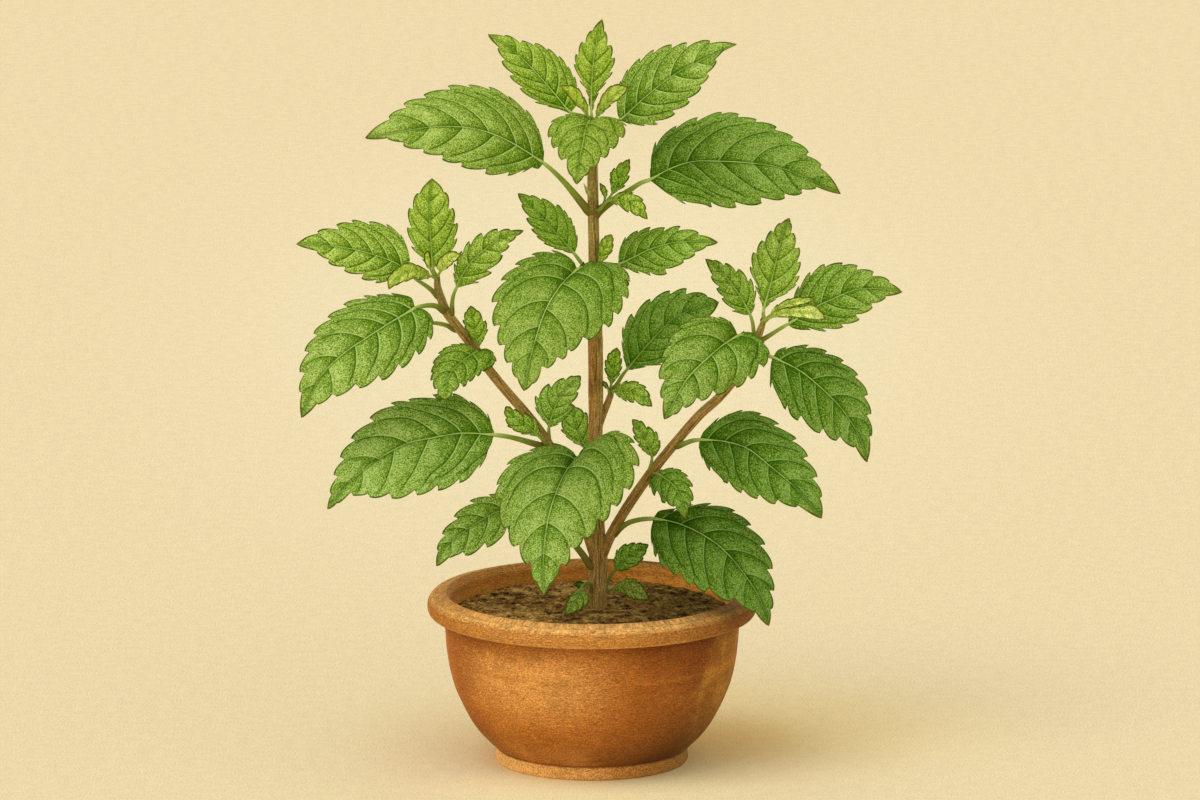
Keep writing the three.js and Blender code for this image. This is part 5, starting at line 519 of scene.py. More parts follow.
    # the pale side vein itself: clear near the midrib, gone before the margin
    show = m.mul(m.ramp(t, 0.30, 0.86, 1.0, 0.0), m.ramp(along, 0.74, 0.92, 1.0, 0.0))
    line = m.mul(m.ramp(m.math("ABSOLUTE", m.add(dist, 0.10)), 0.10, 0.34, 1.0, 0.0), m.mul(m.mul(show, crisp), m.mul(m.add(0.50, m.mul(loud, 0.50)), 0.74)))
    c = m.mix(line, c, srgb(178, 210, 104) if not under else srgb(184, 196, 130))
    # painted shadow: a fine dark line just past each side vein, along its outer part
    cut = m.mul(m.ramp(m.math("ABSOLUTE", m.sub(dist, 0.12)), 0.10, 0.42, 1.0, 0.0), m.mul(m.sub(fade, m.mul(show, fade)), 0.62))
    c = m.mix(m.mul(cut, crisp), c, srgb(58, 92, 14) if not under else srgb(104, 124, 62))
    # shade right beside the midrib
    rib = m.mul(m.ramp(out, 0.45, 1.3, 1.0, 0.0), m.mul(blade, 0.50))
    c = m.mix(rib, c, srgb(50, 88, 10) if not under else srgb(104, 124, 64))
    # each leaf's tint: its own tone together with painted light and shade
    c = m.vmul(c, m.vec(m.mul(tone, warm), tone, m.mul(tone, blue)))
    # margin: thin olive-brown line, browner towards the tip of the blade
    tip = m.ramp(along, 0.75, 1.0)
    rim = m.mul(m.ramp(edge, 0.36, 0.92, 1.0, 0.0), m.ramp(g2, 0.25, 0.6, 0.65, 1.0, "LINEAR"))
    rim = m.mul(rim, m.math("MAXIMUM", m.ramp(out, 0.8, 2.6), m.ramp(along, 0.10, 0.25)))
    c = m.mix(rim, c, m.mix(tip, srgb(56, 82, 8), srgb(88, 84, 12)))
    halo = m.mul(m.ramp(edge, 0.5, 1.8, 1.0, 0.0), m.ramp(g3, 0.45, 0.62))
    c = m.mix(m.mul(halo, 0.30), c, srgb(150, 152, 50))
    m.colour(c)
    h = m.mul(m.ramp(near, 0.0, 0.8, 0.0, 1.0), 1.0)
    h = m.sub(1.0, m.mul(m.sub(1.0, h), fade))
    if under:
        h = m.sub(1.0, h)
    h = m.add(h, m.mul(m.mul(g2, 0.35), m.add(0.4, m.mul(loud, 0.6))))
    h = m.add(h, m.mul(g1, 0.25))
    h = m.add(h, m.mul(m.mul(strokes, 0.25), calm))
    m.bump(h, 0.00030, 0.9)
    return m.mat


def stalk_look(name):
    m = Look(name, rough=0.7, spec=0.04)
    x, a, _ = m.uv("Vein")       # x: -1 at the stem, 0 at the blade, 1 at the tip of the midrib
    brown, rmm, _ = m.uv("Scale")  # brown: how far the bark runs out along the stalk
    tone, young, _ = m.uv("Tone")
    pos = m.coord()
    g = m.noise(pos, 1700.0, 2.0, 0.65)
    strokes = m.noise(m.vec(m.mul(m.math("SINE", a), 3.0), m.mul(m.math("COSINE", a), 3.0), m.mul(x, 4.0)), 2.6, 3.0, 0.6)
    c = m.mix(m.ramp(x, -0.95, -0.45), srgb(128, 128, 44), srgb(150, 170, 66))
    c = m.mix(m.ramp(x, -0.3, 0.10), c, srgb(202, 224, 122))
    c = m.mix(m.mul(m.ramp(x, 0.58, 1.0), 0.75), c, srgb(92, 122, 30))
    quiet, _s, _z = m.uv("Quiet")
    c = m.mix(m.mul(m.mul(quiet, 0.62), m.ramp(x, -0.5, 0.15)), c, srgb(112, 148, 40))
    c = m.mix(m.mul(brown, m.ramp(x, -1.0, -0.45, 0.85, 0.0)), c, srgb(126, 98, 44))
    c = m.mix(m.mul(young, m.ramp(x, -0.5, 0.3, 0.3, 0.6, "LINEAR")), c, srgb(186, 196, 92))
    k = m.ramp(strokes, 0.3, 0.7, 0.80, 1.16, "LINEAR")
    k = m.mul(k, m.ramp(g, 0.3, 0.7, 0.86, 1.12, "LINEAR"))
    # the stalk takes its leaf's brightness too, partly painted light and shade
    k = m.mul(k, m.ramp(tone, 0.3, 1.0, 0.68, 1.0, "LINEAR"))
    m.colour(m.shade(c, k))
    m.bump(m.add(m.mul(strokes, 0.8), m.mul(g, 0.3)), 0.00018, 0.9)
    return m.mat


def stem_look(name, woody):
    m = Look(name, rough=0.72, spec=0.25)
    x, a, _ = m.uv("Along")      # x: height or length in mm, a: angle round
    side, new, _ = m.uv("Age")   # side: on the branches 1 where the bark reddens, on the main stem a painted highlight down its left, lit side; new: 1 at the green tip
    pos = m.coord()
    sa, ca = m.math("SINE", a), m.math("COSINE", a)
    strokes = m.noise(m.vec(m.mul(sa, 3.2), m.mul(ca, 3.2), m.mul(x, 0.05)), 2.4, 4.0, 0.62)
    fine = m.noise(m.vec(m.mul(sa, 9.0), m.mul(ca, 9.0), m.mul(x, 0.22)), 2.2, 3.0, 0.6)
    grain = m.noise(pos, 1700.0, 2.0, 0.65)
    patch = m.noise(pos, 70.0, 3.0, 0.6)
    c = m.mix(m.ramp(patch, 0.38, 0.62), srgb(164, 134, 62), srgb(190, 156, 80))
    # orange tint: real reddening on the branches, a painted highlight on the main stem's left side
    c = m.mix(m.mul(side, 0.62), c, srgb(196, 124, 56))
    c = m.mix(m.mul(new, 0.80), c, srgb(158, 148, 64))
    bud = m.ramp(new, 1.15, 1.6)
    c = m.mix(m.ramp(strokes, 0.50, 0.66, 0.0, 0.75), c, srgb(214, 184, 112))
    c = m.mix(m.ramp(strokes, 0.49, 0.33, 0.0, 0.85), c, srgb(78, 54, 22))
    k = m.ramp(fine, 0.3, 0.7, 0.50, 1.56, "LINEAR")
    k = m.mul(k, m.ramp(grain, 0.3, 0.7, 0.56, 1.48, "LINEAR"))
    c = m.mix(bud, c, srgb(198, 196, 98))
    m.colour(m.shade(c, k))
    m.bump(m.add(m.add(m.mul(strokes, 1.0), m.mul(fine, 0.7)), m.mul(grain, 0.3)), 0.0005, 0.9)
    return m.mat


def terracotta_look(name):
    m = Look(name, rough=0.82, spec=0.18)
    pos = m.coord()
    x, y, z = m.split(pos)
    r = m.math("SQRT", m.add(m.mul(x, x), m.mul(y, y)))
    ux, uy = m.math("DIVIDE", x, m.math("MAXIMUM", r, 0.001)), m.math("DIVIDE", y, m.math("MAXIMUM", r, 0.001))
    hmm = m.mul(z, 1000.0)
    rmm = m.mul(r, 1000.0)
    # turning marks: long round the pot, thin in height
    run = m.add(hmm, m.mul(rmm, 0.6))
    rings = m.noise(m.vec(m.mul(ux, 1.3), m.mul(uy, 1.3), m.mul(run, 0.42)), 1.5, 4.0, 0.62)
    pencil = m.noise(m.vec(m.mul(ux, 9.0), m.mul(uy, 9.0), m.mul(run, 1.25)), 1.5, 3.0, 0.65)
    fine = m.noise(m.vec(m.mul(ux, 34.0), m.mul(uy, 34.0), m.mul(run, 2.2)), 1.6, 2.0, 0.6)
    grain = m.noise(pos, 1900.0, 2.0, 0.75)
    cloud = m.noise(pos, 26.0, 3.0, 0.55)
    cloud2 = m.noise(pos, 70.0, 3.0, 0.6)
    c = m.mix(m.ramp(cloud, 0.36, 0.64), srgb(184, 108, 36), srgb(210, 132, 50))
    c = m.mix(m.ramp(cloud2, 0.52, 0.72, 0.0, 0.35), c, srgb(226, 156, 78))
    c = m.mix(m.ramp(rings, 0.52, 0.74, 0.0, 0.20), c, srgb(222, 154, 80))
    c = m.mix(m.ramp(rings, 0.46, 0.26, 0.0, 0.26), c, srgb(164, 92, 34))
    # the rim is paler and less red, with painted highlights along its crest and its lower lip and a painted shadow line
    # under the lip; the foot is duller, and paler on its left side as painted light
    rim = m.mul(m.ramp(hmm, 57.2, 57.9), m.ramp(rmm, 55.6, 56.6))
    c = m.mix(m.mul(rim, 0.80), c, srgb(188, 122, 52))
    top = m.mul(m.ramp(hmm, 64.9, 65.15), m.ramp(rmm, 61.5, 62.1, 1.0, 0.0))
    c = m.mix(m.mul(top, 0.80), c, srgb(193, 130, 58))
    # painted highlight along the crest of the rim
    wob = m.ramp(cloud2, 0.3, 0.7, -0.4, 0.4, "LINEAR")
    crest_highlight = m.mul(m.ramp(m.math("ABSOLUTE", m.sub(m.add(rmm, wob), 62.0)), 0.40, 1.10, 1.0, 0.0), m.ramp(hmm, 64.0, 64.8))
    c = m.mix(m.mul(crest_highlight, 0.80), c, srgb(236, 178, 88))
    brow = m.mul(m.ramp(m.math("ABSOLUTE", m.sub(hmm, 63.3)), 0.3, 1.3, 1.0, 0.0), m.ramp(rmm, 62.4, 63.0))
    c = m.mix(m.mul(brow, 0.30), c, srgb(176, 110, 44))
    # painted highlight along the lower lip of the rim
    lip_highlight = m.mul(m.ramp(m.math("ABSOLUTE", m.sub(hmm, 58.5)), 0.2, 0.9, 1.0, 0.0), m.ramp(rmm, 60.4, 61.4))
    c = m.mix(m.mul(lip_highlight, 0.35), c, srgb(228, 170, 96))
    # painted shadow: a thin dark line under the lower edge of the rim
    under_lip_shadow = m.mul(m.ramp(m.math("ABSOLUTE", m.sub(hmm, 57.95)), 0.10, 0.42, 1.0, 0.0), m.ramp(rmm, 60.6, 61.6))
    c = m.mix(m.mul(under_lip_shadow, 0.62), c, srgb(118, 66, 22))
    foot = m.ramp(hmm, 4.9, 5.5, 1.0, 0.0)
    c = m.mix(m.mul(foot, 0.85), c, srgb(230, 168, 90))
    # painted light: the foot paler on its left side
    c = m.vmul(c, m.mix(m.mul(foot, m.ramp(ux, -0.95, -0.15, 1.0, 0.0)), (1.0, 1.0, 1.0, 1.0), (1.24, 1.36, 1.42, 1.0)))
    # painted shade: the body darker low down, above the foot
    low_shade = m.mul(m.ramp(hmm, 5.1, 24.0, 1.0, 0.0), m.ramp(hmm, 5.0, 5.6))
    c = m.mix(m.mul(low_shade, 0.45), c, srgb(156, 96, 40))
    # painted shade in the groove above the foot
    groove = m.mul(m.ramp(m.math("ABSOLUTE", m.sub(hmm, 5.4)), 0.15, 0.9, 1.0, 0.0), m.ramp(rmm, 34.0, 35.5))
    c = m.mix(m.mul(groove, 0.60), c, srgb(112, 62, 20))
    # painted shade: a darker band under the rim and in the crease where the rim meets the body; the inner wall, paler
    # on its right-hand side as painted light, with a painted highlight along its top and a painted shadow line below
    # that
    under = m.mul(m.ramp(hmm, 51.0, 57.6), m.ramp(rmm, 57.7, 58.6, 1.0, 0.0))
    outer = m.math("MAXIMUM", m.ramp(rmm, 55.6, 56.6), m.ramp(hmm, 40.0, 46.0, 1.0, 0.0))
    c = m.mix(m.mul(m.mul(under, outer), 0.50), c, srgb(140, 76, 26))
    # painted shade in the crease where the rim meets the body
    join = m.mul(m.ramp(hmm, 56.4, 57.5), m.mul(m.ramp(hmm, 57.9, 58.3, 1.0, 0.0), m.ramp(rmm, 60.0, 61.5, 1.0, 0.0)))
    c = m.mix(m.mul(m.mul(join, outer), 0.75), c, srgb(112, 60, 20))
    inner = m.mul(m.ramp(rmm, 55.6, 56.4, 1.0, 0.0), m.ramp(hmm, 50.0, 58.0))
    c = m.mix(m.mul(inner, 0.75), c, srgb(206, 138, 54))
    # painted light: the inner wall paler on its right-hand side
    c = m.vmul(c, m.mix(m.mul(inner, m.ramp(ux, -0.15, 0.55)), (1.0, 1.0, 1.0, 1.0), (1.70, 1.69, 1.84, 1.0)))
    # painted highlight along the top of the inner wall
    bead_highlight = m.mul(m.ramp(hmm, 63.2, 64.2), m.ramp(rmm, 55.0, 55.4))
    c = m.mix(m.mul(bead_highlight, 0.55), c, srgb(226, 168, 92))
    shadow = m.mul(m.ramp(rmm, 54.9, 55.3, 1.0, 0.0), m.ramp(m.math("ABSOLUTE", m.sub(hmm, 62.3)), 0.3, 1.6, 1.0, 0.0))
    c = m.mix(m.mul(shadow, 0.22), c, srgb(118, 66, 22))
    # painted light and shade: a painted highlight on the left front shoulder, painted shade round the right flank and
    # low down
    face = m.add(m.mul(ux, -0.42), m.mul(uy, -0.91))
    painted_highlight = m.mul(m.ramp(face, 0.70, 1.0), m.mul(m.ramp(hmm, 16.0, 40.0), m.ramp(hmm, 44.0, 57.0, 1.0, 0.25)))
    c = m.mix(m.mul(m.mul(painted_highlight, outer), 0.62), c, srgb(244, 180, 100))
    turn = m.add(m.mul(ux, 0.90), m.mul(uy, 0.30))
    away_from_light = m.add(turn, m.ramp(cloud2, 0.3, 0.7, -0.14, 0.14, "LINEAR"))
    # painted shade round the right flank
    flank = m.mul(m.ramp(away_from_light, -0.42, 0.90), outer)
    c = m.vmul(c, m.mix(flank, (1.0, 1.0, 1.0, 1.0), (0.55, 0.63, 0.60, 1.0)))
    # painted shade low on the right; painted light low on the front
    lowr = m.mul(m.mul(m.ramp(away_from_light, 0.0, 0.70), m.ramp(hmm, 8.0, 38.0, 1.0, 0.0)), m.ramp(hmm, 5.2, 5.8))
    c = m.vmul(c, m.mix(lowr, (1.0, 1.0, 1.0, 1.0), (0.80, 0.76, 0.80, 1.0)))
    lowf = m.mul(m.mul(m.ramp(away_from_light, -0.75, -0.25), m.ramp(away_from_light, 0.45, 0.05, 0.0, 1.0)), m.mul(m.ramp(hmm, 8.0, 26.0, 1.0, 0.0), m.ramp(hmm, 5.2, 5.8)))
    c = m.vmul(c, m.mix(lowf, (1.0, 1.0, 1.0, 1.0), (1.02, 1.08, 1.24, 1.0)))
    # the side away from the light in the drawing is browner, the far flank a little paler again
    body = m.mul(outer, m.mul(m.sub(1.0, rim), m.ramp(hmm, 5.2, 5.8)))
    c = m.vmul(c, m.mix(m.mul(body, m.ramp(away_from_light, -0.52, -0.02)), (1.0, 1.0, 1.0, 1.0), (0.74, 0.63, 0.56, 1.0)))
    # painted reflected light: the far right flank paler again
    flank = m.mix(m.ramp(uy, -0.05, 0.45), (1.76, 2.26, 2.30, 1.0), (1.55, 1.62, 1.60, 1.0))
    c = m.vmul(c, m.mix(m.mul(body, m.ramp(away_from_light, 0.40, 0.82)), (1.0, 1.0, 1.0, 1.0), flank))
    # painted light: the lower body paler on the left side
    c = m.vmul(c, m.mix(m.mul(body, m.mul(m.ramp(away_from_light, -0.45, -0.15, 1.0, 0.0), m.ramp(hmm, 8.0, 18.0, 1.0, 0.0))), (1.0, 1.0, 1.0, 1.0), (1.25, 1.50, 2.10, 1.0)))
    # painted shade: the far left edge of the body darker
    c = m.vmul(c, m.mix(m.mul(body, m.ramp(away_from_light, -0.88, -0.60, 1.0, 0.0)), (1.0, 1.0, 1.0, 1.0), (0.92, 0.87, 0.78, 1.0)))
    # painted light and shade on the foot: paler on the left, darker on the right
    c = m.vmul(c, m.mix(foot, (1.0, 1.0, 1.0, 1.0), m.mix(m.ramp(away_from_light, -0.45, 0.10), (1.12, 1.17, 1.28, 1.0), (0.82, 0.70, 0.58, 1.0))))
    # painted light and shade on the rim: paler on the left, darker on the right, a little darker again at the far left
    rimr = m.mix(m.ramp(away_from_light, 0.10, 0.75), (1.10, 1.15, 1.22, 1.0), (0.83, 0.69, 0.50, 1.0))
    rimr = m.vmul(rimr, m.mix(m.ramp(ux, -0.95, -0.45, 1.0, 0.0), (1.0, 1.0, 1.0, 1.0), (0.91, 0.86, 0.70, 1.0)))
    c = m.vmul(c, m.mix(rim, (1.0, 1.0, 1.0, 1.0), rimr))
    # painted shade: darker low on the body towards the right
    deep = m.mul(m.mul(m.ramp(away_from_light, -0.55, 0.35), m.ramp(hmm, 7.0, 40.0, 1.0, 0.0)), m.ramp(hmm, 5.2, 5.8))
    c = m.vmul(c, m.mix(deep, (1.0, 1.0, 1.0, 1.0), (0.66, 0.68, 0.68, 1.0)))
    # painted shade: the body darker towards the floor
    floorward = m.mul(m.ramp(hmm, 5.6, 34.0, 1.0, 0.0), m.ramp(hmm, 5.2, 5.8))
    c = m.vmul(c, m.mix(floorward, (1.0, 1.0, 1.0, 1.0), (0.90, 0.91, 0.92, 1.0)))
    k = m.mul(m.ramp(pencil, 0.3, 0.7, 0.76, 1.22, "LINEAR"), m.ramp(cloud2, 0.32, 0.68, 0.90, 1.08, "LINEAR"))
    k = m.mul(k, m.ramp(fine, 0.3, 0.7, 0.55, 1.45, "LINEAR"))
    k = m.mul(k, m.ramp(grain, 0.3, 0.7, 0.57, 1.43, "LINEAR"))
    m.colour(m.shade(c, k))
    h = m.add(m.mul(rings, 0.8), m.add(m.mul(pencil, 0.5), m.add(m.mul(fine, 0.35), m.mul(grain, 0.4))))
    m.bump(h, 0.00030, 0.8)
    return m.mat


def soil_look(name):
    m = Look(name, rough=0.95, spec=0.1)
    pos = m.coord()
    x, y, z = m.split(pos)
    streak = m.noise(m.vec(m.mul(x, 190.0), m.mul(y, 300.0), m.mul(z, 800.0)), 1.0, 3.0, 0.6)
    fleck = m.noise(m.vec(m.mul(x, 420.0), m.mul(y, 760.0), m.mul(z, 900.0)), 1.0, 2.0, 0.6)
    grain = m.noise(pos, 1700.0, 2.0, 0.65)
    patch = m.noise(pos, 46.0, 3.0, 0.6)
    c = m.mix(m.ramp(patch, 0.38, 0.64), srgb(130, 94, 42), srgb(162, 120, 56))
    c = m.mix(m.ramp(streak, 0.50, 0.64, 0.0, 0.78), c, srgb(206, 166, 96))
    c = m.mix(m.ramp(fleck, 0.58, 0.70, 0.0, 0.72), c, srgb(218, 182, 116))
    c = m.mix(m.ramp(streak, 0.47, 0.35, 0.0, 0.92), c, srgb(52, 34, 14))
    # painted shade: the soil darker towards the right-hand side
    c = m.vmul(c, m.mix(m.ramp(x, -0.01, 0.040), (1.0, 1.0, 1.0, 1.0), (0.53, 0.55, 0.46, 1.0)))
    c = m.shade(c, m.ramp(grain, 0.3, 0.7, 0.58, 1.58, "LINEAR"))
    m.colour(c)
    m.bump(m.add(m.mul(streak, 0.8), m.mul(grain, 0.5)), 0.0006, 0.9)
    return m.mat


def paper_look(name):
    m = Look(name, rough=0.95, spec=0.05)
    pos = m.coord()
    a = m.noise(pos, 1300.0, 3.0, 0.75)
    b = m.noise(pos, 180.0, 3.0, 0.6)
    k = m.mul(m.ramp(a, 0.25, 0.75, 0.70, 1.29, "LINEAR"), m.ramp(b, 0.25, 0.75, 0.95, 1.045, "LINEAR"))
    # painted shadow and painted light on the paper: a warm painted shadow beside and behind the pot, a darker painted
    # shadow close to its right side, and paler painted light far behind, round the front and to the right
    x, y, z = m.split(pos)
    def spot(cx, cy, rx, ry):
        dx, dy = m.math("DIVIDE", m.sub(x, cx), rx), m.math("DIVIDE", m.sub(y, cy), ry)
        return m.ramp(m.math("SQRT", m.add(m.mul(dx, dx), m.mul(dy, dy))), 0.15, 1.0, 1.0, 0.0)
    c = m.shade(srgb(237, 219, 175), k)
    # painted light far behind the pot
    c = m.vmul(c, m.mix(spot(0.0, 0.85, 0.26, 0.70), (1.0, 1.0, 1.0, 1.0), (1.040, 1.085, 1.130, 1.0)))
    # warm painted shadow beside and behind the pot
    c = m.vmul(c, m.mix(spot(0.040, 0.050, 0.150, 0.130), (1.0, 1.0, 1.0, 1.0), (1.05, 0.98, 0.78, 1.0)))
    # darker painted shadow close to the pot's right side
    c = m.vmul(c, m.mix(spot(0.044, 0.030, 0.056, 0.056), (1.0, 1.0, 1.0, 1.0), (0.91, 0.80, 0.60, 1.0)))
    # painted light round the front
    c = m.vmul(c, m.mix(spot(0.0, -0.03, 0.26, 0.22), (1.0, 1.0, 1.0, 1.0), (1.045, 1.05, 1.05, 1.0)))
    # painted light to the right of the pot
    c = m.vmul(c, m.mix(spot(0.122, 0.04, 0.070, 0.070), (1.0, 1.0, 1.0, 1.0), (1.06, 1.05, 1.03, 1.0)))
    # painted light just in front of the foot
    c = m.vmul(c, m.mix(spot(0.0, -0.050, 0.090, 0.042), (1.0, 1.0, 1.0, 1.0), (1.13, 1.18, 1.12, 1.0)))
    m.colour(c)
    return m.mat


M_LEAF = leaf_look("leaf_upper_face", False)
M_UNDER = leaf_look("leaf_under_face", True)
M_STALK = stalk_look("leaf_stalk_and_midrib")
M_WOOD = stem_look("stem_bark", True)
M_POT = terracotta_look("terracotta")
M_SOIL = soil_look("potting_soil")
M_PAPER = paper_look("pale_floor")

# ------------------------------------------------------------------ stems
AXES = {}
for stem_name, rows in STEMS.items():
    AXES[stem_name] = Axis([r[:3] for r in rows])


def nearest_stem(p):
    best = None
    for n, ax in AXES.items():
        d = np.linalg.norm(ax.q - p, axis=1)
        k = int(d.argmin())
        if best is None or d[k] < best[0]:
            rows = np.array(STEMS[n], float)
            r = rows[np.linalg.norm(rows[:, :3] - ax.q[k], axis=1).argmin(), 3]
            best = (float(d[k]), ax.q[k].copy(), float(r), n)
    return best


def stem_piece(name, rows, sides, step, seed, extra=None):
    rows = np.array(rows, float)
    ax = Axis(rows[:, :3], 600)
    knots = np.array([np.linalg.norm(ax.q - r[:3], axis=1).argmin() for r in rows])
    n = int(ax.L / step)
    l = np.linspace(0, ax.L, n)
    # smooth radius through the measured ones
    rr = np.interp(l, ax.l[knots], rows[:, 3])
    ker = np.hanning(int(3.0 / step) | 1)
    ker /= ker.sum()
    pad = len(ker) // 2
    if pad:
        rs = np.convolve(np.pad(rr, pad, mode="edge"), ker, "valid")
        rr = np.where((l < 3) | (l > ax.L - 3), rr, rs)
    p = ax.at(l)
    a = np.linspace(0, 2 * np.pi, sides, endpoint=False)
    A, Lg = np.meshgrid(a, l)
    c = np.stack([np.cos(A) * 2.2, np.sin(A) * 2.2, Lg * 0.05], -1)
    f = np.stack([np.cos(A) * 5.0, np.sin(A) * 5.0, Lg * 0.16], -1)
    rough = 1 + 0.11 * fbm(c, 3, seed) + 0.07 * fbm(f, 3, seed + 9)
    R = rr[:, None] * rough
    ring, _ = tube(p, R, sides)
    v, quads, tris, ids = tube_mesh(ring, 0)
    uv = np.zeros((len(v), 2))
    uv[ids.ravel(), 0] = np.repeat(l, sides + 1)
    uv[ids.ravel(), 1] = np.tile(np.linspace(0, 2 * np.pi, sides + 1), n)
    uv[-2:] = [[0, 0], [ax.L, 0]]
    age = np.zeros((len(v), 2))
    zz = v[:, 2]
    if name == "main_stem":
        # painted highlight: on the main stem the orange tint goes on its left, lit side only
        left = np.clip(-(v[:, 0] - np.interp(zz, p[:, 2], p[:, 0])) / 2.4 + 0.15, 0, 1)
        age[:, 0] = left * smooth(zz, 105, 135) * (1 - smooth(zz, 175, 200)) + 0.35 * left * smooth(zz, 60, 80)
        age[:, 1] = 0.75 * smooth(zz, 175, 250)
    else:
        al = uv[:, 0] / ax.L
        age[:, 0] = 0.35 * (1 - smooth(al, 0.5, 1.0))
        age[:, 1] = 0.7 * smooth(al, 0.80, 1.0)
    bake = np.zeros((len(v), 2))
    bake[ids.ravel(), 0] = np.repeat(l / ax.L * 0.96 + 0.02, sides + 1)
    bake[ids.ravel(), 1] = np.tile(np.linspace(0.02, 0.92, sides + 1), n)
    bake[-2:] = [[0.02, 0.97], [0.98, 0.97]]
    parts = [(v, quads, tris, uv, age, bake)]
    return parts


def join_parts(name, parts, mats):
    V, Q, T, UV, AG, BK = [], [], [], [], [], []
    base = 0
    for v, q, t, uv, age, bake in parts:
        V.append(v); Q.append(np.asarray(q).reshape(-1, 4) + base); T.append(np.asarray(t).reshape(-1, 3) + base)
        UV.append(uv); AG.append(age); BK.append(bake)
        base += len(v)
    return mesh_object(name, np.concatenate(V), np.concatenate(Q), np.concatenate(T), mats, 0, 0,
                       {"OFBake": np.concatenate(BK), "Along": np.concatenate(UV), "Age": np.concatenate(AG)})


def bud_part(points, radii, sides=12, place=0.0):
    ax = Axis(points, 80)
    l = np.linspace(0, ax.L, 14)
    x = l / ax.L
    r = np.interp(x, np.linspace(0, 1, len(radii)), radii)
    ring, _ = tube(ax.at(l), r, sides)
    v, quads, tris, ids = tube_mesh(ring, 0)
    uv = np.zeros((len(v), 2)); age = np.zeros((len(v), 2)); bake = np.zeros((len(v), 2))
    uv[ids.ravel(), 0] = np.repeat(l, sides + 1)
    uv[ids.ravel(), 1] = np.tile(np.linspace(0, 2 * np.pi, sides + 1), len(l))
    age[:, 1] = 1.8
    bake[ids.ravel(), 0] = np.repeat(0.02 + place + x * 0.1, sides + 1)
    bake[ids.ravel(), 1] = np.tile(np.linspace(0.93, 0.96, sides + 1), len(l))
    bake[-2:] = [0.02 + place, 0.965]
    return (v, quads, tris, uv, age, bake)


main_rows = [[2.2, 0.3, 45.5, 1.1], [2.45, 0.1, 49, 2.2]] + STEMS["main_stem"]
stem_parts = stem_piece("main_stem", main_rows, 36, 0.75, 3)
stem_parts.append(bud_part([[0.4, -1.0, 222.2], [-1.1, -3.0, 224.0], [-2.2, -3.7, 226.2], [-3.1, -3.6, 228.2]], [0.75, 0.7, 0.85, 0.55, 0.08], place=0.1))
stems = {"main_stem": join_parts("main_stem_bark", stem_parts, [M_WOOD])}
stems["left_branch"] = join_parts("left_branch_bark", stem_piece("left_branch", STEMS["left_branch"], 28, 0.7, 11), [M_WOOD])
rb = stem_piece("right_branch", STEMS["right_branch"], 28, 0.7, 23)
rb.append(bud_part([[65.2, -8.0, 174.3], [66.8, -10.2, 176.2], [68.6, -11.6, 177.3]], [0.6, 0.65, 0.5, 0.08], place=0.1))
stems["right_branch"] = join_parts("right_branch_bark", rb, [M_WOOD])
stems["middle_shoot"] = join_parts("middle_shoot_bark", stem_piece("middle_shoot", STEMS["middle_shoot"], 22, 0.5, 31), [M_WOOD])
for n, ob in stems.items():
    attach(ob, "root")
    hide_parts(n)


# ------------------------------------------------------------------ leaves
# Where the side veins leave the midrib, as shares of its length. Below 0 they spring
# from the base of the blade into its lobes.
VEINS = {
    "big": [-0.34, -0.14, 0.05, 0.17, 0.31, 0.48, 0.66, 1.15],
    "mid": [-0.40, -0.14, 0.09, 0.28, 0.49, 0.70, 1.2],
    "small": [-0.5, -0.12, 0.16, 0.42, 0.68, 1.25],
    "tiny": [-0.5, -0.12, 0.22, 0.56, 1.25],
}
VEINS_OF = {
    "crown_leaf_left": ([-0.32, -0.06, 0.064, 0.169, 0.301, 0.481, 0.656, 1.15], [-0.32, -0.05, 0.068, 0.169, 0.338, 0.484, 0.656, 1.15]),
    "crown_leaf_right": ([-0.3, -0.03, 0.10, 0.197, 0.359, 0.525, 0.673, 0.83, 1.2], [-0.3, -0.06, 0.037, 0.102, 0.209, 0.359, 0.529, 0.673, 0.84, 1.2]),
    "left_lower_leaf": ([-0.3, -0.05, 0.073, 0.168, 0.35, 0.541, 0.731, 1.15], [-0.3, -0.05, 0.073, 0.172, 0.292, 0.465, 0.635, 0.82, 1.2]),
    "left_big_leaf": ([-0.28, -0.10, 0.03, 0.129, 0.287, 0.449, 0.651, 1.15], [-0.26, -0.09, 0.023, 0.125, 0.217, 0.372, 0.573, 0.78, 1.2]),
    "right_leaf_front": ([-0.42, -0.22, -0.08, 0.131, 0.319, 0.541, 0.75, 1.2], [-0.25, -0.03, 0.141, 0.418, 0.643, 0.82, 1.2]),
    "upper_leaf_front": ([-0.30, -0.085, 0.045, 0.194, 0.452, 0.679, 1.15], [-0.28, -0.10, 0.049, 0.155, 0.384, 0.588, 0.756, 1.2]),
    "lower_leaf_front": ([-0.44, -0.20, -0.01, 0.129, 0.367, 0.567, 0.751, 1.2], [-0.30, -0.14, 0.02, 0.125, 0.35, 0.567, 0.751, 1.2]),
}


TEETH_OF = {"upper_leaf_front": 0.36, "lower_leaf_front": 0.34, "right_leaf_front": 0.32}


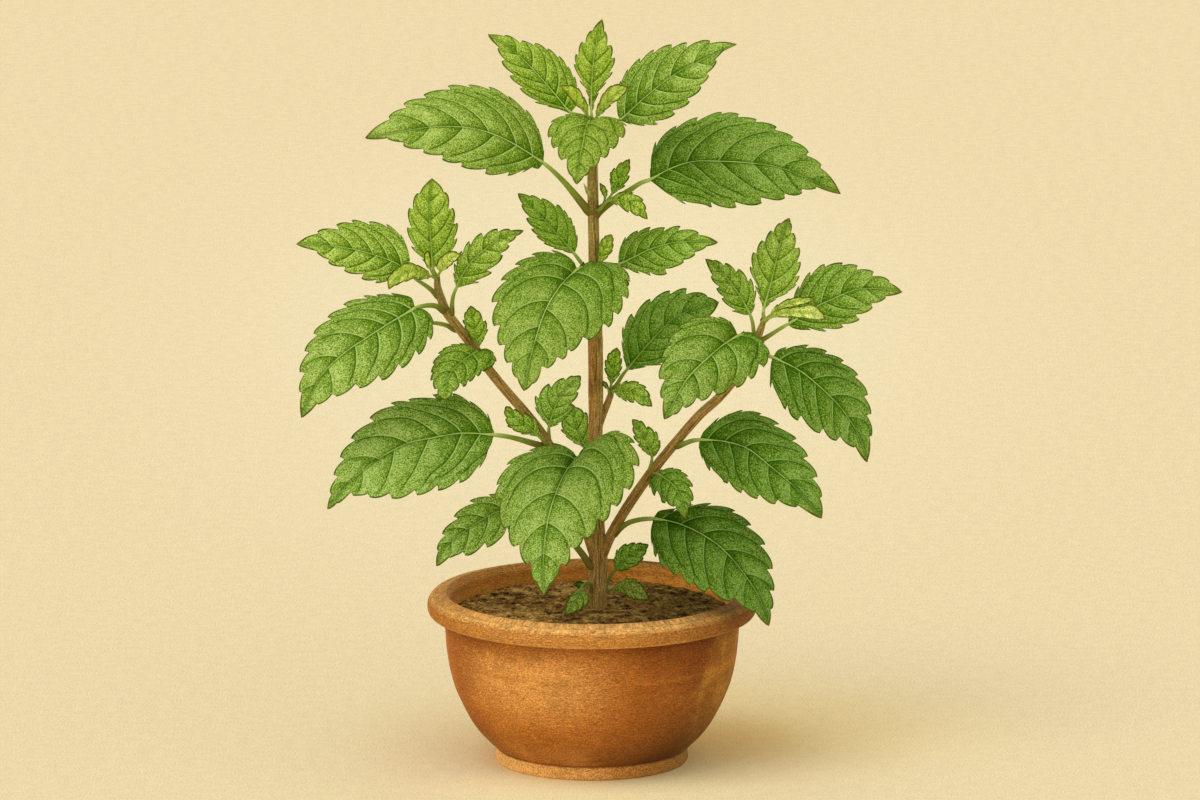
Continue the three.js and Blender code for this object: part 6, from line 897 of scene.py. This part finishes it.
class Leaf:
    def __init__(self, d):
        self.d = d
        self.rib = Axis(d["rib"])
        self.L = self.rib.L
        self.ref = np.array([0.0, 0, 1]) if d["up"] else VIEW
        # the lower margin of a blade shows the deeper teeth
        self.teeth = {}
        for side in ("left", "right"):
            w = max(q[1] for q in d[side])
            u = np.array([self.L * 0.5])
            drop = float((self.point(u, np.array([w]), side) - self.rib.at(u))[0, 2]) / w
            self.teeth[side] = 0.34 if drop > 0.25 else (0.31 if drop < -0.25 else 0.33)
            if self.L < 24:
                self.teeth[side] = 0.27 if self.L > 13 else 0.20
            if d["name"] in TEETH_OF:
                self.teeth[side] = TEETH_OF[d["name"]]

    def point(self, u, v, side):
        d = self.d
        t = self.rib.dir(u)
        e1 = unit(np.cross(self.ref, t))
        e2 = np.cross(t, e1)
        x = np.clip(u / self.L, 0, 1)
        roll = np.radians(d["roll"] + d["twist"] * x)
        fold = d["fold"][1] + (d["fold"][0] - d["fold"][1]) * (1 - x) ** 2
        s = 1.0 if side == "left" else -1.0
        a = s * roll + fold
        ca, sa = np.cos(a)[..., None], np.sin(a)[..., None]
        out = s * ca * e1 + sa * e2
        nor = -s * sa * e1 + ca * e2
        k = d["curl"]
        p = self.rib.at(u)
        v = np.asarray(v)[..., None]
        if abs(k) < 1e-6:
            return p + out * v
        return p + out * (np.sin(k * v) / k) - nor * ((1 - np.cos(k * v)) / k)

    def outline(self, side, K):
        """Points of the smooth line through the tooth tips, and how far the margin lies inside it."""
        tips = np.array([[0.0, 0.0]] + [list(q) for q in self.d[side]] + [[self.L, 0.0]])
        n = len(tips)
        gaps = np.linalg.norm(np.diff(tips, axis=0), axis=1)
        usual = float(np.median(gaps[1:-1])) if n > 3 else float(gaps[0])
        soft = self.d["young"] > 0.6
        E, P = [np.zeros((1, 2))], [np.zeros(1)]
        for i in range(n - 1):
            ln = float(gaps[i])
            plain = i == 0 or (i <= 3 and ln < 0.66 * usual and tips[i][0] < 0.16 * self.L)
            if plain:
                w = np.linspace(0, 1, max(4, int(round(K * min(ln / 5.0, 2.0)))) + 1)[1:]
            elif i == n - 2:
                w = np.concatenate([[0.0, 0.04], np.linspace(0.04, 1, max(6, int(K * 1.3)))[1:]])
            else:
                w = np.concatenate([[0.0, 0.04], np.linspace(0.04, 1, K)[1:]])
            e = spline(tips, i, w)
            if plain:
                dep = (0.07 if tips[1][0] < 0.05 * self.L else -0.05) * ln * np.sin(np.pi * w) if i == 0 else np.zeros(len(w))
            else:
                # a tooth: straight back to the notch, then a long arc out to the next tip
                D = min((0.13 if soft else self.teeth[side]) * ln, 3.0, 0.45 * max(tips[i][1], 0.4))
                if tips[min(i + 1, n - 1)][0] < 0.10 * self.L:
                    D *= 0.62
                if i == n - 2:
                    D = min(0.13 * ln, 1.9, 0.40 * max(tips[i][1], 0.4))
                dep = -D * (1 - w) ** 1.5 + 0.045 * ln * np.sin(np.pi * w) * (0 if soft else 1)
                if i < n - 2:
                    dep = dep - 0.10 * D * smooth(w, 0.80, 1.0)
                dep[0] = -0.50 * D
            E.append(e); P.append(dep)
        E, P = np.concatenate(E), np.concatenate(P)
        E[:, 1] = np.maximum(E[:, 1], 0)
        E[0, 1] = 0
        E[-1] = [self.L, 0]
        P[0] = P[-1] = 0
        return E, P

    def half(self, side, K, T, veins):
        E, dep = self.outline(side, K)
        L = self.L
        n = len(E)
        x = E[:, 0] - 0.5 * E[:, 1]
        j0 = int(np.argmin(x[: max(2, n // 2)]))
        xm = x[j0]
        um = np.zeros(n)
        y = np.maximum.accumulate(x[j0:])
        um[j0:] = L * (y - xm) / (L - xm)
        inc = 0.004 * L / n
        for j in range(1, n):
            um[j] = max(um[j], um[j - 1] + inc)
        um *= L / um[-1]
        # the margin moves in and out along the rows, so that no two rows cross
        row = E - np.stack([um, np.zeros(n)], 1)
        row /= np.maximum(np.linalg.norm(row, axis=1, keepdims=True), 1e-6)
        O = E + row * dep[:, None]
        O[:, 1] = np.maximum(O[:, 1], 0.05)
        O[0] = E[0]
        O[-1] = E[-1]
        arc = np.concatenate([[0], np.cumsum(np.linalg.norm(np.diff(E, axis=0), axis=1))])
        kap = um.copy()
        kap[:j0] = kap[j0] - 0.6 * (arc[j0] - arc[:j0])
        t = np.linspace(0, 1, T + 1)
        tt = t[None, :]
        U = um[:, None] + (E[:, 0] - um)[:, None] * tt
        V = E[:, 1][:, None] * tt
        w = np.clip((tt - 0.55) / 0.45, 0, 1) ** 1.5
        U = U + (O[:, 0] - E[:, 0])[:, None] * w
        V = V + (O[:, 1] - E[:, 1])[:, None] * w
        V = np.maximum(V, 0)
        # side veins leave the midrib at a slant and arch forward towards the margin
        wide = gauss(E[:, 1], len(E) * 0.05)
        far = (0.25 + 0.75 * smooth(um / L, 0.0, 0.5))[:, None]
        q = kap[:, None] - wide[:, None] * (0.22 * tt + (1 - far) * 1.25 * tt ** 4.6 + far * 0.85 * tt ** 2.6)
        pos = np.array(veins) * L
        xi = np.interp(q, pos, np.arange(len(pos)))
        lo = q < pos[0]
        xi = np.where(lo, (q - pos[0]) / (pos[1] - pos[0]), xi)
        gap = np.interp(q, (pos[1:] + pos[:-1]) / 2, np.diff(pos))
        lean = 1 / np.sqrt(1 + (0.72 + (1 - far) * 5.75 * tt ** 3.6 + far * 2.2 * tt ** 1.6) ** 2)
        fan = smooth(np.arange(n), j0 - 3, j0 + 3)[:, None]
        gap = gap * (fan * lean + (1 - fan) * tt / 0.6 * np.sqrt(lean))
        rib = np.linalg.norm(np.stack([O[:, 0] - um, O[:, 1]], 1), axis=1)
        edge = (1 - tt) * rib[:, None]
        return dict(U=U, V=V, xi=xi, gap=gap, edge=edge, t=np.broadcast_to(tt, U.shape).copy(), E=E, O=O)

    def build(self, seed):
        d, L = self.d, self.L
        if L > 42:
            K, T, veins = 8, 19, VEINS["big"]
        elif L > 22:
            K, T, veins = 7, 14, VEINS["mid"]
        elif L > 11:
            K, T, veins = 6, 10, VEINS["small"]
        else:
            K, T, veins = 5, 8, VEINS["tiny"]
        veins = VEINS_OF.get(d["name"], (veins, [v + 0.03 for v in veins]))
        bright, warm, blue = LEAF_TONE_AND_PAINTED_LIGHT.get(d["name"], (1.0, 1.0, 1.0))
        rng = np.random.default_rng(seed)
        amp = 0.085 * min(L * 0.13, 9.5)
        V, Q, TR, QM, TM = [], [], [], [], []
        UVs = {"OFBake": [], "Vein": [], "Scale": [], "Edge": [], "Tone": [], "Hue": [], "Quiet": []}
        spacing = float(np.clip(L * 0.15 / 9.0, 0.12, 1.0))
        quiet = max(float(np.interp(L, [11, 18, 30, 42, 56], [1.0, 0.9, 0.7, 0.45, 0.15])), 0.8 * d["young"], 0.8 if d["name"] == "shoot_leaf_back" else 0.0)
        base = 0
        halfw = max(max(q[1] for q in d["left"]), max(q[1] for q in d["right"])) + 1.0
        lo_u = min(0.0, min(q[0] for q in d["left"]), min(q[0] for q in d["right"])) - 1.0
        s = min(0.96 / (L - lo_u + 1.0), 0.44 / (2 * halfw))
        for side in ("left", "right"):
            g = self.half(side, K, T, veins[0] if side == "left" else veins[1])
            U, W = g["U"], g["V"]
            P = self.point(U, W, side)
            du, dv = np.gradient(P, axis=0), np.gradient(P, axis=1)
            N = np.cross(du, dv)
            if side == "right":
                N = -N
            # the fan of rows at the base has almost no length along the midrib
            bad = np.linalg.norm(N, axis=-1) < 1e-7
            N[bad] = [0, 0, 0]
            N = unit(N)
            N[:, 0] = N[:, 1]
            for k in range(2):
                N[1:-1] = unit(N[:-2] + 2 * N[1:-1] + N[2:])
            t = g["t"]
            b = np.abs(np.sin(np.pi * g["xi"])) ** 0.85
            rise = amp * (b - 0.35) * smooth(W, 0.2, 3.5) * (1 - smooth(t, 0.55, 0.95))
            sink = -0.28 * np.exp(-(W / 1.5) ** 2) * min(1, L / 40)
            wave = 0.30 * amp * np.sin(2 * np.pi * (np.arange(len(U))[:, None] / (K * 2.3)) + seed) * t ** 3
            bumps = 0.20 * amp * fbm(np.stack([U * 0.35, W * 0.35, np.full_like(U, seed * 3.1)], -1), 3, seed)
            P = P + N * (rise + sink + wave + bumps)[..., None]
            th = 0.17 * (1 - 0.45 * t ** 4)
            top, bot = P + N * th[..., None], P - N * th[..., None]
            n, m = U.shape
            ids = np.arange(n * m).reshape(n, m)
            a, c = base + ids, base + n * m + ids
            V += [top.reshape(-1, 3), bot.reshape(-1, 3)]
            flip = side == "right"
            Q += [grid_quads(a, flip), grid_quads(c, not flip)]
            QM += [np.zeros((n - 1) * (m - 1)), np.ones((n - 1) * (m - 1))]
            # margin strip, with its own vertices so that the edge stays crisp
            e = base + 2 * n * m + np.arange(2 * n).reshape(2, n)
            V += [top[:, -1], bot[:, -1]]
            strip = grid_quads(np.stack([e[0], e[1]], 1), flip)
            Q.append(strip); QM.append(np.zeros(n - 1))
            # inner strip under the midrib closes the half
            f = base + 2 * n * m + 2 * n + np.arange(2 * n).reshape(2, n)
            V += [top[:, 0], bot[:, 0]]
            Q.append(grid_quads(np.stack([f[0], f[1]], 1), not flip)); QM.append(np.ones(n - 1))
            sg = 1.0 if side == "left" else -1.0
            bu = (U - lo_u) * s + 0.02
            bv = W * sg * s
            def both(x, y):
                g2 = np.stack([x, y], -1).reshape(-1, 2)
                mar = np.stack([x[:, -1], y[:, -1]], -1)
                mid = np.stack([x[:, 0], y[:, 0]], -1)
                return np.concatenate([g2, g2, mar, mar, mid, mid])
            UVs["OFBake"] += [
                np.stack([bu, 0.755 + bv], -1).reshape(-1, 2), np.stack([bu, 0.275 + bv], -1).reshape(-1, 2),
                np.stack([bu[:, -1], 0.755 + bv[:, -1]], -1), np.stack([bu[:, -1], 0.755 + bv[:, -1] + sg * 0.004], -1),
                np.stack([bu[:, 0], 0.275 + bv[:, 0]], -1), np.stack([bu[:, 0], 0.275 + bv[:, 0] + sg * 0.001], -1),
            ]
            UVs["Vein"].append(both(g["xi"], t))
            UVs["Scale"].append(both(g["gap"], W))
            UVs["Edge"].append(both(g["edge"], np.clip(U / L, -0.3, 1)))
            cnt = 2 * n * m + 4 * n
            UVs["Tone"].append(np.tile([[bright, d["young"]]], (cnt, 1)))
            UVs["Hue"].append(np.tile([[warm, blue]], (cnt, 1)))
            UVs["Quiet"].append(np.tile([[quiet, spacing]], (cnt, 1)))
            base += cnt
            if side == "left":
                n_mid = N[:, 0].copy()
                u_mid = U[:, 0].copy()
            else:
                nm = unit(n_mid[np.clip(np.searchsorted(u_mid, U[:, 0]), 0, len(u_mid) - 1)] + N[:, 0])
                mid_u, mid_n = U[:, 0].copy(), nm
        # stalk and midrib: one tapering rod from inside the stem to the tip of the blade
        st = [np.array(p, float) for p in d["stalk"]]
        near = nearest_stem(st[0])
        stepv = unit(st[1] - st[0])
        if d["name"].startswith("base_"):
            st.insert(0, st[0] + np.array([0, 0, -3.0]))
        elif near[0] < 9:
            root = near[1] + stepv * min(0.4, near[2] * 0.3)
            if np.linalg.norm(root - st[0]) > 0.4:
                st.insert(0, root)
        sx = Axis(st, 160)
        ls = np.linspace(0, sx.L, max(8, int(sx.L / 0.7)))[:-1]
        lr = np.linspace(0, L * 0.995, max(16, int(L / 1.1)))
        pr = self.rib.at(lr)
        nn = np.stack([np.interp(lr, mid_u, mid_n[:, k]) for k in range(3)], -1)
        nn = unit(nn)
        x = lr / L
        r_rib = np.maximum(d["r"][1] * 0.85 * (1 - x) ** 1.0 * np.where(lr < 3, 1.0, 1.0), 0.14)
        show = 0.17 + 0.10 * (1 - x)
        off = (r_rib - show) * smooth(lr, 0, 4.0) + 0.28 * min(1, L / 40) * smooth(lr, 0, 3.0) * 0.9
        pr = pr - nn * off[:, None]
        pts = np.concatenate([sx.at(ls), pr])
        y = ls / sx.L
        r_st = d["r"][0] + (d["r"][1] - d["r"][0]) * smooth(y)
        r_st = r_st * (1 + 0.45 * np.exp(-ls / 1.6))
        rad = np.concatenate([r_st, r_rib])
        k3 = np.array([0.25, 0.5, 0.25])
        for _ in range(4):
            rad[1:-1] = k3[0] * rad[:-2] + k3[1] * rad[1:-1] + k3[2] * rad[2:]
            pts[1:-1] = k3[0] * pts[:-2] + k3[1] * pts[1:-1] + k3[2] * pts[2:]
        sides = 14 if L > 22 else 10
        a = np.linspace(0, 2 * np.pi, sides, endpoint=False)
        A, B = np.meshgrid(a, np.arange(len(pts)))
        R = rad[:, None] * (1 + 0.10 * fbm(np.stack([np.cos(A) * 1.6, np.sin(A) * 1.6, B * 0.08], -1), 2, seed + 5))
        ring, _ = tube(pts, R, sides)
        v, quads, tris, ids = tube_mesh(ring, base)
        V.append(v); Q.append(quads); QM.append(np.full(len(quads), 2)); TR.append(tris); TM.append(np.full(len(tris), 2))
        xx = np.concatenate([y - 1, lr / L])
        vein = np.zeros((len(v), 2)); bake = np.zeros((len(v), 2))
        loc = (ids - base).ravel()
        vein[loc, 0] = np.repeat(xx, sides + 1)
        vein[loc, 1] = np.tile(np.linspace(0, 2 * np.pi, sides + 1), len(pts))
        vein[-2:] = [[-1, 0], [1, 0]]
        ll = np.concatenate([[0], np.cumsum(np.linalg.norm(np.diff(pts, axis=0), axis=1))])
        bake[loc, 0] = np.repeat(0.02 + 0.96 * ll / ll[-1], sides + 1)
        bake[loc, 1] = np.tile(np.linspace(0.004, 0.044, sides + 1), len(pts))
        bake[-2:] = [[0.02, 0.047], [0.98, 0.047]]
        UVs["OFBake"].append(bake); UVs["Vein"].append(vein)
        bark = 0.15 if d["young"] > 0.6 or d["name"].startswith("base_") or sx.L < 9 else 0.6
        UVs["Scale"].append(np.tile([[bark, 1.0]], (len(v), 1)))
        UVs["Edge"].append(np.ones((len(v), 2)))
        UVs["Tone"].append(np.tile([[0.45 if d["name"].startswith("base_") else bright, d["young"]]], (len(v), 1)))
        UVs["Hue"].append(np.tile([[warm, blue]], (len(v), 1)))
        UVs["Quiet"].append(np.tile([[quiet, spacing]], (len(v), 1)))
        return mesh_object(
            d["name"] + "_blade", np.concatenate(V), np.concatenate(Q), np.concatenate(TR),
            [M_LEAF, M_UNDER, M_STALK], np.concatenate(QM), np.concatenate(TM),
            {k: np.concatenate(x) for k, x in UVs.items()})


for i, d in enumerate(LEAVES):
    ob = Leaf(d).build(100 + i)
    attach(ob, "root")
    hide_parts(d["name"])

# ------------------------------------------------------------------ pot
SECTIONS = [
    [[0, 0], [12, 0], [24, 0], [36.6, 0]],
    [[36.6, 0], [37.05, 0.25], [37.3, 0.8], [37.3, 1.8], [37.15, 3.6], [36.95, 4.9]],
    [[36.95, 4.9], [36.85, 5.3], [37.3, 5.75], [38.7, 6.75]],
    [[38.7, 6.75], [42.6, 10.6], [46.5, 15.6], [50.9, 23.9], [53.3, 29.7], [55.0, 35.7], [56.4, 44.2], [57.0, 52], [57.1, 56.6]],
    [[57.1, 56.6], [57.25, 57.3], [57.7, 57.75], [58.8, 57.9], [61.4, 57.85], [62.5, 58.1], [63.2, 58.7], [63.7, 59.8], [63.95, 61.2],
     [63.85, 62.5]],
    [[63.85, 62.5], [63.5, 63.5], [62.95, 64.4], [62.4, 65.0], [62.0, 65.25], [61.5, 65.25], [60.6, 65.2], [59.3, 65.5], [58.1, 66.1],
     [57.3, 66.5], [56.75, 66.6], [56.3, 66.3]],
    [[56.3, 66.3], [55.75, 65.2], [55.3, 63.8], [54.5, 61.4], [53.6, 59.0], [53.2, 56], [52.85, 49], [50.9, 36.2], [47.0, 25.2], [42.6, 16.9], [37.2, 10.6],
     [32.6, 7.4], [22, 7.0], [11, 6.7], [0, 6.4]],
]
STEPS = [3, 4, 4, 6, 4, 4, 4]
prof = [[0.0, 0.0]]
for sec, st in zip(SECTIONS, STEPS):
    for i in range(len(sec) - 1):
        for w in np.linspace(0, 1, st + 1)[1:]:
            prof.append(list(spline(sec, i, w)))
prof = np.array(prof)
prof[:, 0] = np.maximum(prof[:, 0], 0)
SEG = 216
ang = np.linspace(0, 2 * np.pi, SEG + 1)
inner = prof[1:-1]
Rg, Ag = np.meshgrid(inner[:, 0], ang, indexing="ij")
Zg = np.repeat(inner[:, 1][:, None], SEG + 1, 1)
ring_noise = fbm(np.stack([np.cos(Ag) * 0.7, np.sin(Ag) * 0.7, Zg * 0.30 + Rg * 0.1], -1), 3, 41)
slow = fbm(np.stack([np.cos(Ag) * 1.3, np.sin(Ag) * 1.3, Zg * 0.05], -1), 2, 47)
live = smooth(Zg, 2.0, 6.0) * np.where(np.arange(len(inner))[:, None] < len(inner) * 0.86, 1.0, 0.0)
Rd = Rg + live * (0.16 * ring_noise + 0.24 * slow)
Zd = Zg + 0.18 * smooth(Zg, 60, 66) * slow
X, Y = Rd * np.cos(Ag), Rd * np.sin(Ag)
X[:, -1], Y[:, -1], Zd[:, -1] = X[:, 0], Y[:, 0], Zd[:, 0]
pv = np.stack([X, Y, Zd], -1)
nr_, nc_ = pv.shape[:2]
ids = np.arange(nr_ * nc_).reshape(nr_, nc_)
pq = grid_quads(ids, True)
pverts = np.concatenate([pv.reshape(-1, 3), [[0, 0, prof[0, 1]], [0, 0, prof[-1, 1]]]])
c0, c1 = nr_ * nc_, nr_ * nc_ + 1
pt = [[c0, ids[0, k + 1], ids[0, k]] for k in range(SEG)] + [[c1, ids[-1, k], ids[-1, k + 1]] for k in range(SEG)]
arc = np.concatenate([[0], np.cumsum(np.linalg.norm(np.diff(inner, axis=0), axis=1))])
cut = int(np.argmax(inner[:, 1] > 66.8))
cx = np.repeat(np.linspace(0.01, 0.99, SEG + 1)[None], nr_, 0)
cy = np.repeat((0.01 + 0.97 * arc / arc[-1])[:, None], SEG + 1, 1)
pb = np.concatenate([np.stack([cx, cy], -1).reshape(-1, 2), [[0.5, 0.004], [0.5, 0.99]]])
pot = mesh_object("pot_terracotta", pverts, pq, pt, [M_POT], 0, 0, {"OFBake": pb})

# join the seam, then cut the three drain holes
import bmesh
bm = bmesh.new()
bm.from_mesh(pot.data)
bmesh.ops.remove_doubles(bm, verts=bm.verts, dist=1e-7)
bm.to_mesh(pot.data)
bm.free()
cutters = []
for k in range(3):
    a = math.radians(90 + 120 * k)
    bm = bmesh.new()
    bmesh.ops.create_cone(bm, cap_ends=True, segments=40, radius1=0.004, radius2=0.004, depth=0.016)
    me = bpy.data.meshes.new("drain_cut")
    bm.to_mesh(me)
    bm.free()
    c = bpy.data.objects.new("drain_cut_%d" % k, me)
    c.location = (0.016 * math.cos(a), 0.016 * math.sin(a), 0.003)
    bpy.context.scene.collection.objects.link(c)
    md = pot.modifiers.new("cut%d" % k, "BOOLEAN")
    md.operation = "DIFFERENCE"
    md.solver = "EXACT"
    md.object = c
    cutters.append(c)
bpy.context.view_layer.update()
dg = bpy.context.evaluated_depsgraph_get()
done = bpy.data.meshes.new_from_object(pot.evaluated_get(dg))
pot.modifiers.clear()
pot.data = done
for c in cutters:
    bpy.data.objects.remove(c)
for p in pot.data.polygons:
    p.use_smooth = True
    p.material_index = 0
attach(pot, "root")
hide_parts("pot")


# ------------------------------------------------------------------ soil
def soil_top(x, y):
    r = np.hypot(x, y)
    mound = 1.7 * np.exp(-(r * r) / 256.0)
    return 58.7 + mound + 0.45 * np.sin(0.31 * x + 1.1) * np.cos(0.27 * y - 0.6) + 0.3 * np.sin(0.63 * y + 0.23 * x)


def crumbs(x, y):
    p = np.stack([x, y, np.zeros_like(x)], -1)
    lumps = 1.0 - np.abs(2 * noise3(p * 0.30, 5) - 1.0)
    small = 1.0 - np.abs(2 * noise3(p * 0.75 + 3.3, 8) - 1.0)
    tiny = noise3(p * np.array([1.5, 2.2, 1.0]), 12)
    return 1.15 * (lumps - 0.5) + 0.75 * (small - 0.5) + 0.55 * (tiny - 0.5)


NS = 250
g = np.linspace(-1, 1, NS)
A, B = np.meshgrid(g, g, indexing="ij")
with np.errstate(divide="ignore", invalid="ignore"):
    big = np.abs(A) > np.abs(B)
    rr = np.where(big, A, B)
    ph = np.where(big, (np.pi / 4) * np.where(A == 0, 0, B / np.where(A == 0, 1, A)), np.pi / 2 - (np.pi / 4) * np.where(B == 0, 0, A / np.where(B == 0, 1, B)))
SX, SY = 53.2 * rr * np.cos(ph), 53.2 * rr * np.sin(ph)
rad = np.hypot(SX, SY)
SZ = soil_top(SX, SY) + crumbs(SX, SY) * (1 - 0.5 * smooth(rad, 49, 53)) - 0.5 * smooth(rad, 50, 53)
sv = np.stack([SX, SY, SZ], -1).reshape(-1, 3)
sid = np.arange(NS * NS).reshape(NS, NS)
sq = grid_quads(sid)
rimloop = np.concatenate([sid[:-1, 0], sid[-1, :-1], sid[:0:-1, -1], sid[0, :0:-1]])
nl = len(rimloop)
ringang = np.arctan2(sv[rimloop, 1], sv[rimloop, 0])
wall = [[52.4, 50.0], [50.2, 36.3], [46.3, 25.4], [41.9, 17.2], [36.5, 11.1], [31.6, 7.8]]
rows_v, rows_i = [], [rimloop]
base = len(sv)
for r_, z_ in wall:
    rows_v.append(np.stack([r_ * np.cos(ringang), r_ * np.sin(ringang), np.full(nl, z_)], -1))
    rows_i.append(base + np.arange(nl))
    base += nl
rows_v.append(np.array([[0, 0, 6.8]]))
centre = base
rows_i = np.array(rows_i)
closed = np.concatenate([rows_i, rows_i[:, :1]], 1)
wq = grid_quads(closed)
wt = [[centre, closed[-1, k + 1], closed[-1, k]] for k in range(nl)]
sv = np.concatenate([sv] + rows_v)
# loose crumbs and bits of bark lying on the surface
rng = np.random.default_rng(77)
phi = (1 + 5 ** 0.5) / 2
ico = unit(np.array([[-1, phi, 0], [1, phi, 0], [-1, -phi, 0], [1, -phi, 0], [0, -1, phi], [0, 1, phi], [0, -1, -phi], [0, 1, -phi],
                     [phi, 0, -1], [phi, 0, 1], [-phi, 0, -1], [-phi, 0, 1]], float))
icof = [[0, 11, 5], [0, 5, 1], [0, 1, 7], [0, 7, 10], [0, 10, 11], [1, 5, 9], [5, 11, 4], [11, 10, 2], [10, 7, 6], [7, 1, 8],
        [3, 9, 4], [3, 4, 2], [3, 2, 6], [3, 6, 8], [3, 8, 9], [4, 9, 5], [2, 4, 11], [6, 2, 10], [8, 6, 7], [9, 8, 1]]
verts, faces, cache = [list(v) for v in ico], [], {}
for f in icof:
    m3 = []
    for a, b in ((f[0], f[1]), (f[1], f[2]), (f[2], f[0])):
        key = (min(a, b), max(a, b))
        if key not in cache:
            cache[key] = len(verts)
            verts.append(list(unit(np.array(verts[a]) + np.array(verts[b]))))
        m3.append(cache[key])
    faces += [[f[0], m3[0], m3[2]], [f[1], m3[1], m3[0]], [f[2], m3[2], m3[1]], m3]
ball, ballf = np.array(verts), np.array(faces)
clod_v, clod_t = [], []
base = len(sv)
for k in range(420):
    r_ = 51.0 * math.sqrt(rng.random())
    a = rng.random() * 2 * math.pi
    cx_, cy_ = r_ * math.cos(a), r_ * math.sin(a)
    if math.hypot(cx_ - 2.4, cy_) < 4.2:
        continue
    size = 0.45 + 1.1 * rng.random() ** 2.2
    sc = np.array([size * (1 + 0.8 * rng.random()), size, size * (0.5 + 0.3 * rng.random())])
    yaw = (rng.random() - 0.5) * 1.6
    q = ball * sc * (1 + 0.45 * fbm(ball * 1.3 + k * 5.1, 2, k)[:, None])
    q = np.stack([q[:, 0] * math.cos(yaw) - q[:, 1] * math.sin(yaw), q[:, 0] * math.sin(yaw) + q[:, 1] * math.cos(yaw), q[:, 2]], -1)
    z_ = float(soil_top(np.array(cx_), np.array(cy_)) + crumbs(np.array(cx_), np.array(cy_)))
    clod_v.append(q + [cx_, cy_, z_ + size * 0.15])
    clod_t.append(ballf + base)
    base += len(ball)
sv = np.concatenate([sv] + clod_v)
st_ = np.concatenate([np.array(wt)] + clod_t)
bake = np.zeros((len(sv), 2))
bake[:, 0] = 0.5 + sv[:, 0] / 110
bake[:, 1] = 0.5 + sv[:, 1] / 110
soil = mesh_object("soil_crumbs", sv, np.concatenate([sq, wq]), st_, [M_SOIL], 0, 0, {"Plan": bake})
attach(soil, "root")
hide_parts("soil")

# ------------------------------------------------------------------ floor, light, camera
fm = bpy.data.meshes.new("floor")
rad_f, nf = 14.0, 96
fa = np.linspace(0, 2 * np.pi, nf, endpoint=False)
rings_f = [0.25, 0.8, 2.5, 6.0, rad_f]
fv = [[0, 0, 0]]
for r_ in rings_f:
    fv += [[r_ * math.cos(a), r_ * math.sin(a), 0] for a in fa]
ff = [[0, 1 + k, 1 + (k + 1) % nf] for k in range(nf)]
for j in range(len(rings_f) - 1):
    for k in range(nf):
        a, b = 1 + j * nf + k, 1 + j * nf + (k + 1) % nf
        ff.append([a, a + nf, b + nf, b])
fm.from_pydata(fv, [], ff)
fm.materials.append(M_PAPER)
floor = bpy.data.objects.new("floor", fm)
bpy.context.scene.collection.objects.link(floor)

world = bpy.data.worlds.new("studio")
bpy.context.scene.world = world
world.use_nodes = True
wt_ = world.node_tree
bg = wt_.nodes["Background"]
bg.inputs["Color"].default_value = (1.0, 0.985, 0.95, 1)
bg.inputs["Strength"].default_value = 0.807
# beyond the floor the eye sees the same pale paper
seen = wt_.nodes.new("ShaderNodeBackground")
seen.inputs["Color"].default_value = srgb(239, 219, 172)
ray = wt_.nodes.new("ShaderNodeLightPath")
both_ = wt_.nodes.new("ShaderNodeMixShader")
wt_.links.new(ray.outputs["Is Camera Ray"], both_.inputs[0])
wt_.links.new(bg.outputs[0], both_.inputs[1])
wt_.links.new(seen.outputs[0], both_.inputs[2])
wt_.links.new(both_.outputs[0], wt_.nodes["World Output"].inputs["Surface"])


def sun(name, strength, azimuth, elevation, spread, colour):
    """azimuth: 0 from the viewer's side, negative from the left."""
    l = bpy.data.lights.new(name, "SUN")
    l.energy = strength
    l.angle = math.radians(spread)
    l.color = colour
    o = bpy.data.objects.new(name, l)
    a, e = math.radians(azimuth), math.radians(elevation)
    d = np.array([math.sin(a) * math.cos(e), -math.cos(a) * math.cos(e), math.sin(e)])
    from mathutils import Vector
    o.rotation_euler = Vector(d).to_track_quat("Z", "Y").to_euler()
    bpy.context.scene.collection.objects.link(o)
    return o


sun("key", 0.80, -42, 60, 36, (1.0, 0.97, 0.91))

cam = bpy.data.cameras.new("camera")
cam.lens = 341.53
cam.sensor_width = 36.0
cam.clip_start = 0.05
cam.clip_end = 60.0
co = bpy.data.objects.new("camera", cam)
D = 4.4
co.location = (0.0031, -D * math.cos(ELEV), 0.14237 + D * math.sin(ELEV))
co.rotation_euler = (math.radians(90 - 12.0), 0, 0)
bpy.context.scene.collection.objects.link(co)
bpy.context.scene.camera = co
bpy.context.scene.view_settings.view_transform = "Standard"
bpy.context.scene.view_settings.look = "None"
